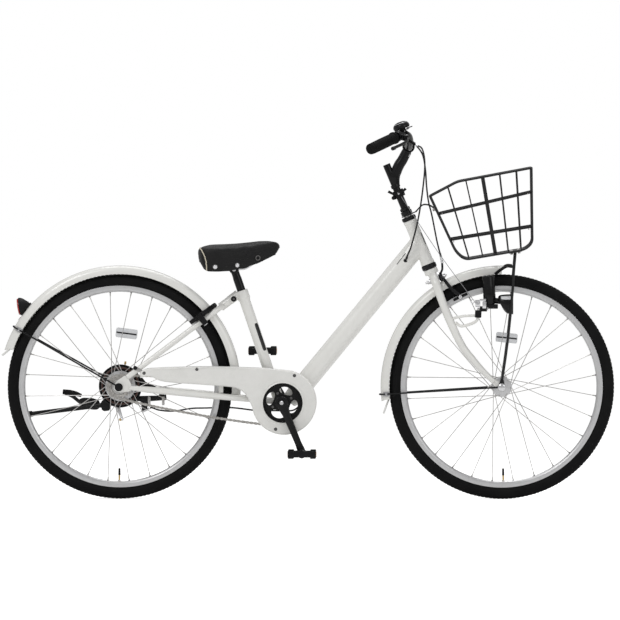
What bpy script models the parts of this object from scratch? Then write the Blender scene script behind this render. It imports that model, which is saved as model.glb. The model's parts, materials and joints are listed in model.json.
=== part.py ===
# City bike with a front basket, side stand, ring lock and full fenders.
# Metres, +Z up, +X forward, +Y to the rider's left. The rear tyre stands on the origin.
import math

import bmesh
import bpy
from mathutils import Matrix, Vector

# Wheels
WHEELBASE = 1.128
TYRE_RADIUS = 0.332
TYRE_SECTION = 0.037
RIM_RADIUS = 0.298
RIM_DEPTH = 0.0185
RIM_WIDTH = 0.025
HUB_RADIUS = 0.0145
FLANGE_RADIUS = 0.030
FLANGE_Y = 0.0325
FLANGE_WALL = 0.003
SPOKES = 28
SPOKE_RADIUS = 0.001
SPOKE_SWEEP = 68.0
SPOKE_STAGGER = 0.0018
REAR_SPOKE_PHASE = 5.75
FRONT_SPOKE_PHASE = 7.2
VALVE_ANGLE = 270.0
VALVE_LENGTH = 0.038
WHEEL_STEPS = 36
AXLE_RADIUS = 0.005
NUT_RADIUS = 0.0105
NUT_HEIGHT = 0.013
REAR_AXLE_WIDTH = 0.120
FRONT_AXLE_WIDTH = 0.106
DROPOUT_WALL = 0.005
EYELET_RADIUS = 0.010
EYELET_WALL = 0.003

# Frame
BB_X = 0.480
BB_HEIGHT = 0.286
BB_SHELL_RADIUS = 0.020
BB_SHELL_WIDTH = 0.068
CRANK_AXLE_RADIUS = 0.0085
SEAT_ANGLE = 71.2
SEAT_TUBE_LENGTH = 0.348
SEAT_TUBE_RADIUS = 0.0159
SEAT_TUBE_OFFSET = 0.0085
SEAT_LUG_RADIUS = 0.0185
SEAT_LUG_HEIGHT = 0.026
SEAT_BOLT_RADIUS = 0.009
SEAT_POST_RADIUS = 0.0127
SEAT_POST_INSERT = 0.145
SEAT_POST_REACH = 0.066
SEAT_CLAMP_RADIUS = 0.014
DOWN_TUBE_RADIUS = 0.0287
DOWN_TUBE_SWELL = 0.0300
DOWN_TUBE_FOOT_RADIUS = 0.0205
DOWN_TUBE_WALL = 0.002
DOWN_TUBE_ANGLE = 50.6
DOWN_TUBE_LENGTH = 0.606
DOWN_TUBE_MEETS = 0.4834
CHAIN_STAY_RADIUS = 0.0105
CHAIN_STAY_TIP_RADIUS = 0.0065
SEAT_STAY_RADIUS = 0.008
SEAT_STAY_ANGLE = 36.9
SEAT_STAY_HEIGHT = 0.3423
MONO_STAY_RADIUS = 0.0125
BRIDGE_RADIUS = 0.007
BRIDGE_X = 0.375

# Steering, measured along the steering axis from the foot of the front axle's perpendicular
HEAD_ANGLE = 67.3
FORK_RAKE = 0.061
HEAD_TUBE_START = 0.4175
HEAD_TUBE_LENGTH = 0.1395
HEAD_TUBE_RADIUS = 0.019
HEAD_TUBE_WALL = 0.0045
CUP_HEIGHT = 0.0135
CUP_RADIUS = 0.0225
STEERER_RADIUS = 0.0127
STEERER_FOOT = 0.362
STEERER_TOP = 0.598
LOCKNUT_START = 0.5766
LOCKNUT_RADIUS = 0.0175
QUILL_RADIUS = 0.0111
QUILL_START = 0.500
QUILL_TOP = 0.7365
STEM_LEAVES = 0.668
STEM_RADIUS = 0.0148
LEVER_CLAMP_AT = 0.643
LEVER_CLAMP_RADIUS = 0.0175
LEVER_CLAMP_HEIGHT = 0.022
CROWN_AT = 0.384
CALIPER_AT = 0.3674
FORK_BLADE_RADIUS = 0.0122
FORK_TIP_RADIUS = 0.0070
BAR_RADIUS = 0.0111
BAR_CLAMP_RADIUS = 0.0185
BAR_CLAMP_WIDTH = 0.048
GRIP_RADIUS = 0.0165
GRIP_LENGTH = 0.128
PERCH_DISTANCE = 0.022
PERCH_REACH = 0.030
PERCH_WIDTH = 0.016
LEVER_RADIUS = 0.0050
BELL_RADIUS = 0.025
BELL_Y = 0.137

# Fenders
FENDER_RADIUS = 0.357
FENDER_HALF_WIDTH = 0.027
FENDER_DEPTH = 0.024
FENDER_WALL = 0.0015
REAR_FENDER_SPAN = (-7.0, 162.5)
FRONT_FENDER_SPAN = (88.5, 187.0)
REAR_STAY_ANGLE = 150.5
FRONT_STAY_ANGLE = 183.6
STAY_WIRE_RADIUS = 0.0025
FLAP_WIDTH = 0.053
FLAP_WALL = 0.003
FENDER_BOLT_RADIUS = 0.004

# Drive
CRANK_LENGTH = 0.160
CRANK_ANGLE = -67.5
CRANK_Y = 0.0865
CRANK_WALL = 0.013
CRANK_BOSS_RADIUS = 0.019
CRANK_BOSS_START = 0.0603
PEDAL_Y = 0.145
PEDAL_SIZE = (0.085, 0.088, 0.026)
SPINDLE_RADIUS = 0.006
RING_TEETH = 34
RING_HUB_RADIUS = 0.020
COG_TEETH = 16
TOOTH_RISE = 0.0030
TOOTH_FALL = 0.0033
FREEWHEEL_RADIUS = 0.024
FREEWHEEL_BORE = 0.0145
CHAIN_PITCH = 0.0127
CHAIN_LINE = 0.043
CHAIN_WIDTH = 0.009
CHAIN_THICKNESS = 0.0035
CHAIN_SAG = 0.008
SPROCKET_WALL = 0.004
CASE_CENTRE = (0.487, 0.287)
CASE_RADIUS = 0.0955
CASE_HOLE_RADIUS = 0.0585
CASE_WALL = 0.0022
CASE_INNER_Y = 0.040
CASE_OUTER_Y = 0.0745

# Basket
BASKET_HALF_TOP = 0.180
BASKET_HALF_BOTTOM = 0.150
BASKET_WALL = 0.003
BASKET_STRIP = 0.0045
BASKET_COLUMNS = 5
BASKET_ACROSS = 3
BASKET_ROWS = (0.0, 0.22, 0.68, 1.0)
BASKET_LEG_RADIUS = 0.004
BASKET_LEG_Y = 0.080

# Rear brake
BRAKE_COVER_RADIUS = 0.064
BRAKE_COVER_WALL = 0.0025
BRAKE_COVER_Y = 0.0508
BRAKE_DRUM_RADIUS = 0.045
BRAKE_ARM_Y = 0.0537

# Ring lock
LOCK_CENTRE = (0.2385, 0.5415)
LOCK_ANGLE = 36.0
LOCK_RING_RADIUS = 0.0505
LOCK_TUBE_RADIUS = 0.0075
LOCK_BORE = 0.0053
SHACKLE_RADIUS = 0.0036
LOCK_SPAN = 130.0

# Lamp with its dynamo
DYNAMO_RADIUS = 0.0185
ROLLER_RADIUS = 0.0125
ROLLER_HEIGHT = 0.018
ROLLER_DROP = 0.017
ROLLER_SHIFT = 0.0105

# Stand
STAND_PLATE = 0.004
STAND_PIN_RADIUS = 0.006
STAND_LEG_RADIUS = 0.007

# Cables and fits
CABLE_RADIUS = 0.0024
WIRE_RADIUS = 0.0009
GAP = 0.0003

WHITE = (0.86, 0.86, 0.83)
BLACK = (0.012, 0.012, 0.013)
RUBBER = (0.018, 0.018, 0.018)
SILVER = (0.62, 0.62, 0.62)
CHROME = (0.78, 0.78, 0.78)
RED = (0.55, 0.02, 0.02)

X_AXIS = Vector((1, 0, 0))
Y_AXIS = Vector((0, 1, 0))
Z_AXIS = Vector((0, 0, 1))


for old in list(bpy.data.objects):
    bpy.data.objects.remove(old, do_unlink=True)
parts = bpy.data.collections.new("city_bike")
cutters = bpy.data.collections.new("cutters")
bpy.context.scene.collection.children.link(parts)
bpy.context.scene.collection.children.link(cutters)


# Places that many pieces share
def polar(centre, radius, degrees, y=0.0):
    """Point in a wheel's plane, at an angle from +X towards +Z."""
    angle = math.radians(degrees)
    return Vector((centre[0] + radius * math.cos(angle), y, centre[1] + radius * math.sin(angle)))


rear_axle = (0.0, TYRE_RADIUS)
front_axle = (WHEELBASE, TYRE_RADIUS)
bottom_bracket = (BB_X, BB_HEIGHT)
axle_bore = AXLE_RADIUS + GAP
head = math.radians(HEAD_ANGLE)
steer_up = Vector((-math.cos(head), 0, math.sin(head)))
steer_forward = Vector((math.sin(head), 0, math.cos(head)))
steer_foot = Vector((front_axle[0], 0, front_axle[1])) - steer_forward * FORK_RAKE
seat = math.radians(SEAT_ANGLE)
seat_up = Vector((-math.cos(seat), 0, math.sin(seat)))
seat_foot = Vector((BB_X - SEAT_TUBE_OFFSET, 0, BB_HEIGHT))
rear_tip_y = REAR_AXLE_WIDTH / 2
front_tip_y = FRONT_AXLE_WIDTH / 2
rear_outside = rear_tip_y + DROPOUT_WALL / 2 + GAP
front_outside = front_tip_y + DROPOUT_WALL / 2 + GAP
fender_outside = FENDER_RADIUS + FENDER_WALL / 2


def steer(s, forward=0.0, side=0.0):
    """Point s up the steering axis, then forward of it and to the left."""
    return steer_foot + steer_up * s + steer_forward * forward + Y_AXIS * side


def seat_line(t):
    return seat_foot + seat_up * t


def side_name(hand):
    return "left" if hand > 0 else "right"


# Basic solids, each baked in world coordinates and kept with the cutters until it becomes a part
def keep(bm, name):
    bmesh.ops.remove_doubles(bm, verts=bm.verts, dist=1e-5)
    bmesh.ops.recalc_face_normals(bm, faces=bm.faces)
    mesh = bpy.data.meshes.new(name)
    bm.to_mesh(mesh)
    bm.free()
    obj = bpy.data.objects.new(name, mesh)
    cutters.objects.link(obj)
    obj.hide_render = True
    obj.display_type = "WIRE"
    return obj


def bake(obj, name):
    """Turn a curve, or an object with modifiers, into a plain mesh in world coordinates."""
    bpy.context.view_layer.update()
    graph = bpy.context.evaluated_depsgraph_get()
    mesh = bpy.data.meshes.new_from_object(obj.evaluated_get(graph))
    mesh.transform(obj.matrix_world)
    bm = bmesh.new()
    bm.from_mesh(mesh)
    bpy.data.objects.remove(obj, do_unlink=True)
    bpy.data.meshes.remove(mesh)
    return keep(bm, name)


def frame_matrix(origin, x_dir, y_dir):
    z_dir = x_dir.cross(y_dir)
    turn = Matrix((x_dir, y_dir, z_dir)).transposed().to_4x4()
    return Matrix.Translation(origin) @ turn


def pointing(origin, direction):
    return Matrix.Translation(origin) @ direction.to_track_quat("Z", "Y").to_matrix().to_4x4()


def bundle(pairs, radius, sides=16, end_radius=None, name="cylinder"):
    """One cylinder, or cone, for each pair of end points, in one mesh."""
    bm = bmesh.new()
    for start, end in pairs:
        start, end = Vector(start), Vector(end)
        place = pointing((start + end) / 2, end - start)
        bmesh.ops.create_cone(bm, cap_ends=True, segments=sides, radius1=radius,
                              radius2=radius if end_radius is None else end_radius,
                              depth=(end - start).length, matrix=place)
    return keep(bm, name)


def cylinder(start, end, radius, sides=16, end_radius=None):
    return bundle([(start, end)], radius, sides, end_radius)


def across(centre, radius, y_start, y_end, sides=16):
    """Cylinder parallel to the axles, centred on a point given as (x, z)."""
    return cylinder((centre[0], y_start, centre[1]), (centre[0], y_end, centre[1]), radius, sides)


def box(centre, size, x_dir=X_AXIS, y_dir=Y_AXIS):
    bm = bmesh.new()
    scale = Matrix.Diagonal((size[0], size[1], size[2], 1))
    bmesh.ops.create_cube(bm, size=1.0, matrix=frame_matrix(Vector(centre), x_dir, y_dir) @ scale)
    return keep(bm, "box")


def curve_object(splines, name, cyclic=False, flat=False):
    data = bpy.data.curves.new(name, "CURVE")
    data.dimensions = "2D" if flat else "3D"
    for points, radii in splines:
        spline = data.splines.new("POLY")
        spline.points.add(len(points) - 1)
        for k, point in enumerate(points):
            spline.points[k].co = (point[0], point[1], 0.0 if flat else point[2], 1.0)
            spline.points[k].radius = radii[k] if radii else 1.0
        spline.use_cyclic_u = cyclic
    obj = bpy.data.objects.new(name, data)
    bpy.context.scene.collection.objects.link(obj)
    return obj


def rod(points, radius, sides=8, cyclic=False):
    """Round bar along a list of points; radius is one value or one for each point."""
    radii = radius if isinstance(radius, (list, tuple)) else None
    largest = max(radii) if radii else radius
    scaled = [r / largest for r in radii] if radii else None
    obj = curve_object([(points, scaled)], "rod", cyclic)
    obj.data.bevel_depth = largest
    obj.data.bevel_resolution = sides // 2 - 2
    obj.data.use_fill_caps = not cyclic
    return bake(obj, "rod")


def plate(outlines, thickness, y_middle):
    """Flat piece in the plane of the wheels; outlines after the first are holes."""
    obj = curve_object([(outline, None) for outline in outlines], "plate", cyclic=True, flat=True)
    obj.data.fill_mode = "BOTH"
    obj.data.extrude = thickness / 2
    obj.matrix_world = frame_matrix(Vector((0, y_middle, 0)), X_AXIS, Z_AXIS)
    return bake(obj, "plate")


def turned(profile, origin, direction, steps=24, angle=360.0, start=0.0, closed=True, wall=0.0,
           x_dir=None):
    """Profile points (radius, height) swept about a line; a wall makes a shell of an open one."""
    bm = bmesh.new()
    verts = [bm.verts.new((radius, 0, height)) for radius, height in profile]
    for first, second in zip(verts, verts[1:]):
        bm.edges.new((first, second))
    if closed:
        bm.edges.new((verts[-1], verts[0]))
    obj = keep(bm, "turned")
    screw = obj.modifiers.new("sweep", "SCREW")
    screw.angle = math.radians(angle)
    screw.steps = steps
    screw.render_steps = steps
    screw.use_merge_vertices = True
    screw.merge_threshold = 1e-5
    if wall:
        shell = obj.modifiers.new("wall", "SOLIDIFY")
        shell.thickness = wall
        shell.offset = 0.0
    direction = Vector(direction).normalized()
    if x_dir:
        place = frame_matrix(Vector(origin), x_dir, direction.cross(x_dir))
    elif abs(direction.y) > 0.99:
        place = frame_matrix(Vector(origin), X_AXIS, -Z_AXIS * direction.y)
    else:
        place = pointing(Vector(origin), direction)
    obj.matrix_world = place @ Matrix.Rotation(math.radians(start), 4, "Z")
    return bake(obj, "turned")


def wheel_turned(profile, centre, **options):
    """Like turned, with profile points (radius, y) about a wheel's axle."""
    flipped = [(radius, -y) for radius, y in profile]
    return turned(flipped, (centre[0], 0, centre[1]), -Y_AXIS, **options)


def ring(centre, direction, inner, outer, length, sides=16):
    """Plain collar round a line, centred on a point."""
    half = length / 2
    profile = [(inner, half), (outer, half), (outer, -half), (inner, -half)]
    return turned(profile, centre, direction, steps=sides)


def pipe(start, end, inner, outer, sides=16):
    start, end = Vector(start), Vector(end)
    return ring((start + end) / 2, end - start, inner, outer, (end - start).length, sides)


def oval(centre, x_dir, y_dir, half_x, half_y, sides=16):
    turns = [2 * math.pi * k / sides for k in range(sides)]
    return [centre + x_dir * half_x * math.cos(a) + y_dir * half_y * math.sin(a) for a in turns]


def loft(rings):
    """Closed skin through rings of points, each ring with the same count, and flat ends."""
    bm = bmesh.new()
    rows = [[bm.verts.new(point) for point in points] for points in rings]
    for low, high in zip(rows, rows[1:]):
        for k in range(len(low)):
            bm.faces.new((low[k], low[k - 1], high[k - 1], high[k]))
    bm.faces.new(rows[0])
    bm.faces.new(rows[-1])
    return keep(bm, "loft")


def boolean(base, others, operation):
    for other in others:
        change = base.modifiers.new(operation.lower(), "BOOLEAN")
        change.operation = operation
        change.solver = "EXACT"
        change.object = other
    return base


def join(base, *others):
    return boolean(base, others, "UNION")


def cut(base, *others):
    return boolean(base, others, "DIFFERENCE")


def smooth(points, count):
    """Catmull-Rom curve through the points, read at even steps of its parameter."""
    points = [Vector(p) for p in points]
    padded = [2 * points[0] - points[1]] + points + [2 * points[-1] - points[-2]]
    result = []
    for k in range(count):
        place = k / (count - 1) * (len(points) - 1)
        i = min(int(place), len(points) - 2)
        u = place - i
        a, b, c, d = padded[i:i + 4]
        result.append(0.5 * (2 * b + (c - a) * u + (2 * a - 5 * b + 4 * c - d) * u ** 2
                             + (3 * b - a - 3 * c + d) * u ** 3))
    return result


def mirrored(points):
    """Right half from the middle outwards becomes right end, middle, left end."""
    left = [Vector((p[0], -p[1], p[2])) for p in points[1:]]
    return list(reversed([Vector(p) for p in points])) + left


def link_outline(first, first_radius, second, second_radius, steps=5):
    """Outline round two circles and the straight sides between them, points (x, z)."""
    way = math.atan2(second[1] - first[1], second[0] - first[0])
    span = math.hypot(second[0] - first[0], second[1] - first[1])
    lean = math.acos((first_radius - second_radius) / span)
    outline = []
    for centre, radius, start, end in ((first, first_radius, way + lean, way + 2 * math.pi - lean),
                                       (second, second_radius, way - lean, way + lean)):
        for k in range(steps + 1):
            angle = start + (end - start) * k / steps
            outline.append((centre[0] + radius * math.cos(angle), centre[1] + radius * math.sin(angle)))
    return outline


def circle_outline(centre, radius, sides=10):
    turns = [2 * math.pi * k / sides for k in range(sides)]
    return [(centre[0] + radius * math.cos(a), centre[1] + radius * math.sin(a)) for a in turns]


def inset(outline, distance):
    """Outline moved inwards, for points that run anticlockwise."""
    result = []
    for k, point in enumerate(outline):
        here = Vector(point)
        before = (here - Vector(outline[k - 1])).normalized()
        after = (Vector(outline[(k + 1) % len(outline)]) - here).normalized()
        normal = (Vector((-before.y, before.x)) + Vector((-after.y, after.x))).normalized()
        reach = distance / max(normal.dot(Vector((-before.y, before.x))), 0.5)
        result.append(tuple(here + normal * reach))
    return result


def flat(point):
    return (point[0], point[2])


# Bodies: one empty for each, on its joint's axis
pivots = {}
pivot_points = {}


def body(name, point=(0, 0, 0), parent=None):
    empty = bpy.data.objects.new(name + "_pivot", None)
    empty.empty_display_size = 0.03
    parts.objects.link(empty)
    pivot_points[name] = Vector(point)
    pivots[name] = empty
    empty.location = pivot_points[name]
    if parent:
        empty.parent = pivots[parent]
        empty.location = pivot_points[name] - pivot_points[parent]


def part(name, shape, colour, owner, roughness=0.4, metallic=0.0):
    """Name a shape, paint it and hang it on its body's pivot."""
    material = bpy.data.materials.new(name)
    material.use_nodes = True
    shader = material.node_tree.nodes["Principled BSDF"]
    shader.inputs["Base Color"].default_value = (*colour, 1)
    shader.inputs["Roughness"].default_value = roughness
    shader.inputs["Metallic"].default_value = metallic
    shape.name = name
    shape.data.name = name
    shape.data.materials.clear()
    shape.data.materials.append(material)
    shape.data.transform(Matrix.Translation(-pivot_points[owner]))
    shape.data.shade_smooth()
    shape.data.set_sharp_from_angle(angle=math.radians(35))
    shape.parent = pivots[owner]
    cutters.objects.unlink(shape)
    parts.objects.link(shape)
    shape.hide_render = False
    shape.display_type = "TEXTURED"
    return shape


# Places on the handlebar, one set for each hand (-1 right, 1 left)
BAR_BENDS = ((0.853, 0.0, 1.040), (0.853, 0.040, 1.040), (0.856, 0.080, 1.055), (0.850, 0.120, 1.073),
             (0.8308, 0.158, 1.0756))
GRIP_START = (0.8109, 0.188, 1.066)
GRIP_DIRECTION = (-0.534, 0.805, -0.2565)
PERCH_DIRECTION = (0.8455, 0.5085, -0.162)
ADJUSTER_END = (0.872, 0.152, 1.047)


def sided(point, hand):
    return Vector((point[0], point[1] * hand, point[2]))


def grip_place(hand):
    """Start of the grip, way along it, way towards the lever."""
    return sided(GRIP_START, hand), sided(GRIP_DIRECTION, hand).normalized(), \
        sided(PERCH_DIRECTION, hand).normalized()


def perch_centre(hand):
    start, outward, _ = grip_place(hand)
    return start - outward * PERCH_DISTANCE


def lever_pivot(hand):
    return perch_centre(hand) + grip_place(hand)[2] * PERCH_REACH


def bar_half():
    bends = [BAR_BENDS[0]] + smooth(((0.853, 0.026, 1.040),) + BAR_BENDS[1:], 8)
    start, outward, _ = grip_place(1)
    return bends + [start + outward * (GRIP_LENGTH - EYELET_WALL - GAP)]


# Frame
down_way = Vector((math.cos(math.radians(DOWN_TUBE_ANGLE)), 0, math.sin(math.radians(DOWN_TUBE_ANGLE))))
down_top = steer(DOWN_TUBE_MEETS)
down_foot = down_top - down_way * DOWN_TUBE_LENGTH
down_across = Vector((-down_way.z, 0, down_way.x))
CABLE_ENTRY = Vector((0.8457, -0.0285, 0.7075))
REAR_CABLE_UPPER = ((0.893, 0.134, 1.032), (0.9005, 0.092, 0.985), (0.893, 0.030, 0.900),
                    (0.880, -0.020, 0.820), (0.862, -0.038, 0.750), (0.8512, -0.0362, 0.722))
REAR_CABLE_LOWER = ((0.835, -0.014, 0.690), (0.790, -0.006, 0.640), (0.700, 0.0, 0.530),
                    (0.600, 0.006, 0.400), (0.556, 0.009, 0.325), (0.540, 0.0115, 0.288),
                    (0.515, 0.014, 0.2625), (0.480, 0.018, 0.2600), (0.440, 0.026, 0.2600),
                    (0.3975, 0.033, 0.2605), (0.327, 0.040, 0.268), (0.250, 0.050, 0.2665),
                    (0.209, 0.054, 0.265), (0.156, 0.0565, 0.257), (0.115, 0.0560, 0.2600),
                    (0.093, 0.0555, 0.2670))


def down_tube_skin(inward, start):
    """Rings of the down tube, drawn in by its wall and starting some way up from its foot."""
    stations = ((start, DOWN_TUBE_FOOT_RADIUS, DOWN_TUBE_FOOT_RADIUS),
                (0.040, DOWN_TUBE_SWELL, DOWN_TUBE_SWELL),
                (DOWN_TUBE_LENGTH - 0.060, DOWN_TUBE_RADIUS, DOWN_TUBE_RADIUS),
                (DOWN_TUBE_LENGTH - 0.025, DOWN_TUBE_RADIUS, 0.0235))
    rings = [oval(down_foot + down_way * h, down_across, Y_AXIS, tall - inward, wide - inward, 16)
             for h, tall, wide in stations]
    lean = DOWN_TUBE_RADIUS / math.sin(math.acos(steer_up.dot(down_way)))
    rings.append(oval(down_top, steer_up, Y_AXIS, lean - inward, HEAD_TUBE_RADIUS - GAP - inward, 16))
    return loft(rings)


def on_stay(x, y=0.0):
    return Vector((x, y, SEAT_STAY_HEIGHT + x * math.tan(math.radians(SEAT_STAY_ANGLE))))


def make_frame():
    head_end = HEAD_TUBE_START + HEAD_TUBE_LENGTH
    head_tube = pipe(steer(HEAD_TUBE_START), steer(head_end), HEAD_TUBE_RADIUS - HEAD_TUBE_WALL,
                     HEAD_TUBE_RADIUS, 18)
    part("head_tube", head_tube, WHITE, "root")
    shell_room = across(bottom_bracket, BB_SHELL_RADIUS + GAP, -0.1, 0.1, 24)
    head_room = cylinder(steer(0.3), steer(0.7), HEAD_TUBE_RADIUS + GAP, 24)
    hole = CABLE_RADIUS + 0.0012
    way = (Vector(REAR_CABLE_LOWER[0]) - Vector(REAR_CABLE_UPPER[-1])).normalized()
    entry = cylinder(CABLE_ENTRY - way * 0.014, CABLE_ENTRY + way * 0.018, hole, 8)
    leave = cylinder((0.5535, 0.0094, 0.3193), (0.537, 0.012, 0.281), hole, 8)
    down_tube = cut(down_tube_skin(0.0, 0.0), head_room, shell_room, down_tube_skin(DOWN_TUBE_WALL, 0.010),
                    entry, leave)
    part("down_tube", down_tube, WHITE, "root")

    top = seat_line(SEAT_TUBE_LENGTH)
    lug = cylinder(seat_line(SEAT_TUBE_LENGTH - SEAT_LUG_HEIGHT), top, SEAT_LUG_RADIUS, 16)
    mono_way = (on_stay(1) - on_stay(0)).normalized()
    mono_end = on_stay(0.3245)
    ear = cylinder(mono_end + mono_way * GAP, on_stay(0.350), MONO_STAY_RADIUS + 0.001, 10)
    bolt = across((0.3373, 0.5909), SEAT_BOLT_RADIUS, -0.020, 0.020, 10)
    tube = cylinder(seat_foot, seat_line(SEAT_TUBE_LENGTH - 0.002), SEAT_TUBE_RADIUS, 16)
    seat_tube = join(tube, lug, ear, bolt)
    bore = cylinder(seat_line(-0.03), seat_line(SEAT_TUBE_LENGTH + 0.05), SEAT_POST_RADIUS + 2 * GAP, 14)
    part("seat_tube", cut(seat_tube, bore, shell_room), WHITE, "root")

    half = BB_SHELL_WIDTH / 2
    shell = ring(polar(bottom_bracket, 0, 0), Y_AXIS, CRANK_AXLE_RADIUS + GAP, BB_SHELL_RADIUS, 2 * half, 18)
    part("bottom_bracket_shell", shell, SILVER, "root", 0.35, 0.6)

    stay = [(0.030, -0.060, 0.3295), (0.064, -0.0595, 0.3262), (0.10, -0.0585, 0.3228),
            (0.25, -0.047, 0.3085), (0.35, -0.0372, 0.299), (0.41, -0.0225, 0.2932),
            (0.4625, -0.0175, 0.288)]
    radii = [CHAIN_STAY_TIP_RADIUS, 0.0080, CHAIN_STAY_RADIUS - 0.001, CHAIN_STAY_RADIUS, 0.009, 0.009,
             0.009]
    drop = ((0.0189, 0.3675), (0.0297, 0.3531), (0.036, 0.341), (0.036, 0.320), (0.0, 0.315),
            (-0.0155, 0.324), (-0.0165, 0.338), (-0.006, 0.350))
    bridge = across((BRIDGE_X, 0.297), BRIDGE_RADIUS, -0.034, 0.034, 8)
    pieces = []
    for hand in (-1, 1):
        pieces.append(rod([sided(p, -hand) for p in stay], radii, 8))
        pieces.append(plate([drop, circle_outline(rear_axle, axle_bore)], DROPOUT_WALL, hand * rear_tip_y))
    seat_room = cylinder(seat_line(-0.03), seat_line(0.1), SEAT_TUBE_RADIUS + 2 * GAP, 16)
    chain_stays = cut(join(bridge, *pieces), shell_room, seat_room)
    part("chain_stays", chain_stays, WHITE, "root")

    half_stay = [on_stay(0.3035, 0), on_stay(0.300, -0.018), on_stay(0.284, -0.034), on_stay(0.268, -0.036),
                 on_stay(0.200, -0.045), on_stay(0.12, -0.0535), on_stay(0.06, -0.059),
                 on_stay(0.0246, -0.060)]
    mono = cylinder(on_stay(0.300), mono_end, MONO_STAY_RADIUS, 10)
    part("seat_stays", join(mono, rod(mirrored(half_stay), SEAT_STAY_RADIUS, 8)), WHITE, "root")

    cup_bore = STEERER_RADIUS + 2 * GAP
    lower = pipe(steer(HEAD_TUBE_START - GAP - CUP_HEIGHT - 0.0017), steer(HEAD_TUBE_START - GAP),
                 cup_bore, CUP_RADIUS, 14)
    part("lower_headset_cup", lower, BLACK, "root", 0.3, 0.8)
    upper = pipe(steer(head_end + GAP), steer(head_end + GAP + CUP_HEIGHT - 0.001), cup_bore,
                 CUP_RADIUS - 0.001, 14)
    part("upper_headset_cup", upper, BLACK, "root", 0.3, 0.8)


# Wheels
def make_tyre(name, centre, owner):
    bead = RIM_RADIUS + GAP
    rise = TYRE_RADIUS - bead
    half = TYRE_SECTION / 2
    tread = TYRE_RADIUS / math.cos(math.pi / WHEEL_STEPS)
    right = [(bead, -half * 0.62), (bead + rise * 0.33, -half), (bead + rise * 0.76, -half * 0.84),
             (tread, -half * 0.40)]
    profile = right + [(r, -y) for r, y in reversed(right)]
    turn = 180 / WHEEL_STEPS
    part(name, wheel_turned(profile, centre, steps=WHEEL_STEPS, start=turn), RUBBER, owner, 0.85)


def hub_half(end, boss, drum=None):
    """Outer profile of half a hub, from its end inwards, at positive y."""
    inner = FLANGE_Y - FLANGE_WALL / 2
    outer = FLANGE_Y + FLANGE_WALL / 2
    points = [(axle_bore, end), (boss, end)]
    if drum:
        radius, start = drum
        points = [(axle_bore, end), (radius, end), (radius, start), (boss, start)]
    return points + [(boss, outer), (FLANGE_RADIUS, outer), (FLANGE_RADIUS, inner), (HUB_RADIUS, inner)]


def make_wheel(name, centre, owner, phase, left, right):
    half = RIM_WIDTH / 2
    floor = RIM_RADIUS - RIM_DEPTH
    side = [(RIM_RADIUS, -half), (RIM_RADIUS - 0.012, -half), (floor, -half * 0.5)]
    rim = wheel_turned(side + [(r, -y) for r, y in reversed(side)], centre, steps=WHEEL_STEPS,
                       start=180 / WHEEL_STEPS)
    hub = wheel_turned(left + [(r, -y) for r, y in reversed(right)], centre, steps=12)
    pairs = []
    for k in range(SPOKES):
        hand = 1 if k % 2 else -1
        lead = 1 if (k // 2) % 2 else -1
        angle = phase + k * 360 / SPOKES
        near = polar(centre, FLANGE_RADIUS - 0.0045, angle + lead * SPOKE_SWEEP,
                     hand * (FLANGE_Y + lead * SPOKE_STAGGER))
        pairs.append((near, polar(centre, floor + 0.004, angle, hand * 0.003)))
    spokes = bundle(pairs, SPOKE_RADIUS, 3)
    valve = cylinder(polar(centre, floor + 0.004, VALVE_ANGLE),
                     polar(centre, floor - VALVE_LENGTH, VALVE_ANGLE), 0.004, 6)
    part(name, join(rim, valve, hub, spokes), SILVER, owner, 0.35, 0.9)


def make_axle(name, centre, owner, half_width, left_stack, right_stack, left_cone, right_cone):
    """Threaded axle with its two nuts outside and its two cones inside the forked ends."""
    reach = NUT_HEIGHT + 0.004
    axle = across(centre, AXLE_RADIUS, -right_stack - reach, left_stack + reach, 8)
    nuts = [across(centre, NUT_RADIUS, left_stack, left_stack + NUT_HEIGHT, 6),
            across(centre, NUT_RADIUS, -right_stack, -right_stack - NUT_HEIGHT, 6),
            across(centre, 0.009, left_cone, half_width - DROPOUT_WALL / 2 - GAP, 8),
            across(centre, 0.009, -right_cone, -half_width + DROPOUT_WALL / 2 + GAP, 8)]
    part(name, join(axle, *nuts), CHROME, owner, 0.3, 0.9)


def make_wheels():
    make_tyre("rear_tyre", rear_axle, "rear_wheel")
    make_tyre("front_tyre", front_axle, "front_wheel")
    drum = (BRAKE_DRUM_RADIUS, 0.037)
    make_wheel("rear_wheel_rim", rear_axle, "rear_wheel", REAR_SPOKE_PHASE, hub_half(0.046, 0.020, drum),
               hub_half(0.052, FREEWHEEL_BORE - 0.0005))
    make_wheel("front_wheel_rim", front_axle, "front_wheel", FRONT_SPOKE_PHASE, hub_half(0.0475, 0.0115),
               hub_half(0.0475, 0.0115))
    right_stack = rear_outside + EYELET_WALL + GAP
    left_stack = rear_outside + STAND_PLATE + GAP + EYELET_WALL + GAP
    make_axle("rear_axle", rear_axle, "root", rear_tip_y, left_stack, right_stack,
              BRAKE_COVER_Y + GAP, 0.052 + GAP)
    stack = front_outside + 2 * EYELET_WALL + 2 * GAP
    make_axle("front_axle", front_axle, "steering", front_tip_y, stack, stack, 0.0475 + GAP, 0.0475 + GAP)


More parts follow.
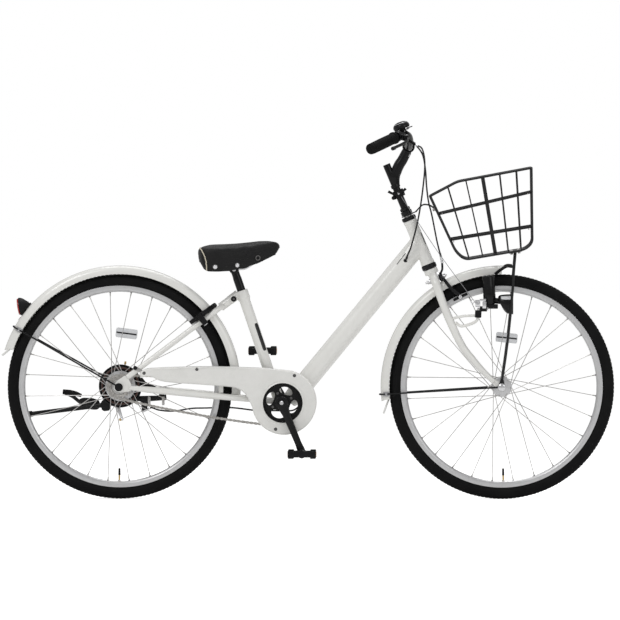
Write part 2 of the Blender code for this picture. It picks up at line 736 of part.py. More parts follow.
# Fenders, each with its stay
def make_fender(name, centre, span, owner, flap, bolts):
    profile = [(FENDER_RADIUS - FENDER_DEPTH, -FENDER_HALF_WIDTH), (FENDER_RADIUS - 0.012, -0.0262),
               (FENDER_RADIUS, -0.012)]
    profile = profile + [(r, -y) for r, y in reversed(profile)]
    sweep = span[1] - span[0]
    arch = wheel_turned(profile, centre, steps=round(sweep / 6.8), angle=sweep, start=span[0],
                        closed=False, wall=FENDER_WALL)
    start, end = Vector(flap[0]), Vector(flap[1])
    way = (end - start).normalized()
    tail = box((start + end) / 2, ((end - start).length, FLAP_WIDTH, FLAP_WALL), way)
    studs = [cylinder(polar(centre, FENDER_RADIUS - 0.0005, angle), polar(centre, reach, angle),
                      FENDER_BOLT_RADIUS, 6) for angle, reach in bolts]
    part(name, join(arch, tail, *studs), WHITE, owner)


def make_stay(name, centre, angle, owner, right_y, left_y):
    """Wire from one axle end, over the fender and back to the other, with an eyelet at each end."""
    clear = STAY_WIRE_RADIUS + GAP
    over = fender_outside + clear
    beside = FENDER_HALF_WIDTH + FENDER_WALL / 2 + clear + 0.0006
    edge = FENDER_RADIUS - FENDER_DEPTH
    points = []
    for hand, y in ((-1, right_y), (1, left_y)):
        half = [polar(centre, over, angle, 0.0), polar(centre, over, angle, hand * 0.013),
                polar(centre, over - 0.0045, angle, hand * 0.0225),
                polar(centre, edge + 0.014, angle, hand * beside),
                polar(centre, edge - 0.09, angle, hand * (beside + 0.008)),
                polar(centre, 0.030, angle, hand * y), polar(centre, EYELET_RADIUS - 0.002, angle, hand * y)]
        points = list(reversed(half)) if hand < 0 else points + half[1:]
    eyes = [ring((centre[0], hand * y, centre[1]), Y_AXIS, axle_bore, EYELET_RADIUS, EYELET_WALL, 10)
            for hand, y in ((-1, right_y), (1, left_y))]
    radii = [EYELET_WALL / 2] + [STAY_WIRE_RADIUS] * (len(points) - 2) + [EYELET_WALL / 2]
    radii[1] = EYELET_WALL / 2
    radii[-2] = EYELET_WALL / 2
    part(name, join(rod(points, radii, 6), *eyes), BLACK, owner)


def make_fenders():
    bridge = math.hypot(BRIDGE_X, 0.297 - rear_axle[1])
    bridge_angle = math.degrees(math.atan2(0.297 - rear_axle[1], BRIDGE_X))
    make_fender("rear_fender", rear_axle, REAR_FENDER_SPAN, "root",
                ((-0.312, 0, 0.4556), (-0.3485, 0, 0.4237)),
                ((bridge_angle, bridge - BRIDGE_RADIUS - GAP), (38.05, 0.3768)))
    make_fender("front_fender", front_axle, FRONT_FENDER_SPAN, "steering",
                ((0.793, 0, 0.2955), (0.7778, 0, 0.2515)), ((122.27, 0.3662),))
    middle = rear_outside + EYELET_WALL / 2
    make_stay("rear_fender_stay", rear_axle, REAR_STAY_ANGLE, "root", middle, middle + STAND_PLATE + GAP)
    middle = front_outside + EYELET_WALL / 2
    make_stay("front_fender_stay", front_axle, FRONT_STAY_ANGLE, "steering", middle, middle)


# Fork and headset
def make_fork():
    half = [(0.384, 0.0, 0.0, 0.0122), (0.378, 0.0, 0.018, 0.0122), (0.362, 0.0, 0.038, 0.0122),
            (0.33, -0.002, 0.047, 0.0122), (0.25, -0.005, 0.0478, 0.0118), (0.16, -0.001, 0.0505, 0.0108),
            (0.10, 0.0150, 0.0516, 0.0095), (0.024, 0.0450, 0.053, 0.0070)]
    points = mirrored([steer(s, forward, -y) for s, forward, y, _ in half])
    radii = [row[3] * FORK_BLADE_RADIUS / half[0][3] for row in half]
    blades = rod(points, list(reversed(radii)) + radii[1:], 8)
    race = CUP_RADIUS - 0.002
    race_end = HEAD_TUBE_START - 2 * GAP - CUP_HEIGHT - 0.0017
    bore = QUILL_RADIUS + 2 * GAP
    steerer = turned([(0.0, STEERER_FOOT), (STEERER_RADIUS, STEERER_FOOT),
                      (STEERER_RADIUS, CROWN_AT + 0.002), (race, CROWN_AT + 0.002), (race, race_end),
                      (STEERER_RADIUS, race_end),
                      (STEERER_RADIUS, LOCKNUT_START), (LOCKNUT_RADIUS, LOCKNUT_START),
                      (LOCKNUT_RADIUS, STEERER_TOP), (bore, STEERER_TOP), (bore, 0.46), (0.0, 0.46)],
                     steer_foot, steer_up, steps=12, closed=False)
    bolt = cylinder(steer(CALIPER_AT, -0.030), steer(CALIPER_AT, 0.040), 0.003, 6)
    nuts = [cylinder(steer(CALIPER_AT, -0.023), steer(CALIPER_AT, -0.0125), 0.0065, 6),
            cylinder(steer(CALIPER_AT, 0.0280), steer(CALIPER_AT, 0.035), 0.0065, 6)]
    tips = []
    foot = flat(steer(0.024, 0.0450))
    for hand in (-1, 1):
        outlines = [link_outline(front_axle, 0.012, foot, FORK_TIP_RADIUS), circle_outline(front_axle, axle_bore)]
        tips.append(plate(outlines, DROPOUT_WALL, hand * front_tip_y))
    loop = rod([(0.992, -0.0505, 0.522), (1.010, -0.056, 0.512), (1.045, -0.066, 0.522),
                (1.0585, -0.068, 0.5375), (1.0585, -0.066, 0.563)], 0.0035, 6)
    loop_top = rod([(0.985, -0.0505, 0.535), (1.02, -0.062, 0.542), (1.0585, -0.067, 0.5430)], 0.0030, 6)
    pin = cylinder(dynamo_hinge - X_AXIS * 0.0145, dynamo_hinge + X_AXIS * 0.0115, 0.0035, 6)
    part("fork", join(blades, steerer, bolt, *nuts, *tips, loop, loop_top, pin), WHITE, "steering")


def make_stem():
    quill = cylinder(steer(QUILL_START), steer(QUILL_TOP), QUILL_RADIUS, 14)
    arm_points = [steer(STEM_LEAVES), Vector((0.8139, 0, 0.957)), Vector((0.822, 0, 0.980)),
                  Vector((0.8344, 0, 1.0007)), Vector((0.847, 0, 1.025))]
    arm = rod(arm_points, [0.010, STEM_RADIUS, STEM_RADIUS, STEM_RADIUS, STEM_RADIUS * 0.9], 10)
    clamp = across(flat(BAR_BENDS[0]), BAR_CLAMP_RADIUS, -BAR_CLAMP_WIDTH / 2, BAR_CLAMP_WIDTH / 2, 14)
    room = across(flat(BAR_BENDS[0]), BAR_RADIUS + 2 * GAP, -0.05, 0.05, 12)
    socket = cylinder(steer(QUILL_TOP - 0.012), steer(QUILL_TOP + 0.01), QUILL_RADIUS - 0.003, 8)
    part("stem", cut(join(quill, arm, clamp), room, socket), BLACK, "steering", 0.3, 0.6)

    half = LEVER_CLAMP_HEIGHT / 2
    collar = cylinder(steer(LEVER_CLAMP_AT - half), steer(LEVER_CLAMP_AT + half), LEVER_CLAMP_RADIUS, 14)
    pin = cylinder(steer(LEVER_CLAMP_AT, 0, -0.014), light_lever_centre - Y_AXIS * 0.005, 0.003, 6)
    screw = steer(LEVER_CLAMP_AT - 0.006, -0.0189)
    knob = across(flat(screw), 0.006, -0.016, 0.012, 8)
    hole = cylinder(steer(LEVER_CLAMP_AT - 0.05), steer(LEVER_CLAMP_AT + 0.05), QUILL_RADIUS + 2 * GAP, 12)
    part("light_lever_clamp", cut(join(collar, pin, knob), hole), BLACK, "steering", 0.4)
    eye = ring(light_lever_centre, Y_AXIS, 0.0033, 0.009, 0.0055, 8)
    bar = box(light_lever_centre - Y_AXIS * 0.0004, (0.048, 0.0047, 0.006), steer_forward)
    hole = cylinder(light_lever_centre - Y_AXIS * 0.01, light_lever_centre + Y_AXIS * 0.01, 0.0033, 8)
    part("light_lever", cut(join(eye, bar), hole), BLACK, "light_lever", 0.4)


# Handlebar group
def make_handlebar():
    part("handlebar", rod(mirrored([sided(p, -1) for p in bar_half()]), BAR_RADIUS, 10), BLACK, "steering",
         0.35, 0.5)
    for hand in (-1, 1):
        make_grip(hand)
        make_brake_perch(hand)
        make_brake_lever(hand)


def make_grip(hand):
    start, outward, _ = grip_place(hand)
    bore = BAR_RADIUS + 2 * GAP
    profile = [(0.0, GRIP_LENGTH), (GRIP_RADIUS * 0.75, GRIP_LENGTH), (GRIP_RADIUS, GRIP_LENGTH - 0.004),
               (GRIP_RADIUS, 0.008), (GRIP_RADIUS + 0.002, 0.004), (GRIP_RADIUS + 0.002, 0.0), (bore, 0.0),
               (bore, GRIP_LENGTH - EYELET_WALL), (0.0, GRIP_LENGTH - EYELET_WALL)]
    shape = turned(profile, start, outward, steps=12, closed=False)
    part("grip_" + side_name(hand), shape, BLACK, "steering", 0.8)


def make_brake_perch(hand):
    _, outward, forward = grip_place(hand)
    centre = perch_centre(hand)
    across_way = outward.cross(forward)
    collar = ring(centre, outward, BAR_RADIUS + 2 * GAP, 0.0155, PERCH_WIDTH, 12)
    neck = box(centre + forward * 0.0175, (0.008, 0.0172, 0.0124), forward, across_way)
    ears = [box(centre + forward * (PERCH_REACH - 0.0035) + across_way * 0.0078 * turn,
                (0.0185, 0.0024, 0.013), forward, across_way) for turn in (-1, 1)]
    pin = cylinder(lever_pivot(hand) - across_way * 0.009, lever_pivot(hand) + across_way * 0.009, 0.0025, 6)
    end = sided(ADJUSTER_END, hand)
    adjuster = cylinder(centre + forward * 0.019 - outward * 0.004, end, 0.004, 8)
    name = "brake_perch_" + side_name(hand)
    part(name, join(collar, neck, *ears, pin, adjuster), BLACK, "steering", 0.4, 0.4)


def make_brake_lever(hand):
    _, outward, forward = grip_place(hand)
    across_way = outward.cross(forward)
    pivot = lever_pivot(hand)
    eye = cylinder(pivot - across_way * 0.0062, pivot + across_way * 0.0062, 0.0058, 8)
    steps = ((0.0, 0.0), (0.012, 0.010), (0.028, 0.0195), (0.060, 0.0225), (0.095, 0.0215), (0.112, 0.0225))
    points = [pivot + outward * out + forward * ahead for out, ahead in steps]
    sizes = [LEVER_RADIUS, LEVER_RADIUS, LEVER_RADIUS, LEVER_RADIUS, LEVER_RADIUS, LEVER_RADIUS * 1.2]
    hole = cylinder(pivot - across_way * 0.02, pivot + across_way * 0.02, 0.0029, 8)
    name = "brake_lever_" + side_name(hand)
    part(name, cut(join(eye, rod(points, sizes, 6)), hole), BLACK, name, 0.35, 0.6)


# Bell, on the right of the bar
def bell_spot():
    """Point on the bar where the bell sits, and the bar's way there."""
    path = [sided(p, -1) for p in smooth(BAR_BENDS, 40)]
    nearest = min(range(1, len(path) - 1), key=lambda k: abs(path[k].y + BELL_Y))
    return path[nearest], (path[nearest + 1] - path[nearest - 1]).normalized()


bell_up = Vector((-0.35, 0, 0.937)).normalized()
bell_ahead = Vector((bell_up.z, 0, -bell_up.x))
BELL_LEVER_HEIGHT = 0.01575


def bell_lever_pivot():
    return bell_spot()[0] + bell_up * BELL_LEVER_HEIGHT + bell_ahead * 0.0155


def make_bell():
    spot, way = bell_spot()
    pivot = bell_lever_pivot()
    collar = ring(spot, way, BAR_RADIUS + 0.0012, 0.0145, 0.010, 12)
    profile = [(0.0, 0.0), (0.0235, 0.0), (0.0235, 0.003), (BELL_RADIUS, 0.004), (BELL_RADIUS, 0.009),
               (0.0215, 0.0165), (0.0135, 0.0205), (0.0, 0.022)]
    dome = turned(profile, spot + bell_up * 0.0185, bell_up, steps=12, closed=False)
    foot = cylinder(spot + bell_up * 0.0125, spot + bell_up * 0.0195, 0.010, 8)
    shelf = box(spot + bell_up * 0.0125 + bell_ahead * 0.009, (0.022, 0.009, 0.002), bell_ahead, Y_AXIS)
    pin = cylinder(pivot - bell_up * 0.003, pivot + bell_up * 0.0022, 0.002, 6)
    room = cylinder(spot - way * 0.03, spot + way * 0.03, BAR_RADIUS + 0.0012, 12)
    part("bell", cut(join(dome, collar, foot, shelf, pin), room), BLACK, "steering", 0.25, 0.6)
    eye = ring(pivot, bell_up, 0.0023, 0.0042, 0.0034, 8)
    arm = box(pivot + bell_ahead * 0.0085, (0.014, 0.0055, 0.003), bell_ahead, Y_AXIS)
    hole = cylinder(pivot - bell_up * 0.01, pivot + bell_up * 0.01, 0.0023, 8)
    part("bell_lever", cut(join(eye, arm), hole), BLACK, "bell_lever", 0.3, 0.6)


# Drive
def pitch_radius(teeth):
    return CHAIN_PITCH / (2 * math.sin(math.pi / teeth))


def gear_outline(centre, teeth):
    pitch = pitch_radius(teeth)
    step = 2 * math.pi / teeth
    outline = []
    for k in range(teeth):
        for radius, share in ((pitch + TOOTH_RISE, 0.0), (pitch - TOOTH_FALL, 0.5)):
            angle = (k + share) * step
            outline.append((centre[0] + radius * math.cos(angle), centre[1] + radius * math.sin(angle)))
    return outline


def chain_outline(offset):
    """Closed path of the chain: round the ring, over to the cog, round it and back with a sag."""
    seat_on = TOOTH_RISE + 2 * GAP + CHAIN_THICKNESS / 2
    big = pitch_radius(RING_TEETH) + seat_on
    small = pitch_radius(COG_TEETH) + seat_on
    rise = rear_axle[1] - BB_HEIGHT
    base = math.atan2(-rise, BB_X)
    lean = math.acos((big - small) / math.hypot(BB_X, rise))
    outline = []
    for centre, radius, start, end, count in (
            (bottom_bracket, big, base - lean, base + lean, 15),
            (rear_axle, small, base + lean, base + 2 * math.pi - lean, 9)):
        reach = (radius + offset) / math.cos((end - start) / count / 2)
        for k in range(count + 1):
            point = polar(centre, reach, math.degrees(start + (end - start) * k / count))
            outline.append(flat(point))
    start, end = outline[-1], outline[0]
    for k in range(1, 7):
        t = k / 7
        sag = CHAIN_SAG * 4 * t * (1 - t)
        outline.append((start[0] + (end[0] - start[0]) * t, start[1] + (end[1] - start[1]) * t - sag))
    return outline


def case_outline():
    rear = [(0.064, 0.360), (0.0935, 0.3625), (0.1345, 0.3477), (0.3275, 0.3327), (0.370, 0.3149),
            (0.3855, 0.290)]
    arc = [flat(polar(CASE_CENTRE, CASE_RADIUS, -175 + 257 * k / 19)) for k in range(20)]
    top = [(0.39, 0.390), (0.2788, 0.3935), (0.18, 0.392), (0.0935, 0.3885), (0.0625, 0.3745)]
    return rear + arc + top


def make_drive():
    middle = -(CASE_INNER_Y + CASE_OUTER_Y) / 2
    case = plate([case_outline()], CASE_OUTER_Y - CASE_INNER_Y, middle)
    inside = plate([inset(case_outline(), CASE_WALL)], CASE_OUTER_Y - CASE_INNER_Y, middle + CASE_WALL)
    hole = across(flat(polar((BB_X + 0.003, BB_HEIGHT - 0.0005), 0, 0)), CASE_HOLE_RADIUS, -0.1, -0.03, 22)
    run = plate([chain_outline(0.004), chain_outline(-0.004)], CHAIN_WIDTH + 0.004, -CHAIN_LINE)
    foot = box((0.300, -0.0425, 0.3254), (0.014, 0.003, 0.0216))
    part("chain_case", join(cut(case, inside, hole, run), foot), WHITE, "root", 0.3)
    half = CHAIN_THICKNESS / 2
    links = plate([chain_outline(half), chain_outline(-half)], CHAIN_WIDTH, -CHAIN_LINE)
    part("chain", links, SILVER, "root", 0.4, 0.8)

    windows = []
    for angle in (70, 160, 250, 340):
        centre = polar(bottom_bracket, 0.0365, angle)
        outward = polar((0, 0), 1, angle)
        sideways = polar((0, 0), 1, angle + 90)
        windows.append([flat(p) for p in oval(centre, outward, sideways, 0.0115, 0.0205, 10)])
    sprocket = plate([gear_outline(bottom_bracket, RING_TEETH)] + windows, SPROCKET_WALL, -CHAIN_LINE)
    hub = across(bottom_bracket, RING_HUB_RADIUS, -CRANK_BOSS_START + GAP, -0.036, 12)
    bore = across(bottom_bracket, CRANK_AXLE_RADIUS + 2 * GAP, -0.12, 0.0, 12)
    part("chainring", cut(join(sprocket, hub), bore), BLACK, "crank", 0.4)

    for hand in (-1, 1):
        turn = CRANK_ANGLE if hand < 0 else CRANK_ANGLE + 180
        end = polar(bottom_bracket, CRANK_LENGTH, turn)
        outline = link_outline(bottom_bracket, CRANK_BOSS_RADIUS - 0.002, flat(end), 0.0125)
        arm = plate([outline], CRANK_WALL, hand * CRANK_Y)
        outer = CRANK_Y + CRANK_WALL / 2 - 0.001
        spindle = across(flat(end), SPINDLE_RADIUS, hand * CRANK_Y, hand * (PEDAL_Y + 0.035), 10)
        if hand < 0:
            boss = across(bottom_bracket, CRANK_BOSS_RADIUS, -CRANK_BOSS_START, -outer, 12)
            bore = across(bottom_bracket, CRANK_AXLE_RADIUS + 2 * GAP, -0.12, 0.0, 12)
            part("crank_right", cut(join(arm, boss, spindle), bore), BLACK, "crank", 0.35)
        else:
            boss = across(bottom_bracket, CRANK_BOSS_RADIUS, 0.045, outer, 12)
            axle = across(bottom_bracket, CRANK_AXLE_RADIUS, -CRANK_Y - CRANK_WALL / 2 - 0.0005, CRANK_Y, 12)
            part("crank_left", join(arm, boss, spindle, axle), BLACK, "crank", 0.35)
        make_pedal(hand, end)

    cog = plate([gear_outline(rear_axle, COG_TEETH)], SPROCKET_WALL, -CHAIN_LINE)
    drum = across(rear_axle, FREEWHEEL_RADIUS, -0.0515, -0.0365, 14)
    bore = across(rear_axle, FREEWHEEL_BORE, -0.1, 0.0, 14)
    part("freewheel", cut(join(cog, drum), bore), SILVER, "freewheel", 0.4, 0.8)


def make_pedal(hand, end):
    long, wide, tall = PEDAL_SIZE
    centre = end + Y_AXIS * hand * PEDAL_Y
    block = box(centre, (long, wide, tall))
    slots = [box(centre + X_AXIS * 0.0235 * turn, (0.023, wide - 0.020, tall * 2)) for turn in (-1, 1)]
    bore = across(flat(centre), SPINDLE_RADIUS + GAP, hand * (PEDAL_Y - wide), hand * (PEDAL_Y + 0.0353), 12)
    name = "pedal_" + side_name(hand)
    part(name, cut(block, *slots, bore), BLACK, name, 0.6)


# Basket
BASKET_TOP = ((0.9163, 0.8949), (0.9974, 0.9378), (1.2146, 0.9782))
BASKET_FLOOR = ((0.9922, 0.7310), (1.0185, 0.7082), (1.1957, 0.7384), (1.2177, 0.7576))


def read_line(points, share):
    """Point of a polyline at a share of its reach along X."""
    x = points[0][0] + (points[-1][0] - points[0][0]) * share
    for (x0, z0), (x1, z1) in zip(points, points[1:]):
        if x <= x1 + 1e-9:
            return Vector((x, 0, z0 + (z1 - z0) * (x - x0) / (x1 - x0)))


def basket_point(share, across_share, up):
    low = read_line(BASKET_FLOOR, share)
    point = low.lerp(read_line(BASKET_TOP, share), up)
    point.y = across_share * (BASKET_HALF_BOTTOM + (BASKET_HALF_TOP - BASKET_HALF_BOTTOM) * up)
    return point


def basket_row(share):
    rows = len(BASKET_ROWS) - 1
    k = min(int(share * rows + 1e-6), rows - 1)
    return BASKET_ROWS[k] + (BASKET_ROWS[k + 1] - BASKET_ROWS[k]) * (share * rows - k)


def make_basket():
    """Five wire panels: grids bent to shape, every cell opened, then given a wall."""
    rows = len(BASKET_ROWS) - 1
    panels = ((BASKET_COLUMNS, rows, lambda a, b: basket_point(a, -1, basket_row(b))),
              (BASKET_COLUMNS, rows, lambda a, b: basket_point(a, 1, basket_row(b))),
              (BASKET_ACROSS, rows, lambda a, b: basket_point(0, 2 * a - 1, basket_row(b))),
              (BASKET_ACROSS, rows, lambda a, b: basket_point(1, 2 * a - 1, basket_row(b))),
              (BASKET_COLUMNS, BASKET_ACROSS, lambda a, b: basket_point(a, 2 * b - 1, 0)))
    bm = bmesh.new()
    for columns, count, place in panels:
        made = bmesh.ops.create_grid(bm, x_segments=columns, y_segments=count, size=0.5)
        for vert in made["verts"]:
            vert.co = place(vert.co.x + 0.5, vert.co.y + 0.5)
    bmesh.ops.remove_doubles(bm, verts=bm.verts, dist=1e-5)
    bmesh.ops.recalc_face_normals(bm, faces=bm.faces)
    cells = list(bm.faces)
    bmesh.ops.inset_individual(bm, faces=cells, thickness=BASKET_STRIP / 2, use_even_offset=True)
    bmesh.ops.delete(bm, geom=cells, context="FACES")
    obj = keep(bm, "basket")
    wall = obj.modifiers.new("wall", "SOLIDIFY")
    wall.thickness = BASKET_WALL
    wall.offset = 0.0
    part("basket", bake(obj, "basket"), BLACK, "steering", 0.5, 0.3)

    slope = (Vector((1.1957, 0, 0.7384)) - Vector((1.0185, 0, 0.7082))).normalized()
    below = Vector((slope.z, 0, -slope.x))
    clip = Vector((1.167, 0, 0.7335)) + below * (BASKET_WALL / 2 + GAP + 0.0016)
    pieces = []
    for hand in (-1, 1):
        eye_y = hand * (front_outside + EYELET_WALL + GAP + EYELET_WALL / 2)
        side = hand * BASKET_LEG_Y
        leg = [clip + Y_AXIS * side + below * 0.0012, Vector((1.159, side, 0.611)),
               Vector((1.149, side, 0.505)), Vector((1.135, hand * 0.069, 0.390)),
               Vector((1.1285, eye_y, 0.352))]
        foot = link_outline(front_axle, EYELET_RADIUS, (1.1285, 0.354), 0.005)
        pieces.append(rod(leg, BASKET_LEG_RADIUS, 6))
        pieces.append(plate([foot, circle_outline(front_axle, axle_bore)], EYELET_WALL, eye_y))
    sheet = box(clip, (0.040, 0.200, 0.003), slope)
    part("basket_stays", join(sheet, *pieces), BLACK, "steering", 0.4, 0.5)

    at = LOCKNUT_START - GAP - 0.002
    collar = pipe(steer(at - 0.002), steer(at + 0.002), STEERER_RADIUS + 2 * GAP, 0.019, 12)
    tongue = box(steer(at, 0.0235), (0.013, 0.034, 0.0034), steer_forward)
    arms = [rod([steer(at, 0.026, hand * 0.0125), Vector((0.919, hand * 0.040, 0.866)),
                 Vector((0.9305, hand * 0.045, 0.8565))], 0.003, 6) for hand in (-1, 1)]
    part("basket_bracket", join(collar, tongue, *arms), BLACK, "steering", 0.4, 0.5)


# Front brake
PAD_ANGLE = 114.7
PAD_RADIUS = RIM_RADIUS - 0.006
PAD_GAP = 0.0021
FRONT_CABLE = ((0.8945, -0.141, 1.018), (0.903, -0.132, 0.975), (0.9065, -0.112, 0.9245),
               (0.912, -0.095, 0.880), (0.9225, -0.075, 0.836), (0.937, -0.052, 0.762))
front_cable_end = Vector((0.948, -0.030, 0.7177))
front_cable_way = (front_cable_end - Vector(FRONT_CABLE[-1])).normalized()


def make_caliper_arm(hand):
    at = 0.0236 if hand < 0 else 0.0166
    centre = steer(CALIPER_AT, at)
    rim_side = RIM_WIDTH / 2 + PAD_GAP
    pad_at = polar(front_axle, PAD_RADIUS, PAD_ANGLE, hand * (rim_side + 0.006))
    tangent = polar((0, 0), 1, PAD_ANGLE + 90)
    points = [steer(CALIPER_AT, at, hand * 0.004), steer(CALIPER_AT, at, hand * 0.020),
              steer(0.357, at + 0.003, hand * 0.0345), steer(0.325, 0.036, hand * 0.0360),
              polar(front_axle, PAD_RADIUS, PAD_ANGLE, hand * 0.0360)]
    arm = rod(points, [0.0033, 0.0033, 0.0038, 0.0045, 0.0045], 6)
    eye = ring(centre, steer_forward, 0.0034, 0.009, 0.005, 8)
    pad = box(pad_at, (0.046, 0.012, 0.009), tangent, Y_AXIS)
    stud = across(flat(pad_at), 0.005, hand * (rim_side + 0.010), hand * 0.042, 6)
    extra = []
    if hand < 0:
        barrel_end = front_cable_end + front_cable_way * GAP
        barrel_start = front_cable_end + front_cable_way * 0.022
        extra.append(rod([steer(CALIPER_AT, at, -0.001), steer(0.378, at + 0.0004, -0.006),
                          steer(0.388, 0.033, -0.012), barrel_start - front_cable_way * 0.004], 0.0033, 6))
        extra.append(cylinder(barrel_start, barrel_end, 0.004, 8))
    bore = cylinder(steer(CALIPER_AT, 0.0), steer(CALIPER_AT, 0.05), 0.0034, 8)
    name = "caliper_arm_" + side_name(hand)
    part(name, cut(join(arm, eye, pad, stud, *extra), bore), BLACK, name, 0.4, 0.4)


# Rear brake, on the left of the hub
brake_wire_way = Vector((0.9334, 0, 0.3589))
brake_anchor = Vector((0.0707, 0.0555, 0.2595))
brake_arm_end = Vector((0.0045, 0.0555, 0.2340))
BRAKE_ARM_LENGTH = 0.0441
brake_arm_pivot = flat(brake_arm_end + Vector((-brake_wire_way.z, 0, brake_wire_way.x)) * BRAKE_ARM_LENGTH)


def make_rear_brake():
    face = BRAKE_COVER_Y - BRAKE_COVER_WALL
    profile = [(axle_bore, BRAKE_COVER_Y), (BRAKE_COVER_RADIUS, BRAKE_COVER_Y), (BRAKE_COVER_RADIUS, 0.034),
               (BRAKE_COVER_RADIUS - 0.0035, 0.034), (BRAKE_COVER_RADIUS - 0.0035, face), (axle_bore, face)]
    cover = wheel_turned(profile, rear_axle, steps=24)
    arm = plate([((0.040, 0.287), (0.060, 0.286), (0.0635, 0.2575), (0.079, 0.2625), (0.082, 0.286),
                  (0.137, 0.290), (0.135, 0.3085), (0.117, 0.3104), (0.112, 0.3035), (0.040, 0.302))],
                BRAKE_COVER_WALL, BRAKE_COVER_Y - BRAKE_COVER_WALL / 2 + 0.0004)
    barrel = cylinder(brake_anchor - brake_wire_way * 0.0078, brake_anchor + brake_wire_way * 0.0078,
                      0.0055, 8)
    bore = cylinder(brake_anchor - brake_wire_way * 0.02, brake_anchor + brake_wire_way * 0.02,
                    WIRE_RADIUS + GAP, 6)
    part("brake_cover", cut(join(cover, arm, barrel), bore), BLACK, "root", 0.4, 0.3)

    outline = link_outline(brake_arm_pivot, 0.008, flat(brake_arm_end), 0.0028)
    lever = plate([outline], 0.0025, BRAKE_ARM_Y)
    pin = across(brake_arm_pivot, 0.004, BRAKE_COVER_Y + GAP, BRAKE_ARM_Y + 0.003, 8)
    eye = cylinder(brake_arm_end - brake_wire_way * 0.003, brake_arm_end + brake_wire_way * 0.003, 0.0055, 8)
    hole = cylinder(brake_arm_end - brake_wire_way * 0.02, brake_arm_end + brake_wire_way * 0.02, 0.0032, 8)
    part("brake_arm", cut(join(lever, pin, eye), hole), CHROME, "brake_arm", 0.3, 0.9)


# Lamp and dynamo in one housing on the fork
dynamo_top = Vector((1.0881, -0.050, 0.661))
dynamo_down = Vector((0.0534, 0, -0.9986)).normalized()
DYNAMO_LENGTH = 0.0847
dynamo_hinge = Vector((1.0705, -0.066, 0.563))
roller_centre = dynamo_top + dynamo_down * ROLLER_DROP + Y_AXIS * ROLLER_SHIFT
light_lever_centre = steer(LEVER_CLAMP_AT, 0, -0.0207)


def make_dynamo():
    bottom = dynamo_top + dynamo_down * DYNAMO_LENGTH
    reach = ROLLER_HEIGHT / 2 + 0.0008
    barrel = cylinder(dynamo_top, bottom, DYNAMO_RADIUS, 16)
    pocket = cylinder(roller_centre - dynamo_down * reach, roller_centre + dynamo_down * reach,
                      ROLLER_RADIUS + 0.0010, 12)
    pin = cylinder(roller_centre - dynamo_down * (reach + 0.003),
                   roller_centre + dynamo_down * (reach + 0.003), 0.002, 6)
    base = box(Vector((1.094, -0.052, 0.570)), (0.046, 0.030, 0.014))
    knuckle = cylinder(dynamo_hinge - X_AXIS * 0.0073, dynamo_hinge + X_AXIS * 0.014, 0.008, 10)
    neck = cylinder(Vector((1.100, -0.050, 0.588)), Vector((1.122, -0.048, 0.585)), 0.009, 8)
    stations = ((1.117, 0.010, 0.012, 0.586), (1.122, 0.018, 0.020, 0.583), (1.135, 0.0235, 0.027, 0.578),
                (1.150, 0.025, 0.0295, 0.5765), (1.1615, 0.025, 0.0300, 0.5765))
    lamp = loft([oval(Vector((x, -0.048, z)), Y_AXIS, Z_AXIS, wide, tall, 12)
                 for x, wide, tall, z in stations])
    hole = cylinder(dynamo_hinge - X_AXIS * 0.03, dynamo_hinge + X_AXIS * 0.0118, 0.0039, 8)
    housing = cut(join(cut(barrel, pocket), pin, base, knuckle, neck, lamp), hole)
    part("dynamo", housing, BLACK, "dynamo", 0.35)
    half = dynamo_down * (ROLLER_HEIGHT / 2)
    roller = pipe(roller_centre - half, roller_centre + half, 0.0024, ROLLER_RADIUS, 12)
    part("dynamo_roller", roller, SILVER, "dynamo_roller", 0.4, 0.8)


# Ring lock on the seat stays
lock_centre = Vector((LOCK_CENTRE[0], 0, LOCK_CENTRE[1]))
lock_along = Vector((math.cos(math.radians(LOCK_ANGLE)), 0, math.sin(math.radians(LOCK_ANGLE))))
lock_normal = Vector((-lock_along.z, 0, lock_along.x))


def lock_arc(radius, start, end, steps, sides):
    """Round bar along an arc of the ring, angles measured from its forward side to the left."""
    points = []
    for k in range(steps + 1):
        angle = math.radians(start + (end - start) * k / steps)
        out = lock_along * math.cos(angle) + Y_AXIS * math.sin(angle)
        points.append(lock_centre + out * LOCK_RING_RADIUS)
    return rod(points, radius, sides)


def make_lock():
    tube = lock_arc(LOCK_TUBE_RADIUS, -LOCK_SPAN, LOCK_SPAN, 16, 8)
    side = lock_centre - Y_AXIS * 0.0575
    barrel = cylinder(side + lock_normal * 0.006, side - lock_normal * 0.0315, 0.009, 10)
    hollow = lock_arc(LOCK_BORE, -LOCK_SPAN - 4, LOCK_SPAN + 4, 16, 8)
    part("lock_body", cut(join(tube, barrel), hollow), BLACK, "root", 0.4)
    part("lock_shackle", lock_arc(SHACKLE_RADIUS, -60, 125, 14, 6), CHROME, "lock_shackle", 0.25, 0.9)


# Side stand
stand_pivot = Vector((-0.045, 0.076, 0.275))


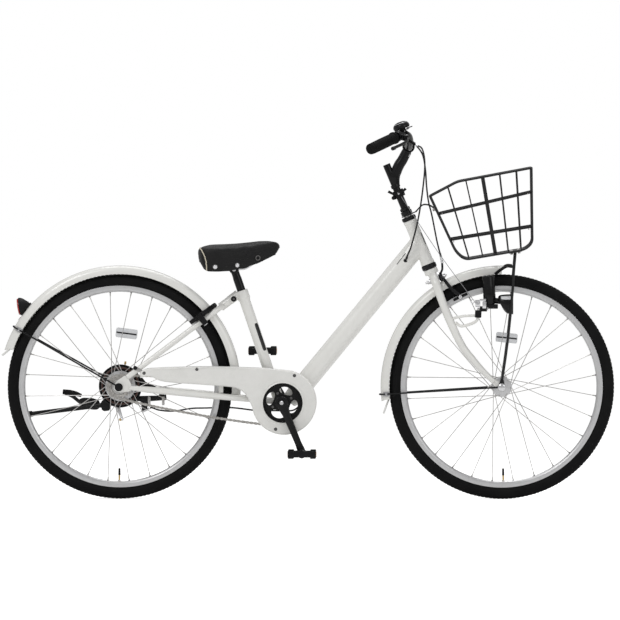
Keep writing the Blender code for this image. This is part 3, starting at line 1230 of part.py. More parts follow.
def make_stand():
    face = rear_outside + STAND_PLATE
    outline = link_outline(rear_axle, 0.012, flat(stand_pivot), 0.016)
    bracket = plate([outline, circle_outline(rear_axle, axle_bore)], STAND_PLATE,
                    rear_outside + STAND_PLATE / 2)
    pin = across(flat(stand_pivot), STAND_PIN_RADIUS, face - 0.001, 0.0880, 10)
    cap = across(flat(stand_pivot), 0.009, 0.0853, 0.0885, 8)
    part("stand_bracket", join(bracket, pin, cap), BLACK, "root", 0.4, 0.4)
    eye_start, eye_end = face + GAP, 0.0850
    eye = across(flat(stand_pivot), 0.012, eye_start, eye_end, 14)
    leg = rod([(-0.050, 0.0765, 0.2744), (-0.100, 0.086, 0.268), (-0.285, 0.133, 0.2435)],
              STAND_LEG_RADIUS, 6)
    foot = cylinder((-0.266, 0.1282, 0.246), (-0.292, 0.1348, 0.2426), 0.0095, 8)
    toe = rod([(-0.105, 0.0873, 0.2673), (-0.145, 0.092, 0.300), (-0.172, 0.094, 0.3125)], 0.006, 6)
    hole = across(flat(stand_pivot), STAND_PIN_RADIUS + GAP, 0.05, 0.1, 12)
    part("stand_leg", cut(join(leg, eye, foot, toe), hole), BLACK, "stand_leg", 0.4, 0.4)


# Seat post and saddle
SADDLE_TOP = ((0.238, 0.742), (0.250, 0.7485), (0.275, 0.7515), (0.310, 0.7530), (0.345, 0.7540),
              (0.385, 0.7565), (0.425, 0.7605), (0.460, 0.7625), (0.476, 0.752))
SADDLE_WIDTH = (0.076, 0.092, 0.101, 0.097, 0.077, 0.054, 0.041, 0.034, 0.020)
SADDLE_BOTTOM = (0.684, 0.670, 0.666, 0.669, 0.6755, 0.684, 0.697, 0.714, 0.732)
SADDLE_LEAN = (0.018, 0.014, 0.008, 0.004, 0.0, 0.0, 0.0, 0.0, 0.0)
saddle_ceiling = ((0.272, 0.060, 0.7045), (0.425, 0.022, 0.7150))


def make_saddle():
    """Padded top from a coarse cage, hollow underneath for the rails."""
    rings = []
    for (x, top), half, bottom, lean in zip(SADDLE_TOP, SADDLE_WIDTH, SADDLE_BOTTOM, SADDLE_LEAN):
        tall = top - bottom
        right = [(0.55 * half, top - 0.02 * tall, 0.0), (0.97 * half, top - 0.20 * tall, 0.2),
                 (half, top - 0.55 * tall, 0.5), (0.84 * half, bottom, 1.0)]
        ring_points = [(0.0, top, 0.0)] + right + [(0.0, bottom + 0.012, 1.0)]
        ring_points += [(-y, z, share) for y, z, share in reversed(right)]
        rings.append([Vector((x + lean * share, y, z)) for y, z, share in ring_points])
    cage = loft(rings)
    soft = cage.modifiers.new("padding", "SUBSURF")
    soft.levels = 1
    soft.render_levels = 1
    (x0, half0, z0), (x1, half1, z1) = saddle_ceiling
    hollow = []
    for drop in (0.09, 0.0):
        hollow.append([Vector((x0, -half0, z0 - drop)), Vector((x1, -half1, z1 - drop)),
                       Vector((x1, half1, z1 - drop)), Vector((x0, half0, z0 - drop))])
    part("saddle", cut(cage, loft(hollow)), BLACK, "seat", 0.5)

    def ceiling(x):
        return z0 + (z1 - z0) * (x - x0) / (x1 - x0) - GAP - 0.0016

    top = SEAT_TUBE_LENGTH + SEAT_POST_REACH
    post = cylinder(seat_line(SEAT_TUBE_LENGTH - SEAT_POST_INSERT), seat_line(top), SEAT_POST_RADIUS, 16)
    clamp = across(flat(seat_line(top)), SEAT_CLAMP_RADIUS, -0.027, 0.027, 12)
    rails = []
    for hand in (-1, 1):
        y = hand * 0.022
        rails.append(rod([(0.284, y, ceiling(0.284)), (0.284, y, 0.687), (0.296, y, 0.679),
                          (0.372, y, 0.680), (0.392, y * 0.8, 0.693), (0.400, y * 0.6, ceiling(0.400))],
                         0.0035, 6))
    part("seat_post", join(post, clamp, *rails), CHROME, "seat", 0.25, 0.9)


# Rear reflector on the fender
def make_reflector():
    reach = fender_outside + GAP
    housing = cylinder((-0.2975, 0, 0.5675), (-0.262, 0, 0.5730), 0.0262, 20, 0.012)
    room = across(rear_axle, reach / math.cos(math.pi / 96), -0.05, 0.05, 96)
    part("rear_reflector", cut(housing, room), BLACK, "root", 0.4)
    way = Vector((-0.988, 0, -0.153)).normalized()
    face = Vector((-0.2975, 0, 0.5675))
    lens = cylinder(face + way * GAP, face + way * 0.0058, 0.0245, 20)
    part("rear_reflector_lens", lens, RED, "root", 0.15)


# Cables, each along its real way
def cable(points, radius, count, sides=6):
    return rod(smooth(points, count), radius, sides)


def make_cables():
    for hand, route, count, name in ((1, REAR_CABLE_UPPER, 21, "rear_brake_cable_upper"),
                                     (-1, FRONT_CABLE, 21, "front_brake_cable")):
        adjuster = sided(ADJUSTER_END, hand)
        _, outward, forward = grip_place(hand)
        way = (adjuster - (perch_centre(hand) + forward * 0.019 - outward * 0.004)).normalized()
        last = front_cable_end if hand < 0 else CABLE_ENTRY
        points = [adjuster + way * GAP] + smooth([adjuster + way * 0.006] + list(route) + [last], count)
        part(name, rod(points, CABLE_RADIUS, 6), BLACK, "steering", 0.5)

    inside = (Vector(REAR_CABLE_LOWER[0]) - CABLE_ENTRY).normalized()
    housing_end = brake_anchor + brake_wire_way * (0.0078 + GAP)
    straight = [CABLE_ENTRY + inside * 2 * GAP] + [Vector(p) for p in REAR_CABLE_LOWER[:4]]
    outside = smooth(list(REAR_CABLE_LOWER[4:]) + [housing_end + brake_wire_way * 0.006, housing_end], 32)
    housing = rod(straight + outside, CABLE_RADIUS, 6)
    tail = brake_arm_end - brake_wire_way * (0.003 + GAP)
    wire = cylinder(housing_end + brake_wire_way * 0.003, tail - brake_wire_way * 0.006, WIRE_RADIUS, 6)
    nut = cylinder(tail, tail - brake_wire_way * 0.005, 0.0042, 8)
    part("rear_brake_cable", join(housing, wire, nut), BLACK, "root", 0.5)

    start = steer(LEVER_CLAMP_AT - LEVER_CLAMP_HEIGHT / 2 - GAP, 0.004, -0.0145)
    end = dynamo_hinge - X_AXIS * 0.012 + Z_AXIS * (0.0035 + 0.0035)
    middle = start.lerp(end, 0.5) - Vector((0.004, 0, 0.003))
    part("light_wire", cable([start, middle, end], WIRE_RADIUS, 12), SILVER, "steering", 0.4)


# One pivot for each body, then every piece
body("root")
body("seat", seat_line(SEAT_TUBE_LENGTH))
body("steering", steer(HEAD_TUBE_START))
body("front_wheel", polar(front_axle, 0, 0), "steering")
body("rear_wheel", polar(rear_axle, 0, 0))
body("crank", polar(bottom_bracket, 0, 0))
body("freewheel", polar(rear_axle, 0, 0))
for right_or_left in (-1, 1):
    crank_turn = CRANK_ANGLE if right_or_left < 0 else CRANK_ANGLE + 180
    pedal_point = polar(bottom_bracket, CRANK_LENGTH, crank_turn, right_or_left * PEDAL_Y)
    body("pedal_" + side_name(right_or_left), pedal_point, "crank")
    body("brake_lever_" + side_name(right_or_left), lever_pivot(right_or_left), "steering")
    body("caliper_arm_" + side_name(right_or_left), steer(CALIPER_AT), "steering")
body("brake_arm", (brake_arm_pivot[0], BRAKE_ARM_Y, brake_arm_pivot[1]))
body("bell_lever", bell_lever_pivot(), "steering")
body("light_lever", light_lever_centre, "steering")
body("dynamo", dynamo_hinge, "steering")
body("dynamo_roller", roller_centre, "dynamo")
body("lock_shackle", lock_centre)
body("stand_leg", stand_pivot)

make_frame()
make_wheels()
make_fenders()
make_fork()
make_stem()
make_handlebar()
make_bell()
make_drive()
make_basket()
make_caliper_arm(-1)
make_caliper_arm(1)
make_rear_brake()
make_dynamo()
make_lock()
make_stand()
make_saddle()
make_reflector()
make_cables()
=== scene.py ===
# The finished look of a white city bike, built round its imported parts.
# Metres, +X towards the front wheel, +Z up; the chain is on the -Y side.
import json
import math

import bmesh
import bpy
import numpy as np
from mathutils.bvhtree import BVHTree
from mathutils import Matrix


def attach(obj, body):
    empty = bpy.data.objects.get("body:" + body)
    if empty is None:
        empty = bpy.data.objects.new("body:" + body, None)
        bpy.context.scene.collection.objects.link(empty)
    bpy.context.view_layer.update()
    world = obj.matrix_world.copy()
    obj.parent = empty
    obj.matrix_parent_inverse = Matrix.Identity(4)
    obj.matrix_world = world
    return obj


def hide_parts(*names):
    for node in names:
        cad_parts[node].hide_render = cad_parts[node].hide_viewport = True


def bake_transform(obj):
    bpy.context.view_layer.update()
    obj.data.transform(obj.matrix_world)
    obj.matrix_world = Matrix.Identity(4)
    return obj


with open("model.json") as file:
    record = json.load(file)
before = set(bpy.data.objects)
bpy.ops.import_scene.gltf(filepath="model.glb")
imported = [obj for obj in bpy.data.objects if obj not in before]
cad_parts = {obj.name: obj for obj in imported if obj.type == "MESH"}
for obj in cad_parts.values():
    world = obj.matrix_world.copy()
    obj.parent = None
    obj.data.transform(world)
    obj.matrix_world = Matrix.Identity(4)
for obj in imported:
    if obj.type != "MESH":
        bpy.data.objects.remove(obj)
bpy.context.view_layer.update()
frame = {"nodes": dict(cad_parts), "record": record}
scene = bpy.context.scene
xAxis, yAxis, zAxis = np.eye(3)


# Places that many pieces share
bike = dict(rearAxle=(0, 0, 0.332), frontAxle=(1.128, 0, 0.332), crankAxle=(0.48, 0, 0.286),
    headAngle=67.3, rake=0.061, seatAngle=71.2, seatFoot=(0.4715, 0, 0.286), stayAngle=36.9,
    stayHeight=0.3423)
rearAxle, frontAxle, crankAxle = (np.array(bike[k]) for k in ("rearAxle", "frontAxle", "crankAxle"))
head, seat, stayTurn = (math.radians(bike[k]) for k in ("headAngle", "seatAngle", "stayAngle"))
steerUp = np.array([-math.cos(head), 0, math.sin(head)])
steerAhead = np.array([math.sin(head), 0, math.cos(head)])
steerFoot = frontAxle - steerAhead * bike["rake"]
seatUp = np.array([-math.cos(seat), 0, math.sin(seat)])
stayUp = np.array([math.cos(stayTurn), 0, math.sin(stayTurn)])


def steer(s, ahead=0.0, side=0.0):
    # s up the steering axis, then ahead of it and to the left
    return steerFoot + steerUp * s + steerAhead * ahead + yAxis * side


def seatLine(t):
    return np.array(bike["seatFoot"]) + seatUp * t


def onStay(x, y=0.0):
    # point at that x on the line of the two rear stays
    return np.array([x, y, bike["stayHeight"] + x * math.tan(stayTurn)])


def unit(v):
    v = np.asarray(v, float)
    return v / np.maximum(np.linalg.norm(v, axis=-1, keepdims=True), 1e-12)


def polar(centre, radius, degrees, y=0.0):
    # centre + radius (cos a, sin a) in a wheel's plane, a from +X towards +Z; takes arrays
    radius, degrees, y = np.broadcast_arrays(radius, np.radians(degrees), y)
    return np.asarray(centre) + np.stack([radius * np.cos(degrees), y, radius * np.sin(degrees)], -1)


def heading(degrees):
    # unit way at an angle in a wheel's plane
    return polar((0, 0, 0), 1, degrees)


def sided(points, hand):
    return np.asarray(points, float) * (1, hand, 1)


# Curves: points in, more points out
def smoothPath(points, count):
    # each span is the cubic through its two points with the slopes of their neighbours
    p = np.asarray(points, float)
    padded = np.vstack([2 * p[0] - p[1], p, 2 * p[-1] - p[-2]])
    place = np.linspace(0, len(p) - 1, count)
    i = np.minimum(place.astype(int), len(p) - 2)
    u = (place - i)[:, None]
    a, b, c, d = (padded[i + k] for k in range(4))
    return 0.5 * (2 * b + (c - a) * u + (2 * a - 5 * b + 4 * c - d) * u ** 2 + (3 * b - a - 3 * c + d) *
        u ** 3)


def rounded(points, radius, steps=4, closed=True):
    # each corner becomes the curve (1-t)^2 a + 2t(1-t) corner + t^2 b between points on its two sides
    p = np.asarray(points, float)
    back, on = np.roll(p, 1, 0) - p, np.roll(p, -1, 0) - p
    reach = np.minimum(np.linalg.norm(back, axis=1), np.linalg.norm(on, axis=1)) * 0.48
    reach = np.minimum(reach, radius)[:, None]
    if not closed:
        reach[[0, -1]] = 0
    a, b = p + unit(back) * reach, p + unit(on) * reach
    t = np.linspace(0, 1, steps + 1)[None, :, None]
    made = (1 - t) ** 2 * a[:, None] + 2 * t * (1 - t) * p[:, None] + t ** 2 * b[:, None]
    made = made.reshape(-1, p.shape[1])
    fresh = np.linalg.norm(made - np.roll(made, 1, 0), axis=1) > 1e-7
    fresh[0] = True
    return made[fresh]


def ovalProfile(wide, tall=None, sides=20):
    a = np.arange(sides) * 2 * math.pi / sides
    return np.stack([wide * np.cos(a), (wide if tall is None else tall) * np.sin(a)], 1)


def softSquare(power, sides=28):
    # rounded square: cos and sin to a power below 1, their signs kept
    ring = ovalProfile(1, 1, sides)
    return np.sign(ring) * np.abs(ring) ** power


def bothSides(half, *middle):
    # a profile's first half, what lies on its middle line, and the first half mirrored
    return [*half, *middle, *[(r, -y) for r, y in half[::-1]]]


def along(path):
    # length along a path up to each of its points
    return np.concatenate([[0], np.cumsum(np.linalg.norm(np.diff(path, axis=0), axis=1))])


def evenPath(path, count):
    # the same path with points at even steps of its length
    walked = along(path)
    at = np.linspace(0, walked[-1], count)
    return np.stack([np.interp(at, walked, path[:, k]) for k in range(3)], 1)


# Shapes: a pair of points and a list of face arrays
def grid(points, closeU=False, closeV=False, caps=False):
    # points in rows and columns; neighbours are joined, and caps close the first and last row
    rows, cols = points.shape[:2]
    index = np.arange(rows * cols).reshape(rows, cols)
    if closeU:
        index = np.vstack([index, index[:1]])
    if closeV:
        index = np.hstack([index, index[:, :1]])
    faces = [np.stack([index[:-1, :-1], index[1:, :-1], index[1:, 1:], index[:-1, 1:]], -1).reshape(-1,
        4)]
    if caps:
        faces += [index[:1, :cols][:, ::-1], index[-1:, :cols]]
    return points.reshape(-1, 3), faces


def together(*shapes):
    shift, allPoints, allFaces = 0, [], []
    for points, faces in shapes:
        allPoints.append(points)
        allFaces += [f + shift for f in faces]
        shift += len(points)
    return np.concatenate(allPoints), allFaces


def carry(path, profile, ref=yAxis, closed=False, size=None):
    # profile carried along a path: point = path + across x + upright y, across = heading x ref
    path, profile = np.asarray(path, float), np.asarray(profile, float)
    turn = np.roll(path, -1, 0) - np.roll(path, 1, 0) if closed else np.gradient(path, axis=0)
    ahead = unit(turn)
    across = unit(np.cross(ahead, ref))
    upright = np.cross(across, ahead)
    if profile.ndim == 2:
        profile = np.broadcast_to(profile, (len(path), *profile.shape))
    if size is not None:
        profile = profile * np.asarray(size, float).reshape(len(path), 1, -1)
    return path[:, None] + across[:, None] * profile[..., :1] + upright[:, None] * profile[..., 1:]


def tube(path, radius, sides=20, ref=yAxis, closed=False):
    # circle, or oval for a pair of radii, carried along a path and closed at its ends
    radius = np.asarray(radius, float)
    size = np.broadcast_to(radius if radius.ndim else radius[None], (len(path), *radius.shape[1:]))
    return grid(carry(path, ovalProfile(1, 1, sides), ref, closed, size), closed, True, not closed)


def roundRod(points, radius, count=40, sides=16, ref=yAxis):
    # smooth round bar through a few points; radius may change from point to point
    radius = np.asarray(radius, float)
    if radius.ndim:
        radius = np.interp(np.linspace(0, 1, count), np.linspace(0, 1, len(radius)), radius)
    return tube(smoothPath(points, count), radius, sides, ref)


def sides3(direction):
    # two unit vectors square to a direction; takes arrays
    direction = unit(direction)
    helper = np.where(np.abs(direction[..., 2:]) > 0.9, xAxis, zAxis)
    first = unit(np.cross(direction, helper))
    return first, np.cross(direction, first)


def rods(starts, ends, radius, endRadius=None, sides=8):
    # many straight round bars at once, each a ring of points at its two ends
    starts, ends = np.atleast_2d(starts).astype(float), np.atleast_2d(ends).astype(float)
    first, second = sides3(ends - starts)
    a = np.arange(sides) * 2 * math.pi / sides
    ring = first[:, None] * np.cos(a)[:, None] + second[:, None] * np.sin(a)[:, None]
    last = radius if endRadius is None else endRadius
    points = np.stack([starts[:, None] + ring * radius, ends[:, None] + ring * last], 1)
    number = np.arange(len(starts))[:, None] * 2 * sides
    k = np.arange(sides)
    on = (k + 1) % sides
    walls = np.stack([k, on, on + sides, k + sides], 1)[None] + number[..., None]
    return points.reshape(-1, 3), [walls.reshape(-1, 4), number + k[::-1], number + sides + k]


def turned(profile, origin, axis, steps=48, closed=False, span=(0, 360), first=None):
    # profile points (radius, height) turned about a line:
    # point = origin + axis height + (first cos a + second sin a) radius
    profile = np.asarray(profile, float)
    axis = unit(axis)
    first = sides3(axis)[0] if first is None else unit(first)
    second = np.cross(axis, first)
    full = abs(span[1] - span[0]) >= 359.9
    a = np.radians(np.linspace(*span, steps, endpoint=not full))
    way = first * np.cos(a)[:, None] + second * np.sin(a)[:, None]
    points = np.asarray(origin) + axis * profile[None, :, 1:] + way[:, None] * profile[None, :, :1]
    return grid(points, closeU=full, closeV=closed)


def wheelTurned(profile, centre, steps=96, closed=True, span=(0, 360)):
    # the same about a wheel's axle; profile points are (radius, y) and angles run from +X to +Z
    flipped = np.asarray(profile, float) * (1, -1)
    return turned(flipped, (centre[0], 0, centre[2]), -yAxis, steps, closed, span, xAxis)


def knob(start, end, radius, bevel=0.0006, sides=24, endRadius=None):
    # short round bar with rounded edges
    start, end = np.asarray(start, float), np.asarray(end, float)
    tall = np.linalg.norm(end - start)
    last = radius if endRadius is None else endRadius
    profile = rounded([(0, 0), (radius, 0), (last, tall), (0, tall)], bevel, 4, False)
    return turned(profile, start, end - start, sides)


def collar(centre, axis, inner, outer, length, bevel=0.0006, steps=32):
    half = length / 2
    profile = [(inner, half), (outer, half), (outer, -half), (inner, -half)]
    return turned(rounded(profile, bevel), centre, axis, steps, True)


def hexNut(start, end, radius, dome=0.0008):
    # six flat sides; the ends are drawn in a little towards the middle
    start, end = np.asarray(start, float), np.asarray(end, float)
    axis = unit(end - start)
    first, second = sides3(axis)
    a = np.arange(6) * math.pi / 3
    ring = first * np.cos(a)[:, None] + second * np.sin(a)[:, None]
    levels = np.array([0, dome, np.linalg.norm(end - start) - dome, np.linalg.norm(end - start)])
    size = np.array([0.88, 1, 1, 0.88]) * radius
    points = start + axis * levels[:, None, None] + ring[None] * size[:, None, None]
    return grid(points, closeV=True, caps=True)


def drawnIn(outline, distance):
    # a closed outline moved inwards by a distance, measured square to its sides
    on, back = unit(np.roll(outline, -1, 0) - outline), unit(outline - np.roll(outline, 1, 0))
    normal = unit(np.stack([-(on + back)[:, 1], (on + back)[:, 0]], 1))
    lean = np.maximum((normal * np.stack([-on[:, 1], on[:, 0]], 1)).sum(1), 0.5)[:, None]
    area = (outline[:, 0] * np.roll(outline[:, 1], -1) - np.roll(outline[:, 0], -1) * outline[:,
        1]).sum()
    return outline + normal * distance / lean * (1 if area > 0 else -1)


def slab(outline, thickness, origin=(0, 0, 0), right=xAxis, up=zAxis, bevel=0.0008):
    # flat plate on an outline, its middle at the origin given, edges rounded off by four rings
    outline = np.asarray(outline, float)
    out = np.cross(right, up)
    bevel = min(bevel, thickness * 0.45)
    levels = [(-thickness / 2, bevel), (-thickness / 2 + bevel * 0.3, bevel * 0.3),
        (-thickness / 2 + bevel, 0), (thickness / 2 - bevel, 0), (thickness / 2 - bevel * 0.3,
        bevel * 0.3), (thickness / 2, bevel)]
    rows = [np.asarray(origin) + drawnIn(outline, inset) @ np.array([right, up]) + out * level for
        level, inset in levels]
    return grid(np.array(rows), closeV=True, caps=True)


def block(centre, size, right=xAxis, up=yAxis, bevel=0.001, corner=None):
    # box with its upright corners and its edges rounded
    a, b = size[0] / 2, size[1] / 2
    shape = rounded([(-a, -b), (a, -b), (a, b), (-a, b)], corner or bevel)
    return slab(shape, size[2], centre, unit(right), unit(up), bevel)


def linkOutline(first, firstRadius, second, secondRadius, steps=14):
    # round two circles and the straight sides between them, points (x, z)
    first, second = np.asarray(first, float), np.asarray(second, float)
    way = math.atan2(second[1] - first[1], second[0] - first[0])
    lean = math.acos((firstRadius - secondRadius) / np.linalg.norm(second - first))
    a = np.linspace(way + lean, way + 2 * math.pi - lean, steps)
    b = np.linspace(way - lean, way + lean, steps)
    return np.concatenate([first + firstRadius * np.stack([np.cos(a), np.sin(a)], 1),
        second + secondRadius * np.stack([np.cos(b), np.sin(b)], 1)])


def takenFrom(bm):
    # the points and faces of a finished bmesh
    bm.verts.index_update()
    points = np.array([v.co[:] for v in bm.verts])
    faces = [np.array([[v.index for v in f.verts] for f in bm.faces if len(f.verts) == n],
        int).reshape(-1, n) for n in (3, 4)]
    bm.free()
    return points, faces


def holed(outer, holes, thickness, y, bevel=0.0008):
    # flat plate in the wheels' plane with holes: walls from each outline, faces filled between them
    bm = bmesh.new()
    for outline in [outer, *holes]:
        inward = bevel if outline is outer else -bevel
        walls = []
        for level, inset in ((-0.5, inward), (-0.5 + bevel / thickness, 0), (0.5 - bevel / thickness,
                0), (0.5, inward)):
            ring = drawnIn(np.asarray(outline, float), inset)
            walls.append([bm.verts.new((p[0], y + level * thickness, p[1])) for p in ring])
        for low, high in zip(walls, walls[1:]):
            for k in range(len(low)):
                bm.faces.new((low[k], low[k - 1], high[k - 1], high[k]))
    rims = [e for e in bm.edges if len(e.link_faces) == 1]
    for level in (-0.5, 0.5):
        flat = [e for e in rims if abs(e.verts[0].co.y - y - level * thickness) < 1e-7]
        bmesh.ops.triangle_fill(bm, edges=flat, use_beauty=True)
    return takenFrom(bm)


def placed(shape, origins, xWays, yWays):
    # one copy of a small shape at each origin, turned so that its x and y follow the ways given
    points, faces = shape
    origins, xWays, yWays = (np.atleast_2d(v).astype(float) for v in (origins, xWays, yWays))
    zWays = np.cross(xWays, yWays)
    turn = np.stack([xWays, yWays, zWays], 1)
    copies = origins[:, None] + np.einsum("pk,nkj->npj", points, turn)
    shift = (np.arange(len(origins)) * len(points))[:, None, None]
    return copies.reshape(-1, 3), [(f[None] + shift).reshape(-1, f.shape[1]) for f in faces]


def points3(mesh, what="co"):
    # places or normals of a mesh's points as rows of three
    flat = np.empty(len(mesh.vertices) * 3)
    mesh.vertices.foreach_get(what, flat)
    return flat.reshape(-1, 3)


def cleaned(mesh, apart):
    # points closer than a distance become one, and the faces point outwards
    bm = bmesh.new()
    bm.from_mesh(mesh)
    bmesh.ops.remove_doubles(bm, verts=bm.verts, dist=apart)
    bmesh.ops.recalc_face_normals(bm, faces=bm.faces)
    bm.to_mesh(mesh)
    bm.free()


# Pieces: rows are (finish, shape, shape, ...), made one mesh with a material for each finish
bodyOf = {node: body for body, nodes in frame["record"]["behaviour"]["bodies"].items() for node in
    nodes}


def piece(name, rides, *rows, stands=(), sharpAt=38, slot=None):
    points, faces = together(*[shape for _, *group in rows for shape in group])
    finishes = list(dict.fromkeys(finish for finish, *_ in rows))
    paints = [np.full(sum(len(f) for f in shape[1]), finishes.index(finish)) for finish, *group in rows
        for shape in group]
    mesh = bpy.data.meshes.new(name)
    mesh.from_pydata(points.tolist(), [], [row for f in faces for row in f.tolist()])
    for finish in finishes:
        mesh.materials.append(finish)
    mesh.polygons.foreach_set("material_index", np.concatenate(paints).astype(np.int32))
    cleaned(mesh, 2e-6)
    mesh.shade_smooth()
    mesh.set_sharp_from_angle(angle=math.radians(sharpAt))
    obj = bpy.data.objects.new(name, mesh)
    scene.collection.objects.link(obj)
    if isinstance(rides, str):
        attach(obj, rides)
    else:
        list(rides)
        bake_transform(obj)
    if stands:
        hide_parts(*stands)
    slot or stands[0]
    return obj


def dress(node, *rows, ending="_finished", sharpAt=38):
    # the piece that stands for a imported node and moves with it
    return piece(node + ending, bodyOf[node], *rows, stands=[node], sharpAt=sharpAt)


print("shapes ready")


# Finishes: expressions on values add their Math nodes
class Value:
    def __init__(self, finish, socket):
        self.finish, self.socket = finish, socket

    def maths(self, operation, first, second=0.0):
        return self.finish.node("ShaderNodeMath", {"operation": operation}, {0: first, 1: second})

    def __add__(self, other):
        return self.maths("ADD", self, other)

    def __sub__(self, other):
        return self.maths("SUBTRACT", self, other)

    def __rsub__(self, other):
        return self.maths("SUBTRACT", other, self)

    def __mul__(self, other):
        return self.maths("MULTIPLY", self, other)

    __radd__, __rmul__ = __add__, __mul__

    def clamp(self):
        return self.finish.node("ShaderNodeClamp", {}, {0: self})

    def ramp(self, low, high):
        # 0 below low, 1 above high, straight between them
        return self.finish.node("ShaderNodeMapRange", {"clamp": True}, {0: self, 1: low, 2: high})

    def sine(self):
        return self.maths("SINE", self)

    def root(self):
        return self.maths("SQRT", self)


class Finish:
    def __init__(self, name, **fixed):
        self.material = bpy.data.materials.new(name)
        self.material.use_nodes = True
        self.tree = self.material.node_tree
        self.shader = self.tree.nodes["Principled BSDF"]
        for socket, value in fixed.items():
            self.shader.inputs[socket.replace("_", " ")].default_value = value

    def node(self, kind, settings, inputs, output=0):
        made = self.tree.nodes.new(kind)
        for key, value in settings.items():
            setattr(made, key, value)
        for key, value in inputs.items():
            if isinstance(value, Value):
                self.tree.links.new(value.socket, made.inputs[key])
            else:
                made.inputs[key].default_value = value
        return Value(self, made.outputs[output])

    def place(self):
        return self.node("ShaderNodeTexCoord", {}, {}, "Object")

    def mapped(self, move):
        return self.node("ShaderNodeMapping", {}, {"Vector": self.place(), "Location": move})

    def parts(self, vector):
        # the three numbers of a vector
        split = self.tree.nodes.new("ShaderNodeSeparateXYZ")
        self.tree.links.new(vector.socket, split.inputs[0])
        return [Value(self, out) for out in split.outputs]

    def noise(self, scale, detail=2.0, rough=0.5, vector=None):
        return self.node("ShaderNodeTexNoise", {}, {"Vector": vector or self.place(), "Scale": scale,
            "Detail": detail, "Roughness": rough})

    def cells(self, scale, feature="F1", vector=None):
        return self.node("ShaderNodeTexVoronoi", {"feature": feature}, {"Vector": vector or
            self.place(), "Scale": scale}, "Distance")

    def mix(self, share, first, second):
        pick = {0: share, 6: first if isinstance(first, Value) else (*first, 1.0), 7: second if
            isinstance(second, Value) else (*second, 1.0)}
        return self.node("ShaderNodeMix", {"data_type": "RGBA"}, pick, 2)

    def bump(self, height, distance, strength=1.0):
        return self.node("ShaderNodeBump", {}, {"Height": height, "Distance": distance, "Strength":
            strength})

    def wear(self, **values):
        for socket, value in values.items():
            self.tree.links.new(value.socket, self.shader.inputs[socket.replace("_", " ")])
        return self.material


def plainFinish(name, colour, other, rough, spread=0.06, metal=0.0, grain=900.0, depth=0.00003,
        cloud=14.0, coat=0.0, dust=0.0, **fixed):
    # two close colours in soft clouds, roughness that drifts with them, and a fine grain
    made = Finish(name, Metallic=metal, Coat_Weight=coat, Coat_Roughness=0.06, **fixed)
    clouds = made.noise(cloud, 4.0, 0.6)
    fine = made.noise(grain, 2.0, 0.5)
    base = made.mix(clouds.ramp(0.3, 0.7), colour, other)
    ruffle = (clouds * spread + fine * (spread * 0.6)) + (rough - spread * 0.8)
    if dust:
        height = made.parts(made.place())[2]
        low = (1 - height.ramp(0.02, 0.55)) * made.noise(38.0, 6.0, 0.7).ramp(0.38, 0.8) * dust
        base = made.mix(low, base, (0.36, 0.33, 0.29))
        ruffle = ruffle + low * 0.3
    return made.wear(Base_Color=base, Roughness=ruffle.clamp(), Normal=made.bump(fine, depth))


def wheelFinish(name, colour, other, rough, centre, lines=2600.0, metal=1.0, depth=0.00002, dust=0.0):
    # fine turning marks: a noise read by distance from the axle, so that its rings follow the wheel
    made = Finish(name, Metallic=metal)
    x, y, z = made.parts(made.mapped(tuple(-np.array(centre))))
    radius = (x * x + z * z).root()
    rings = made.node("ShaderNodeCombineXYZ", {}, {0: radius * lines, 1: y * 240.0, 2: 0.0})
    marks = made.noise(1.0, 2.0, 0.6, rings)
    clouds = made.noise(9.0, 4.0, 0.6)
    base = made.mix(marks.ramp(0.25, 0.75), colour, other)
    grime = made.noise(60.0, 6.0, 0.7).ramp(0.52, 0.85) * dust
    base = made.mix(grime, base, (0.22, 0.2, 0.18))
    ruffle = (marks * 0.14 + clouds * 0.1) + (rough - 0.12) + grime * 0.3
    return made.wear(Base_Color=base, Roughness=ruffle.clamp(), Normal=made.bump(marks, depth))


def paintFinish(name, colour, other):
    # gloss paint: faint drift of tone, tiny pearl specks, orange peel and a film of dust low down
    made = Finish(name, Coat_Weight=0.55, Coat_Roughness=0.05, Specular_IOR_Level=0.5)
    clouds = made.noise(7.0, 3.0, 0.5)
    specks = made.cells(2600.0)
    peel = made.noise(320.0, 1.0, 0.4)
    base = made.mix(clouds.ramp(0.35, 0.7), colour, other)
    base = made.mix((1 - specks.ramp(0.05, 0.3)) * 0.35, base, (0.93, 0.925, 0.9))
    height = made.parts(made.place())[2]
    film = (1 - height.ramp(0.1, 0.5)) * made.noise(30.0, 6.0, 0.7).ramp(0.45, 0.9) * 0.22
    base = made.mix(film, base, (0.52, 0.49, 0.44))
    ruffle = clouds * 0.08 + 0.2 + film * 0.8
    return made.wear(Base_Color=base, Roughness=ruffle, Normal=made.bump(peel, 0.00006, 0.6))


def vinylFinish(name, colour, other):
    # pressed leather grain: rounded cells with creases between them, worn smoother on the crests
    made = Finish(name, Specular_IOR_Level=0.24)
    warp = made.noise(90.0, 3.0, 0.6)
    x, y, z = made.parts(made.place())
    bent = made.node("ShaderNodeCombineXYZ", {}, {0: x + warp * 0.004, 1: y + warp * 0.003, 2: z})
    creases = made.cells(520.0, "DISTANCE_TO_EDGE", bent).ramp(0.0, 0.32)
    pores = made.noise(1500.0, 2.0, 0.6)
    clouds = made.noise(11.0, 3.0, 0.5)
    base = made.mix(clouds.ramp(0.3, 0.75) * 0.6 + (1 - creases) * 0.25, colour, other)
    ruffle = (1 - creases) * 0.22 + clouds * 0.1 + 0.33
    normal = made.bump(creases * 0.8 + pores * 0.2, 0.00022, 0.7)
    return made.wear(Base_Color=base, Roughness=ruffle, Normal=normal)


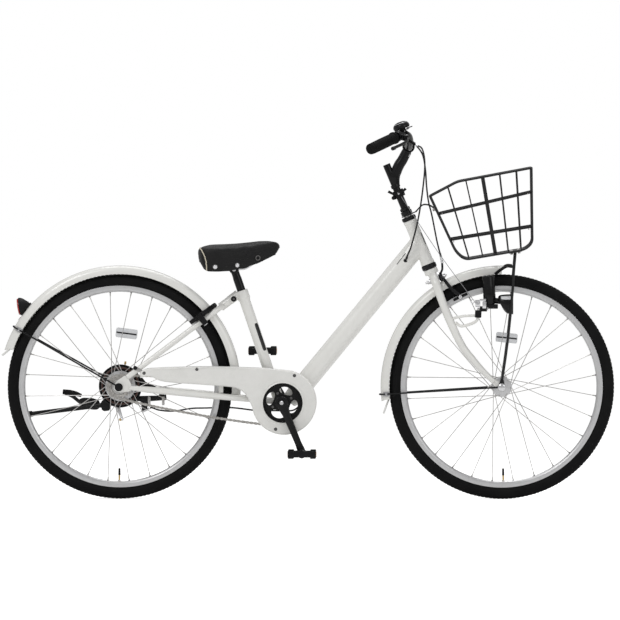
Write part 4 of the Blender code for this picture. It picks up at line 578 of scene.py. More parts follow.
def rubberFinish(name, colour, other, centre=None):
    # dull rubber; on a tyre the tread is greyer with road dust and the wall has fine moulded rings
    made = Finish(name, Specular_IOR_Level=0.1)
    clouds = made.noise(16.0, 5.0, 0.65)
    fine = made.noise(1400.0, 2.0, 0.6)
    base = made.mix(clouds.ramp(0.3, 0.75), colour, other)
    height = fine
    if centre is not None:
        x, _, z = made.parts(made.mapped(tuple(-np.array(centre))))
        radius = (x * x + z * z).root()
        worn = radius.ramp(0.3265, 0.331) * (made.noise(130.0, 4.0, 0.7) * 0.8 + 0.2)
        base = made.mix(worn * 0.4, base, (0.03, 0.029, 0.027))
        ribs = (radius * 5200.0).sine() * 0.5 + 0.5
        height = fine * 0.35 + ribs * 0.65 * (1 - radius.ramp(0.318, 0.322))
    ruffle = clouds * 0.16 + 0.62
    return made.wear(Base_Color=base, Roughness=ruffle, Normal=made.bump(height, 0.00018, 0.5))


def chainFinish(name):
    # oiled steel, darker where the grease sits
    made = Finish(name, Metallic=0.85)
    grease = made.noise(210.0, 5.0, 0.7).ramp(0.35, 0.72)
    base = made.mix(grease, (0.62, 0.6, 0.57), (0.19, 0.18, 0.165))
    return made.wear(Base_Color=base, Roughness=grease * 0.3 + 0.28,
        Normal=made.bump(made.noise(1600.0), 0.00004))


def lensFinish(name, deep, bright, glintStrength, through=0.0):
    # moulded prisms: two crossed rows of ridges, with a painted glint that makes their crests lighter in
    # colour
    made = Finish(name, Transmission_Weight=through, IOR=1.49, Coat_Weight=0.6, Coat_Roughness=0.04)
    x, y, z = made.parts(made.place())
    rows = ((x + z) * 1900.0).sine() * ((y + z - x) * 1900.0).sine()
    crest = rows.ramp(-0.2, 0.9)
    drift = made.noise(25.0, 3.0, 0.6) * 0.4
    # painted glint: the crests' colour is pushed towards the bright tone
    base = made.mix((crest * glintStrength + drift * 0.3).clamp(), deep, bright)
    return made.wear(Base_Color=base, Roughness=crest * 0.12 + 0.08, Normal=made.bump(rows, 0.0002,
        0.6))


paint = paintFinish("pearl_white_paint", (0.8, 0.795, 0.765), (0.835, 0.83, 0.8))
caseWhite = plainFinish("white_moulded_case", (0.79, 0.787, 0.76), (0.825, 0.82, 0.795), 0.27, 0.08,
    grain=700.0, depth=0.00002, coat=0.3, dust=0.25)
enamel = plainFinish("black_enamel", (0.0035, 0.0035, 0.004), (0.008, 0.008, 0.009), 0.26, 0.12,
    grain=600.0, depth=0.00003, coat=0.08, Specular_IOR_Level=0.2)
plastic = plainFinish("black_moulded_plastic", (0.004, 0.004, 0.0045), (0.01, 0.01, 0.011), 0.5, 0.14,
    grain=1500.0, depth=0.00006, Specular_IOR_Level=0.16)
gripRubber = rubberFinish("grip_rubber", (0.005, 0.005, 0.0055), (0.011, 0.011, 0.011))
chrome = plainFinish("polished_chrome", (0.8, 0.8, 0.81), (0.7, 0.7, 0.72), 0.13, 0.1, metal=1.0,
    grain=420.0, depth=0.00001)
steel = plainFinish("bare_steel", (0.56, 0.55, 0.54), (0.42, 0.41, 0.4), 0.34, 0.18, metal=1.0,
    grain=1300.0, depth=0.00004)
darkSteel = plainFinish("dark_steel", (0.1, 0.1, 0.105), (0.17, 0.165, 0.16), 0.38, 0.16, metal=0.9,
    grain=1300.0, depth=0.00004)
brass = plainFinish("brass", (0.72, 0.53, 0.25), (0.55, 0.38, 0.16), 0.3, 0.16, metal=1.0)
lining = plainFinish("brown_brake_lining", (0.1, 0.045, 0.035), (0.055, 0.026, 0.02), 0.6, 0.2,
    metal=0.3)
vinyl = vinylFinish("saddle_vinyl", (0.005, 0.005, 0.0055), (0.012, 0.0117, 0.0117))
piping = plainFinish("cream_piping", (0.7, 0.65, 0.52), (0.58, 0.53, 0.42), 0.5, 0.15, grain=1800.0,
    depth=0.0001)
casing = plainFinish("cable_casing", (0.005, 0.005, 0.0055), (0.01, 0.01, 0.011), 0.4, 0.12,
    grain=1700.0, depth=0.00005, Specular_IOR_Level=0.3)
wireGrey = plainFinish("grey_wire", (0.2, 0.2, 0.21), (0.3, 0.3, 0.31), 0.45, 0.12)
stripeBlack = plainFinish("dark_stripe", (0.006, 0.006, 0.007), (0.012, 0.012, 0.013), 0.3, 0.1,
    coat=0.1, Specular_IOR_Level=0.35)
redLens = lensFinish("red_lens", (0.3, 0.008, 0.008), (0.85, 0.06, 0.04), 0.8)
amberLens = lensFinish("amber_lens", (0.55, 0.16, 0.01), (0.95, 0.42, 0.06), 0.8)
clearLens = lensFinish("clear_reflector", (0.62, 0.63, 0.65), (0.92, 0.93, 0.95), 0.7)
chainSteel = chainFinish("oiled_chain")
print("finishes ready")


# Camera, light and ground
stageValues = dict(eye=(1.0, -24.0, 1.1), target=(0.562, 0.0, 0.558), lens=472.1, sensor=36.0,
    farClip=200.0, ground=(0.93, 0.93, 0.925), groundSize=60.0, dome=0.5, groundGlow=0.55,
    lamps=(("key", (-2.6, -4.2, 5.2), 105.0, 2.6), ("fill", (4.2, -3.6, 2.6), 32.0, 2.4), ("top",
    (0.6, 1.2, 5.0), 85.0, 3.0)))


def lookFrom(obj, eye, target):
    # the object's -Z points at the target with its Y up
    back = unit(np.asarray(eye, float) - np.asarray(target, float))
    right = unit(np.cross(zAxis, back))
    up = np.cross(back, right)
    turn = np.eye(4)
    turn[:3, 0], turn[:3, 1], turn[:3, 2], turn[:3, 3] = right, up, back, eye
    obj.matrix_world = turn.T.tolist()


def makeStage(values):
    scene.view_settings.view_transform = "Standard"
    cameraData = bpy.data.cameras.new("camera")
    cameraData.lens, cameraData.sensor_width = values["lens"], values["sensor"]
    cameraData.clip_end = values["farClip"]
    camera = bpy.data.objects.new("camera", cameraData)
    scene.collection.objects.link(camera)
    lookFrom(camera, values["eye"], values["target"])
    scene.camera = camera
    for name, eye, power, size in values["lamps"]:
        lampData = bpy.data.lights.new(name, "AREA")
        lampData.energy, lampData.size = power, size
        lamp = bpy.data.objects.new(name, lampData)
        scene.collection.objects.link(lamp)
        lookFrom(lamp, eye, values["target"])
    world = bpy.data.worlds.new("studio")
    scene.world = world
    world.use_nodes = True
    tree = world.node_tree
    back = tree.nodes["Background"]
    back.inputs["Color"].default_value = (1.0, 1.0, 1.0, 1.0)
    ray = tree.nodes.new("ShaderNodeLightPath")
    most = tree.nodes.new("ShaderNodeMath")
    most.operation = "MAXIMUM"
    tree.links.new(ray.outputs["Is Camera Ray"], most.inputs[0])
    tree.links.new(ray.outputs["Is Transmission Ray"], most.inputs[1])
    level = tree.nodes.new("ShaderNodeMapRange")
    level.inputs["To Min"].default_value, level.inputs["To Max"].default_value = values["dome"], 1.0
    tree.links.new(most.outputs[0], level.inputs["Value"])
    tree.links.new(level.outputs[0], back.inputs["Strength"])
    ground = Finish("pale_ground", Roughness=0.9, Specular_IOR_Level=0.1)
    drift = ground.noise(0.6, 2.0)
    seen = ground.node("ShaderNodeLightPath", {}, {}, "Is Camera Ray")
    ground.shader.inputs["Emission Strength"].default_value = values["groundGlow"]
    ground.wear(Base_Color=ground.mix(drift, values["ground"], tuple(v * 0.99 for v in
        values["ground"])), Emission_Color=ground.mix(seen, (0.0, 0.0, 0.0), (1.0, 1.0, 1.0)))
    half = values["groundSize"] / 2
    mesh = bpy.data.meshes.new("ground")
    mesh.from_pydata([(-half, -half, 0), (half, -half, 0), (half, half, 0), (-half, half, 0)], [],
        [(0, 1, 2, 3)])
    mesh.materials.append(ground.material)
    floor = bpy.data.objects.new("ground", mesh)
    scene.collection.objects.link(floor)


makeStage(stageValues)
print("stage ready")


# Wheels
tyreValues = dict(bead=0.2985, top=0.3318, half=0.0183, steps=1044, across=50, treadDepth=0.0011,
    repeats=174, treadHalf=0.0142)
rimValues = dict(edge=0.298, floor=0.2795, half=0.0125, bed=0.29, steps=180)
spokeValues = dict(count=28, radius=0.0011, sweep=68.0, hole=0.0255, flangeY=0.0325, stagger=0.0018,
    nipple=0.0145, nippleRadius=0.0021)
wheelValues = dict(front=dict(phase=7.2, valveAt=271.0, reflector=(0.145, 84.2)), rear=dict(phase=5.75,
    valveAt=269.7, reflector=(0.158, 82.7)))


def tyre(centre, bead, top, half, steps, across, treadDepth, repeats, treadHalf):
    # the section's radius less the tread depth where a ring groove or a slanting cut passes, the cuts
    # being the high stretches of |sin(repeats a + 520 |y|) sin(repeats a / 2 + 900 y)|
    right = [(bead + (top - bead) * up, -half * out) for up, out in ((0, 0.6), (0.14, 0.84), (0.38, 1),
        (0.7, 0.91), (0.9, 0.64), (0.985, 0.3))]
    section = smoothPath(bothSides(right, (top, 0)), across)
    a = np.linspace(0, 2 * math.pi, steps, endpoint=False)[:, None]
    r, y = section[None, :, 0], section[None, :, 1]
    inTread = np.clip((treadHalf - np.abs(y)) / 0.002, 0, 1)
    ringGroove = np.exp(-((np.abs(y) - 0.0046) / 0.0009) ** 2)
    wave = np.sin(repeats * a + 520.0 * np.abs(y)) * np.sin(repeats / 2 * a + 900 * y)
    cuts = np.clip((np.abs(wave) - 0.45) / 0.3, 0, 1) * np.clip((np.abs(y) - 0.0058) / 0.001, 0, 1)
    middleCuts = np.clip((np.sin(repeats * a) - 0.55) / 0.3, 0, 1) * (np.abs(y) < 0.0036)
    r = r - treadDepth * inTread * np.maximum(ringGroove, np.maximum(cuts, middleCuts * 0.7))
    return grid(polar(centre, r, np.degrees(a), y), closeU=True, closeV=True)


def rim(centre, edge, floor, half, bed, steps):
    # box section with flat braking sides, a rounded well and hooked edges
    right = [(edge, -half + 0.0012), (edge, -half), (edge - 0.0115, -half), (floor + 0.0025,
        -half * 0.72), (floor, -half * 0.4)]
    section = rounded(bothSides(right) + [(bed, half * 0.55), (bed, -half * 0.55)], 0.0008, 3)
    return wheelTurned(section, centre, steps)


def spokes(centre, phase, count, radius, sweep, hole, flangeY, stagger, nipple, nippleRadius):
    # spoke k runs from a flange hole, swept round the hub, to its place on the rim
    k = np.arange(count)
    hand, lead = np.where(k % 2, 1, -1), np.where((k // 2) % 2, 1, -1)
    angle = phase + k * 360 / count
    near = polar(centre, hole, angle + lead * sweep, hand * (flangeY + lead * stagger))
    far = polar(centre, rimValues["floor"] + 0.004, angle, hand * 0.003)
    way = unit(near - far)
    nipples = rods(far + way * 0.0015, far + way * nipple, nippleRadius, nippleRadius * 0.8)
    cups = rods(far + way * 0.0025, far + way * 0.0055, 0.0034, 0.0025, 10)
    side = np.outer(lead * hand, yAxis)
    heads = rods(near - side * 0.0022, near + side * 0.0014, 0.0016)
    return (steel, rods(near, far, radius), nipples, heads), (darkSteel, cups)


def flange(boss, end):
    return [(0.0054, end), (boss, end), (boss, 0.0375), (boss + 0.003, 0.034), *flangeFoot]


def valve(centre, angle):
    way = heading(angle)
    return ((brass, knob(centre + way * 0.284, centre + way * 0.252, 0.0028)), (chrome,
        hexNut(centre + way * 0.2795, centre + way * 0.2765, 0.0048)), (plastic, knob(centre + way *
        0.262, centre + way * 0.2415, 0.0036, 0.001, 20, 0.0029)))


def spokeReflector(centre, radius, angle, size=(0.064, 0.029, 0.008)):
    # clear lens in a black clip that sits across two neighbouring spokes
    at, way, out = polar(centre, radius, angle), heading(angle + 90), heading(angle)
    wide, _, deep = size
    return ((clearLens, block(at, size, way, out, 0.0012, 0.006)), (plastic, block(at, (wide - 0.004,
        0.004, deep + 0.003), way, out, 0.0006)))


def makeWheel(name, centre, left, right, phase, valveAt, reflector):
    # left and right are the hub's two halves from their ends inwards, points (radius, y)
    body = name + "_wheel"
    road = rubberFinish(body + "_rubber", (0.004, 0.004, 0.0045), (0.009, 0.009, 0.009), centre)
    dress(name + "_tyre", (road, tyre(centre, **tyreValues)), ending="_treaded", sharpAt=50)
    alloy = wheelFinish(body + "_alloy", (0.62, 0.62, 0.63), (0.7, 0.7, 0.705), 0.38, centre,
        dust=0.25)
    hub = wheelTurned(rounded([*left, *[(r, -y) for r, y in right[::-1]]], 0.0012, 3), centre, 64)
    piece(body + "_built", body, (alloy, rim(centre, **rimValues), hub), *spokes(centre, phase,
        **spokeValues), *valve(centre, valveAt), stands=[body + "_rim"])
    piece(name + "_spoke_reflector", body, *spokeReflector(centre, *reflector), slot=body + "_rim")


flangeFoot = [(0.03, 0.034), (0.03, 0.031), (0.0185, 0.0305), (0.0145, 0.024)]
drum = [(0.0054, 0.046), (0.045, 0.046), (0.045, 0.037), (0.022, 0.0365), (0.022, 0.034), *flangeFoot]
makeWheel("front", frontAxle, flange(0.0115, 0.0475), flange(0.0115, 0.0475), **wheelValues["front"])
makeWheel("rear", rearAxle, drum, flange(0.0139, 0.052), **wheelValues["rear"])


def axleFitting(node, centre, left, right, leftCone, rightCone, halfWidth, capRadius, capFinish):
    rodEnd = 0.017
    y = lambda v: np.array([centre[0], v, centre[2]])
    core = rods([y(-right - rodEnd + 0.002)], [y(left + rodEnd - 0.002)], 0.0048, sides=20)
    ridges = np.arange(-right - rodEnd + 0.003, -right - 0.013, 0.001)
    thread = rods([y(v) for v in ridges], [y(v + 0.0005) for v in ridges], 0.005, sides=20)
    nuts, cones, caps = [], [], []
    for hand, end, cone in ((1, left, leftCone), (-1, right, rightCone)):
        nuts += [hexNut(y(hand * (end + 0.001)), y(hand * (end + 0.012)), 0.0103),
            collar(y(hand * (end + 0.0006)), yAxis, 0.005, 0.0112, 0.0014)]
        cones.append(knob(y(hand * cone), y(hand * (halfWidth - 0.003)), 0.0088))
        caps.append(knob(y(hand * (end + 0.0115)), y(hand * (end + 0.0168)), capRadius, 0.002))
    dress(node, (steel, core, thread, *cones), (chrome, *nuts), (capFinish, *caps), ending="_fitted")


axleFitting("rear_axle", rearAxle, 0.0731, 0.0661, 0.0512, 0.0524, 0.06, 0.0122, plastic)
axleFitting("front_axle", frontAxle, 0.0624, 0.0624, 0.0479, 0.0479, 0.053, 0.0085, chrome)
print("wheels ready")


# Fenders and their stays
fenderValues = dict(edge=0.3335, crown=0.3576, half=0.0272, wall=0.0013, bead=0.0013)


def arch(centre, span, tips, edge, crown, half, wall, bead):
    # section: half circle flattened at the crown, an outer and an inner skin a wall apart;
    # it is carried round the wheel, and each end draws back towards its corners by |y|^4
    side = [(edge, -half), (edge + 0.006, -half), (edge + 0.0135, -half * 0.93), (crown - 0.0038,
        -half * 0.74), (crown - 0.0007, -half * 0.38)]
    outer = smoothPath(bothSides(side, (crown, 0)), 33)
    slope = unit(np.gradient(outer, axis=0))
    inner = outer + np.stack([-slope[:, 1], slope[:, 0]], 1) * wall
    section = np.concatenate([outer, inner[::-1]])
    lean = np.abs(section[:, 1] / half) ** 4
    first, last = span[0] + lean * tips[0], span[1] - lean * tips[1]
    share = np.linspace(0, 1, int(abs(span[1] - span[0]) / 1.1))[:, None]
    skin = grid(polar(centre, section[None, :, 0], first + (last - first) * share, section[None, :, 1]),
        closeV=True, caps=True)
    ends = polar(centre, edge, np.linspace(first[0], last[0], 110), half - 0.0004)
    return together(skin, *[tube(sided(ends, hand), bead, 10) for hand in (-1, 1)])


def flap(path, wide=0.0535, wall=0.0022, crown=0.004):
    # sheet carried along its path, bowed across by crown (1 - s^2) and a little narrower at its end
    s, t = np.linspace(-1, 1, 15), np.linspace(0, 1, 16)
    bow = crown * (1 - s ** 2)
    profile = np.concatenate([np.stack([bow, s * wide / 2], 1), np.stack([bow - wall, s * wide / 2],
        1)[::-1]])
    size = np.stack([np.ones(16), 1 - 0.12 * t ** 6], 1)
    return grid(carry(smoothPath([(x, 0, z) for x, z in path], 16), profile, yAxis, size=size),
        closeV=True, caps=True)


def stay(centre, angle, ys, wire=0.0025):
    # wire from one eyelet up over the fender and down to the other
    clear, edge = wire + 0.0003, 0.333
    over, beside = 0.35775 + clear, 0.02775 + clear + 0.0006
    points, eyes = [], []
    for hand, y in zip((-1, 1), ys):
        half = [polar(centre, radius, angle, hand * out) for radius, out in ((over, 0.0), (over, 0.013),
            (over - 0.0045, 0.0225), (edge + 0.014, beside), (edge - 0.09, beside + 0.008), (0.16,
            (beside + 0.008) * 0.35 + y * 0.65), (0.03, y), (0.0085, y))]
        points = half[::-1] if hand < 0 else points + half[1:]
        eyes.append(collar((centre[0], hand * y, centre[2]), yAxis, 0.0053, 0.01, 0.003, 0.0005))
    return roundRod(points, wire, 150, 14, heading(angle + 90)), *eyes


def stayClamp(centre, angle, hand):
    # small grey clip with a screw where the stay meets the fender's edge
    at = polar(centre, 0.3405, angle, hand * 0.03)
    clip = block(at, (0.013, 0.02, 0.0042), heading(angle + 90), heading(angle), 0.0008, 0.003)
    return clip, knob(at + yAxis * hand * 0.002, at + yAxis * hand * 0.0042, 0.0032)


def fenderBolt(centre, angle, start=0.3572, tall=0.0022):
    return knob(polar(centre, start, angle), polar(centre, start + tall, angle), 0.0055, 0.0012)


rearFlap = flap([(-0.3075, 0.4607), (-0.3165, 0.4515), (-0.331, 0.4385), (-0.3475, 0.4245)])
dress("rear_fender", (paint, arch(rearAxle, (-7, 162.5), (0.4, 1.6), **fenderValues), rearFlap),
    (chrome, fenderBolt(rearAxle, 38.05), fenderBolt(rearAxle, 146.0)), ending="_rolled")
frontFlap = flap([(0.7955, 0.3025), (0.7915, 0.289), (0.7855, 0.2725), (0.7785, 0.253)])
tipClip = block(polar(frontAxle, 0.352, 92.4), (0.03, 0.03, 0.0022), heading(2.4), yAxis, 0.0006,
    0.004)
dress("front_fender", (paint, arch(frontAxle, (88.5, 187), (1.8, 0.8), **fenderValues), frontFlap),
    (chrome, fenderBolt(frontAxle, 122.27)), (plastic, tipClip), ending="_rolled")
grey = plainFinish("grey_clip", (0.3, 0.3, 0.31), (0.4, 0.4, 0.41), 0.42, 0.12)
for name, centre, angle, ys in (("rear", rearAxle, 150.5, (0.0643, 0.0686)), ("front", frontAxle, 183.6,
        (0.0573, 0.0573))):
    clips, screws = zip(*[stayClamp(centre, angle, hand) for hand in (-1, 1)])
    node = name + "_fender_stay"
    piece(name + "_fender_wire", bodyOf[node], (enamel, *stay(centre, angle, ys)), (grey, *clips),
        (chrome, *screws), stands=[node])
print("fenders ready")


# Frame
frameValues = dict(downAngle=50.6, downLength=0.606, downMeets=0.4834, headStart=0.4175,
    headLength=0.1395, headRadius=0.019, headBore=0.0145, seatRadius=0.0159, seatLength=0.348,
    lug=0.0185, weld=0.0016)
downTurn = math.radians(frameValues["downAngle"])
downWay = np.array([math.cos(downTurn), 0, math.sin(downTurn)])
downTop = steer(frameValues["downMeets"])
downFoot = downTop - downWay * frameValues["downLength"]
downAcross = np.array([-downWay[2], 0, downWay[0]])
stayAcross = np.array([-stayUp[2], 0, stayUp[0]])
cableEntry = np.array([0.8457, -0.0285, 0.7075])


def meets(points, way, origin, axis, radius):
    # where each line point + t way first lies a radius from an axis: the root of a quadratic in t
    away = lambda v: v - (v @ axis)[..., None] * axis
    p, d = away(points - origin), way - (way @ axis) * axis
    b, c = p @ d, (p * p).sum(-1) - radius ** 2
    t = (-b - np.sqrt(np.maximum(b * b - (d @ d) * c, 0))) / (d @ d)
    return points + way * t[:, None]


def downSize(h):
    # half height and half width of the big tube at a distance from its foot
    stations = np.array([(0.0, 0.0198, 0.0198), (0.012, 0.0262, 0.0262), (0.045, 0.03, 0.03), (0.2,
        0.0296, 0.0296), (0.4, 0.029, 0.029), (0.545, 0.0287, 0.0284), (0.575, 0.0287, 0.0236),
        (0.606, 0.0285, 0.0188)])
    return [np.interp(h, stations[:, 0], stations[:, k]) for k in (1, 2)]


def oval(middle, tall, wide, steps=64):
    # ring of points across the big tube
    ring = ovalProfile(1, 1, steps)
    return middle + downAcross * (ring[:, :1] * tall) + yAxis * (ring[:, 1:] * wide)


def makeMainTubes(headStart, headLength, headRadius, headBore, downLength, seatRadius, seatLength, lug,
        weld, **others):
    wide = 0.0204
    profile = [(headBore, 0), (wide, 0), (wide, 0.007), (headRadius, 0.011), (headRadius, headLength -
        0.011), (wide, headLength - 0.007), (wide, headLength), (headBore, headLength)]
    headTube = turned(rounded(profile, 0.0015), steer(headStart), steerUp, 64, True)
    seam = meets(oval(downTop - downWay * 0.1, 0.0286, 0.0181), downWay, steerFoot, steerUp,
        headRadius)
    dress("head_tube", (paint, headTube, tube(seam, weld, 10, steerUp, closed=True)))
    h = np.concatenate([np.linspace(0, 0.06, 16), np.linspace(0.07, downLength, 60)])
    tall, wide = (size[:, None, None] for size in downSize(h))
    bigTube = grid(oval((downFoot + downWay * h[:, None])[:, None], tall, wide), closeV=True, caps=True)
    inside = unit(np.array([0.835, -0.014, 0.69]) - cableEntry)
    leave = unit(np.array([0.54, 0.0115, 0.288]) - np.array([0.5535, 0.0094, 0.3193]))
    grommets = [collar(at, way, 0.0027, 0.0058, 0.006, 0.001) for at, way in ((cableEntry + inside *
        0.004, inside), ((0.5435, 0.011, 0.2955), leave))]
    dress("down_tube", (paint, bigTube), (plastic, *grommets))
    profile = [(0.0, -0.002), (seatRadius, -0.002), (seatRadius, seatLength - 0.031), (lug, seatLength -
        0.026), (lug, seatLength), (0.0133, seatLength), (0.0133, seatLength - 0.05), (0.0, seatLength -
        0.05)]
    tubeShape = turned(rounded(profile, 0.0016, 4, False), seatLine(0), seatUp, 48)
    ear = rods([onStay(0.3255)], [onStay(0.35)], 0.0135, sides=28)
    beside = lambda y: (0.3373, y, 0.5909)
    dress("seat_tube", (paint, tubeShape, ear, knob(beside(-0.0165), beside(0.0165), 0.0088, 0.0015)),
        (chrome, hexNut(beside(0.0165), beside(0.021), 0.0075)), (enamel, knob(beside(-0.0165),
        beside(-0.0215), 0.0084, 0.0018)), (darkSteel, knob(beside(-0.0205), beside(-0.0218), 0.0035,
        0.0004, 6)))
    piece("bottom_bracket_finished", "frame", (paint, collar(crankAxle, yAxis, 0.0088, 0.02, 0.068,
        0.001, 48)), (steel, collar(crankAxle + yAxis * 0.0352, yAxis, 0.009, 0.0215, 0.0035, 0.0006,
        24)), stands=["bottom_bracket_shell"])


def makeRearTriangle():
    line = [(0.03, -0.06, 0.3295), (0.064, -0.0595, 0.3262), (0.1, -0.0585, 0.3228), (0.25, -0.047,
        0.3085), (0.35, -0.0372, 0.299), (0.41, -0.0225, 0.2932), (0.455, -0.0175, 0.2887)]
    radii = [0.0065, 0.008, 0.0095, 0.0105, 0.009, 0.009, 0.009]
    dropout = rounded([(0.0189, 0.3675), (0.0297, 0.3531), (0.036, 0.341), (0.036, 0.32), (0.0, 0.315),
        (-0.0155, 0.324), (-0.0165, 0.338), (-0.006, 0.35)], 0.006, 5)
    lower = [knob((0.375, -0.034, 0.297), (0.375, 0.034, 0.297), 0.007)]
    for hand in (-1, 1):
        lower += [roundRod(sided(line, -hand), radii, 70, 22, zAxis), slab(dropout, 0.0046,
            (0, hand * 0.06, 0), bevel=0.0009)]
    dress("chain_stays", (paint, *lower))
    half = [onStay(x, -y) for x, y in ((0.3035, 0), (0.3, 0.018), (0.284, 0.034), (0.268, 0.036),
        (0.2, 0.045), (0.12, 0.0535), (0.06, 0.059), (0.0246, 0.06))]
    wishbone = roundRod(half[::-1] + [p * (1, -1, 1) for p in half[1:]], 0.008, 150, 20, stayAcross)
    mono = rods([onStay(0.298)], [onStay(0.3262)], 0.0127, sides=28)
    t = np.linspace(0, 2 * math.pi, 40, endpoint=False)[:, None]
    bead = tube(onStay(0.3255) + 0.0126 * (np.cos(t) * yAxis + np.sin(t) * stayAcross), 0.0012, 8,
        stayUp, True)
    dress("seat_stays", (paint, wishbone, mono, bead))


def makeHeadset(start, end):
    for node, low, tall, wide in (("lower_headset_cup", start - 0.0155, 0.0152, 0.0225),
            ("upper_headset_cup", end + 0.0003, 0.0125, 0.0215)):
        profile = [(0.0133, 0), (wide - 0.002, 0), (wide, 0.004), (wide, tall - 0.003), (wide - 0.002,
            tall), (0.0133, tall)]
        dress(node, (enamel, turned(rounded(profile, 0.0012), steer(low), steerUp, 56, True)))


makeMainTubes(**frameValues)
makeRearTriangle()
makeHeadset(frameValues["headStart"], frameValues["headStart"] + frameValues["headLength"])

# Plain stripe on the seat tube and dashes on the down tube and the head tube, as (x, z)
stripeValues = dict(seatFrom=0.158, seatTo=0.243, seatHalf=24.0, corner=0.35, dash=0.0017,
    headProud=0.001, downFrom=(0.8181, 0.693), downTo=(0.844, 0.726), headFrom=(0.8924, 0.7876),
    headTo=(0.9074, 0.7542))


def tubeBand(start, end, radius, halfAngle, facing, corner):
    # thin strip lying on a round tube: grid over length and angle, its corners drawn in
    way = unit(end - start)
    out = unit(facing - (facing @ way) * way)
    side = np.cross(way, out)
    u, v = np.linspace(0, 1, 25), np.linspace(-1, 1, 13)
    narrow = np.clip(1 - np.abs(2 * u - 1) ** 14 * corner, 0, 1)
    a = (v[None] * math.radians(halfAngle) * narrow[:, None])[..., None]
    rows = [start + (end - start) * u[:, None, None] + (radius + lift) * (out * np.cos(a) + side *
        np.sin(a)) for lift in (0.00025, -0.0004)]
    return grid(np.concatenate([rows[0], rows[1][:, ::-1]], 1), closeV=True, caps=True)


def sideDash(start, end, origin, way, across, size, thick):
    # thin bar on the right side of a tube, its y from the equation of the tube's oval section
    t = np.linspace(0, 1, 12)[:, None]
    points = np.insert(np.array(start) * (1 - t) + np.array(end) * t, 1, 0, axis=1)
    tall, wide = size((points - origin) @ way)
    offset = (points - origin) @ across
    share = np.clip(offset / tall, -0.84, 0.84)
    points = points + across * (share * tall - offset)[:, None]
    points[:, 1] = -wide * np.sqrt(1 - share ** 2) - 0.0003
    return tube(points, np.array([[thick, 0.0009]]), 10, xAxis)


def makeStripes(seatFrom, seatTo, seatHalf, corner, downFrom, downTo, headFrom, headTo, dash,
        headProud):
    band = tubeBand(seatLine(seatFrom), seatLine(seatTo), frameValues["seatRadius"], seatHalf,
        xAxis * 0.9 - yAxis, corner)
    piece("frame_stripes", "frame", (stripeBlack, band), slot="seat_tube")
    headSize = lambda h: [frameValues["headRadius"] + headProud] * 2
    piece("frame_dashes", "frame", (stripeBlack, sideDash(downFrom, downTo, downFoot, downWay,
        downAcross, downSize, dash), sideDash(headFrom, headTo, steerFoot, steerUp, steerAhead,
        headSize, dash)), slot="down_tube")


makeStripes(**stripeValues)
print("frame ready")


# Fork, stem and bar
forkValues = dict(crown=0.384, caliper=0.3674, race=0.0205, steerer=0.0127, nutStart=0.5766,
    nutTop=0.598, nutRadius=0.0172, tipY=0.053)
dynamoHinge = np.array([1.0705, -0.066, 0.563])


def makeFork(crown, caliper, race, steerer, nutStart, nutTop, nutRadius, tipY):
    # blades from the crown down to one tip: up the steering axis, ahead of it, to the side, radius
    half = [(0.384, 0.0, 0.0, 0.0122), (0.378, 0.0, 0.018, 0.0122), (0.362, 0.0, 0.038, 0.0122), (0.33,
        -0.002, 0.047, 0.0122), (0.25, -0.005, 0.0478, 0.0118), (0.16, -0.001, 0.0505, 0.0108), (0.1,
        0.015, 0.0516, 0.0095), (0.06, 0.029, 0.0525, 0.0082), (0.024, 0.045, 0.053, 0.007)]
    points = [steer(s, ahead, -y) for s, ahead, y, _ in half]
    radii = [row[3] for row in half]
    blades = roundRod(points[::-1] + [p * (1, -1, 1) for p in points[1:]], radii[::-1] + radii[1:], 150,
        28, steerAhead)
    profile = [(0.0, 0.362), (steerer, 0.362), (steerer, crown + 0.001), (race, crown + 0.003), (race,
        0.4015), (steerer, 0.4015), (steerer, nutStart), (0.0117, nutStart), (0.0117, 0.46),
        (0.0, 0.46)]
    core = turned(rounded(profile, 0.0012, 3, False), steerFoot, steerUp, 48)
    outline = linkOutline(frontAxle[[0, 2]], 0.0118, points[-1][[0, 2]], 0.007)
    tips = [slab(outline, 0.0046, (0, hand * tipY, 0), bevel=0.0009) for hand in (-1, 1)]
    loops = [roundRod([(0.992, -0.0505, 0.522), (1.01, -0.056, 0.512), (1.045, -0.066, 0.522), (1.0585,
        -0.068, 0.5375), (1.0585, -0.066, 0.563)], 0.0044, 40, 14, zAxis + yAxis * 0.3),
        roundRod([(0.985, -0.0505, 0.535), (1.02, -0.062, 0.542), (1.0585, -0.067, 0.543)], 0.004, 30,
        14, zAxis)]
    lockNut = [collar(steer((nutStart + nutTop) / 2 - 0.005), steerUp, 0.0117, 0.0168, 0.0115),
        hexNut(steer(0.5885), steer(nutTop), nutRadius, 0.0012)]
    bright = [rods([steer(caliper, -0.029)], [steer(caliper, 0.039)], 0.003, sides=16),
        hexNut(steer(caliper, -0.0235), steer(caliper, -0.0165), 0.0066), collar(steer(caliper,
        -0.0145), steerAhead, 0.003, 0.0078, 0.0035), hexNut(steer(caliper, 0.0282), steer(caliper,
        0.035), 0.0066, 0.0014), knob(dynamoHinge - xAxis * 0.0145, dynamoHinge + xAxis * 0.0112,
        0.0034), block((1.057, -0.0762, 0.58), (0.015, 0.0022, 0.019), bevel=0.0006, corner=0.002),
        block((1.057, -0.0715, 0.5695), (0.013, 0.0112, 0.0022), bevel=0.0006), hexNut((1.057,
        -0.0772, 0.58), (1.057, -0.0812, 0.58), 0.005), collar((1.042, -0.0762, 0.585), yAxis,
        0.0038, 0.0064, 0.0022, 0.0004)]
    boot = knob((1.059, -0.07, 0.559), (1.058, -0.07, 0.537), 0.0096, 0.003, 32)
    dress("fork", (paint, blades, core, *tips, *loops), (enamel, *lockNut), (chrome, *bright), (plastic,
        boot))


makeFork(**forkValues)

stemValues = dict(quill=0.011, top=0.7365, start=0.5, leaves=0.662, clamp=0.0182, width=0.047,
    barAt=(0.853, 0, 1.04), leverClamp=0.643)


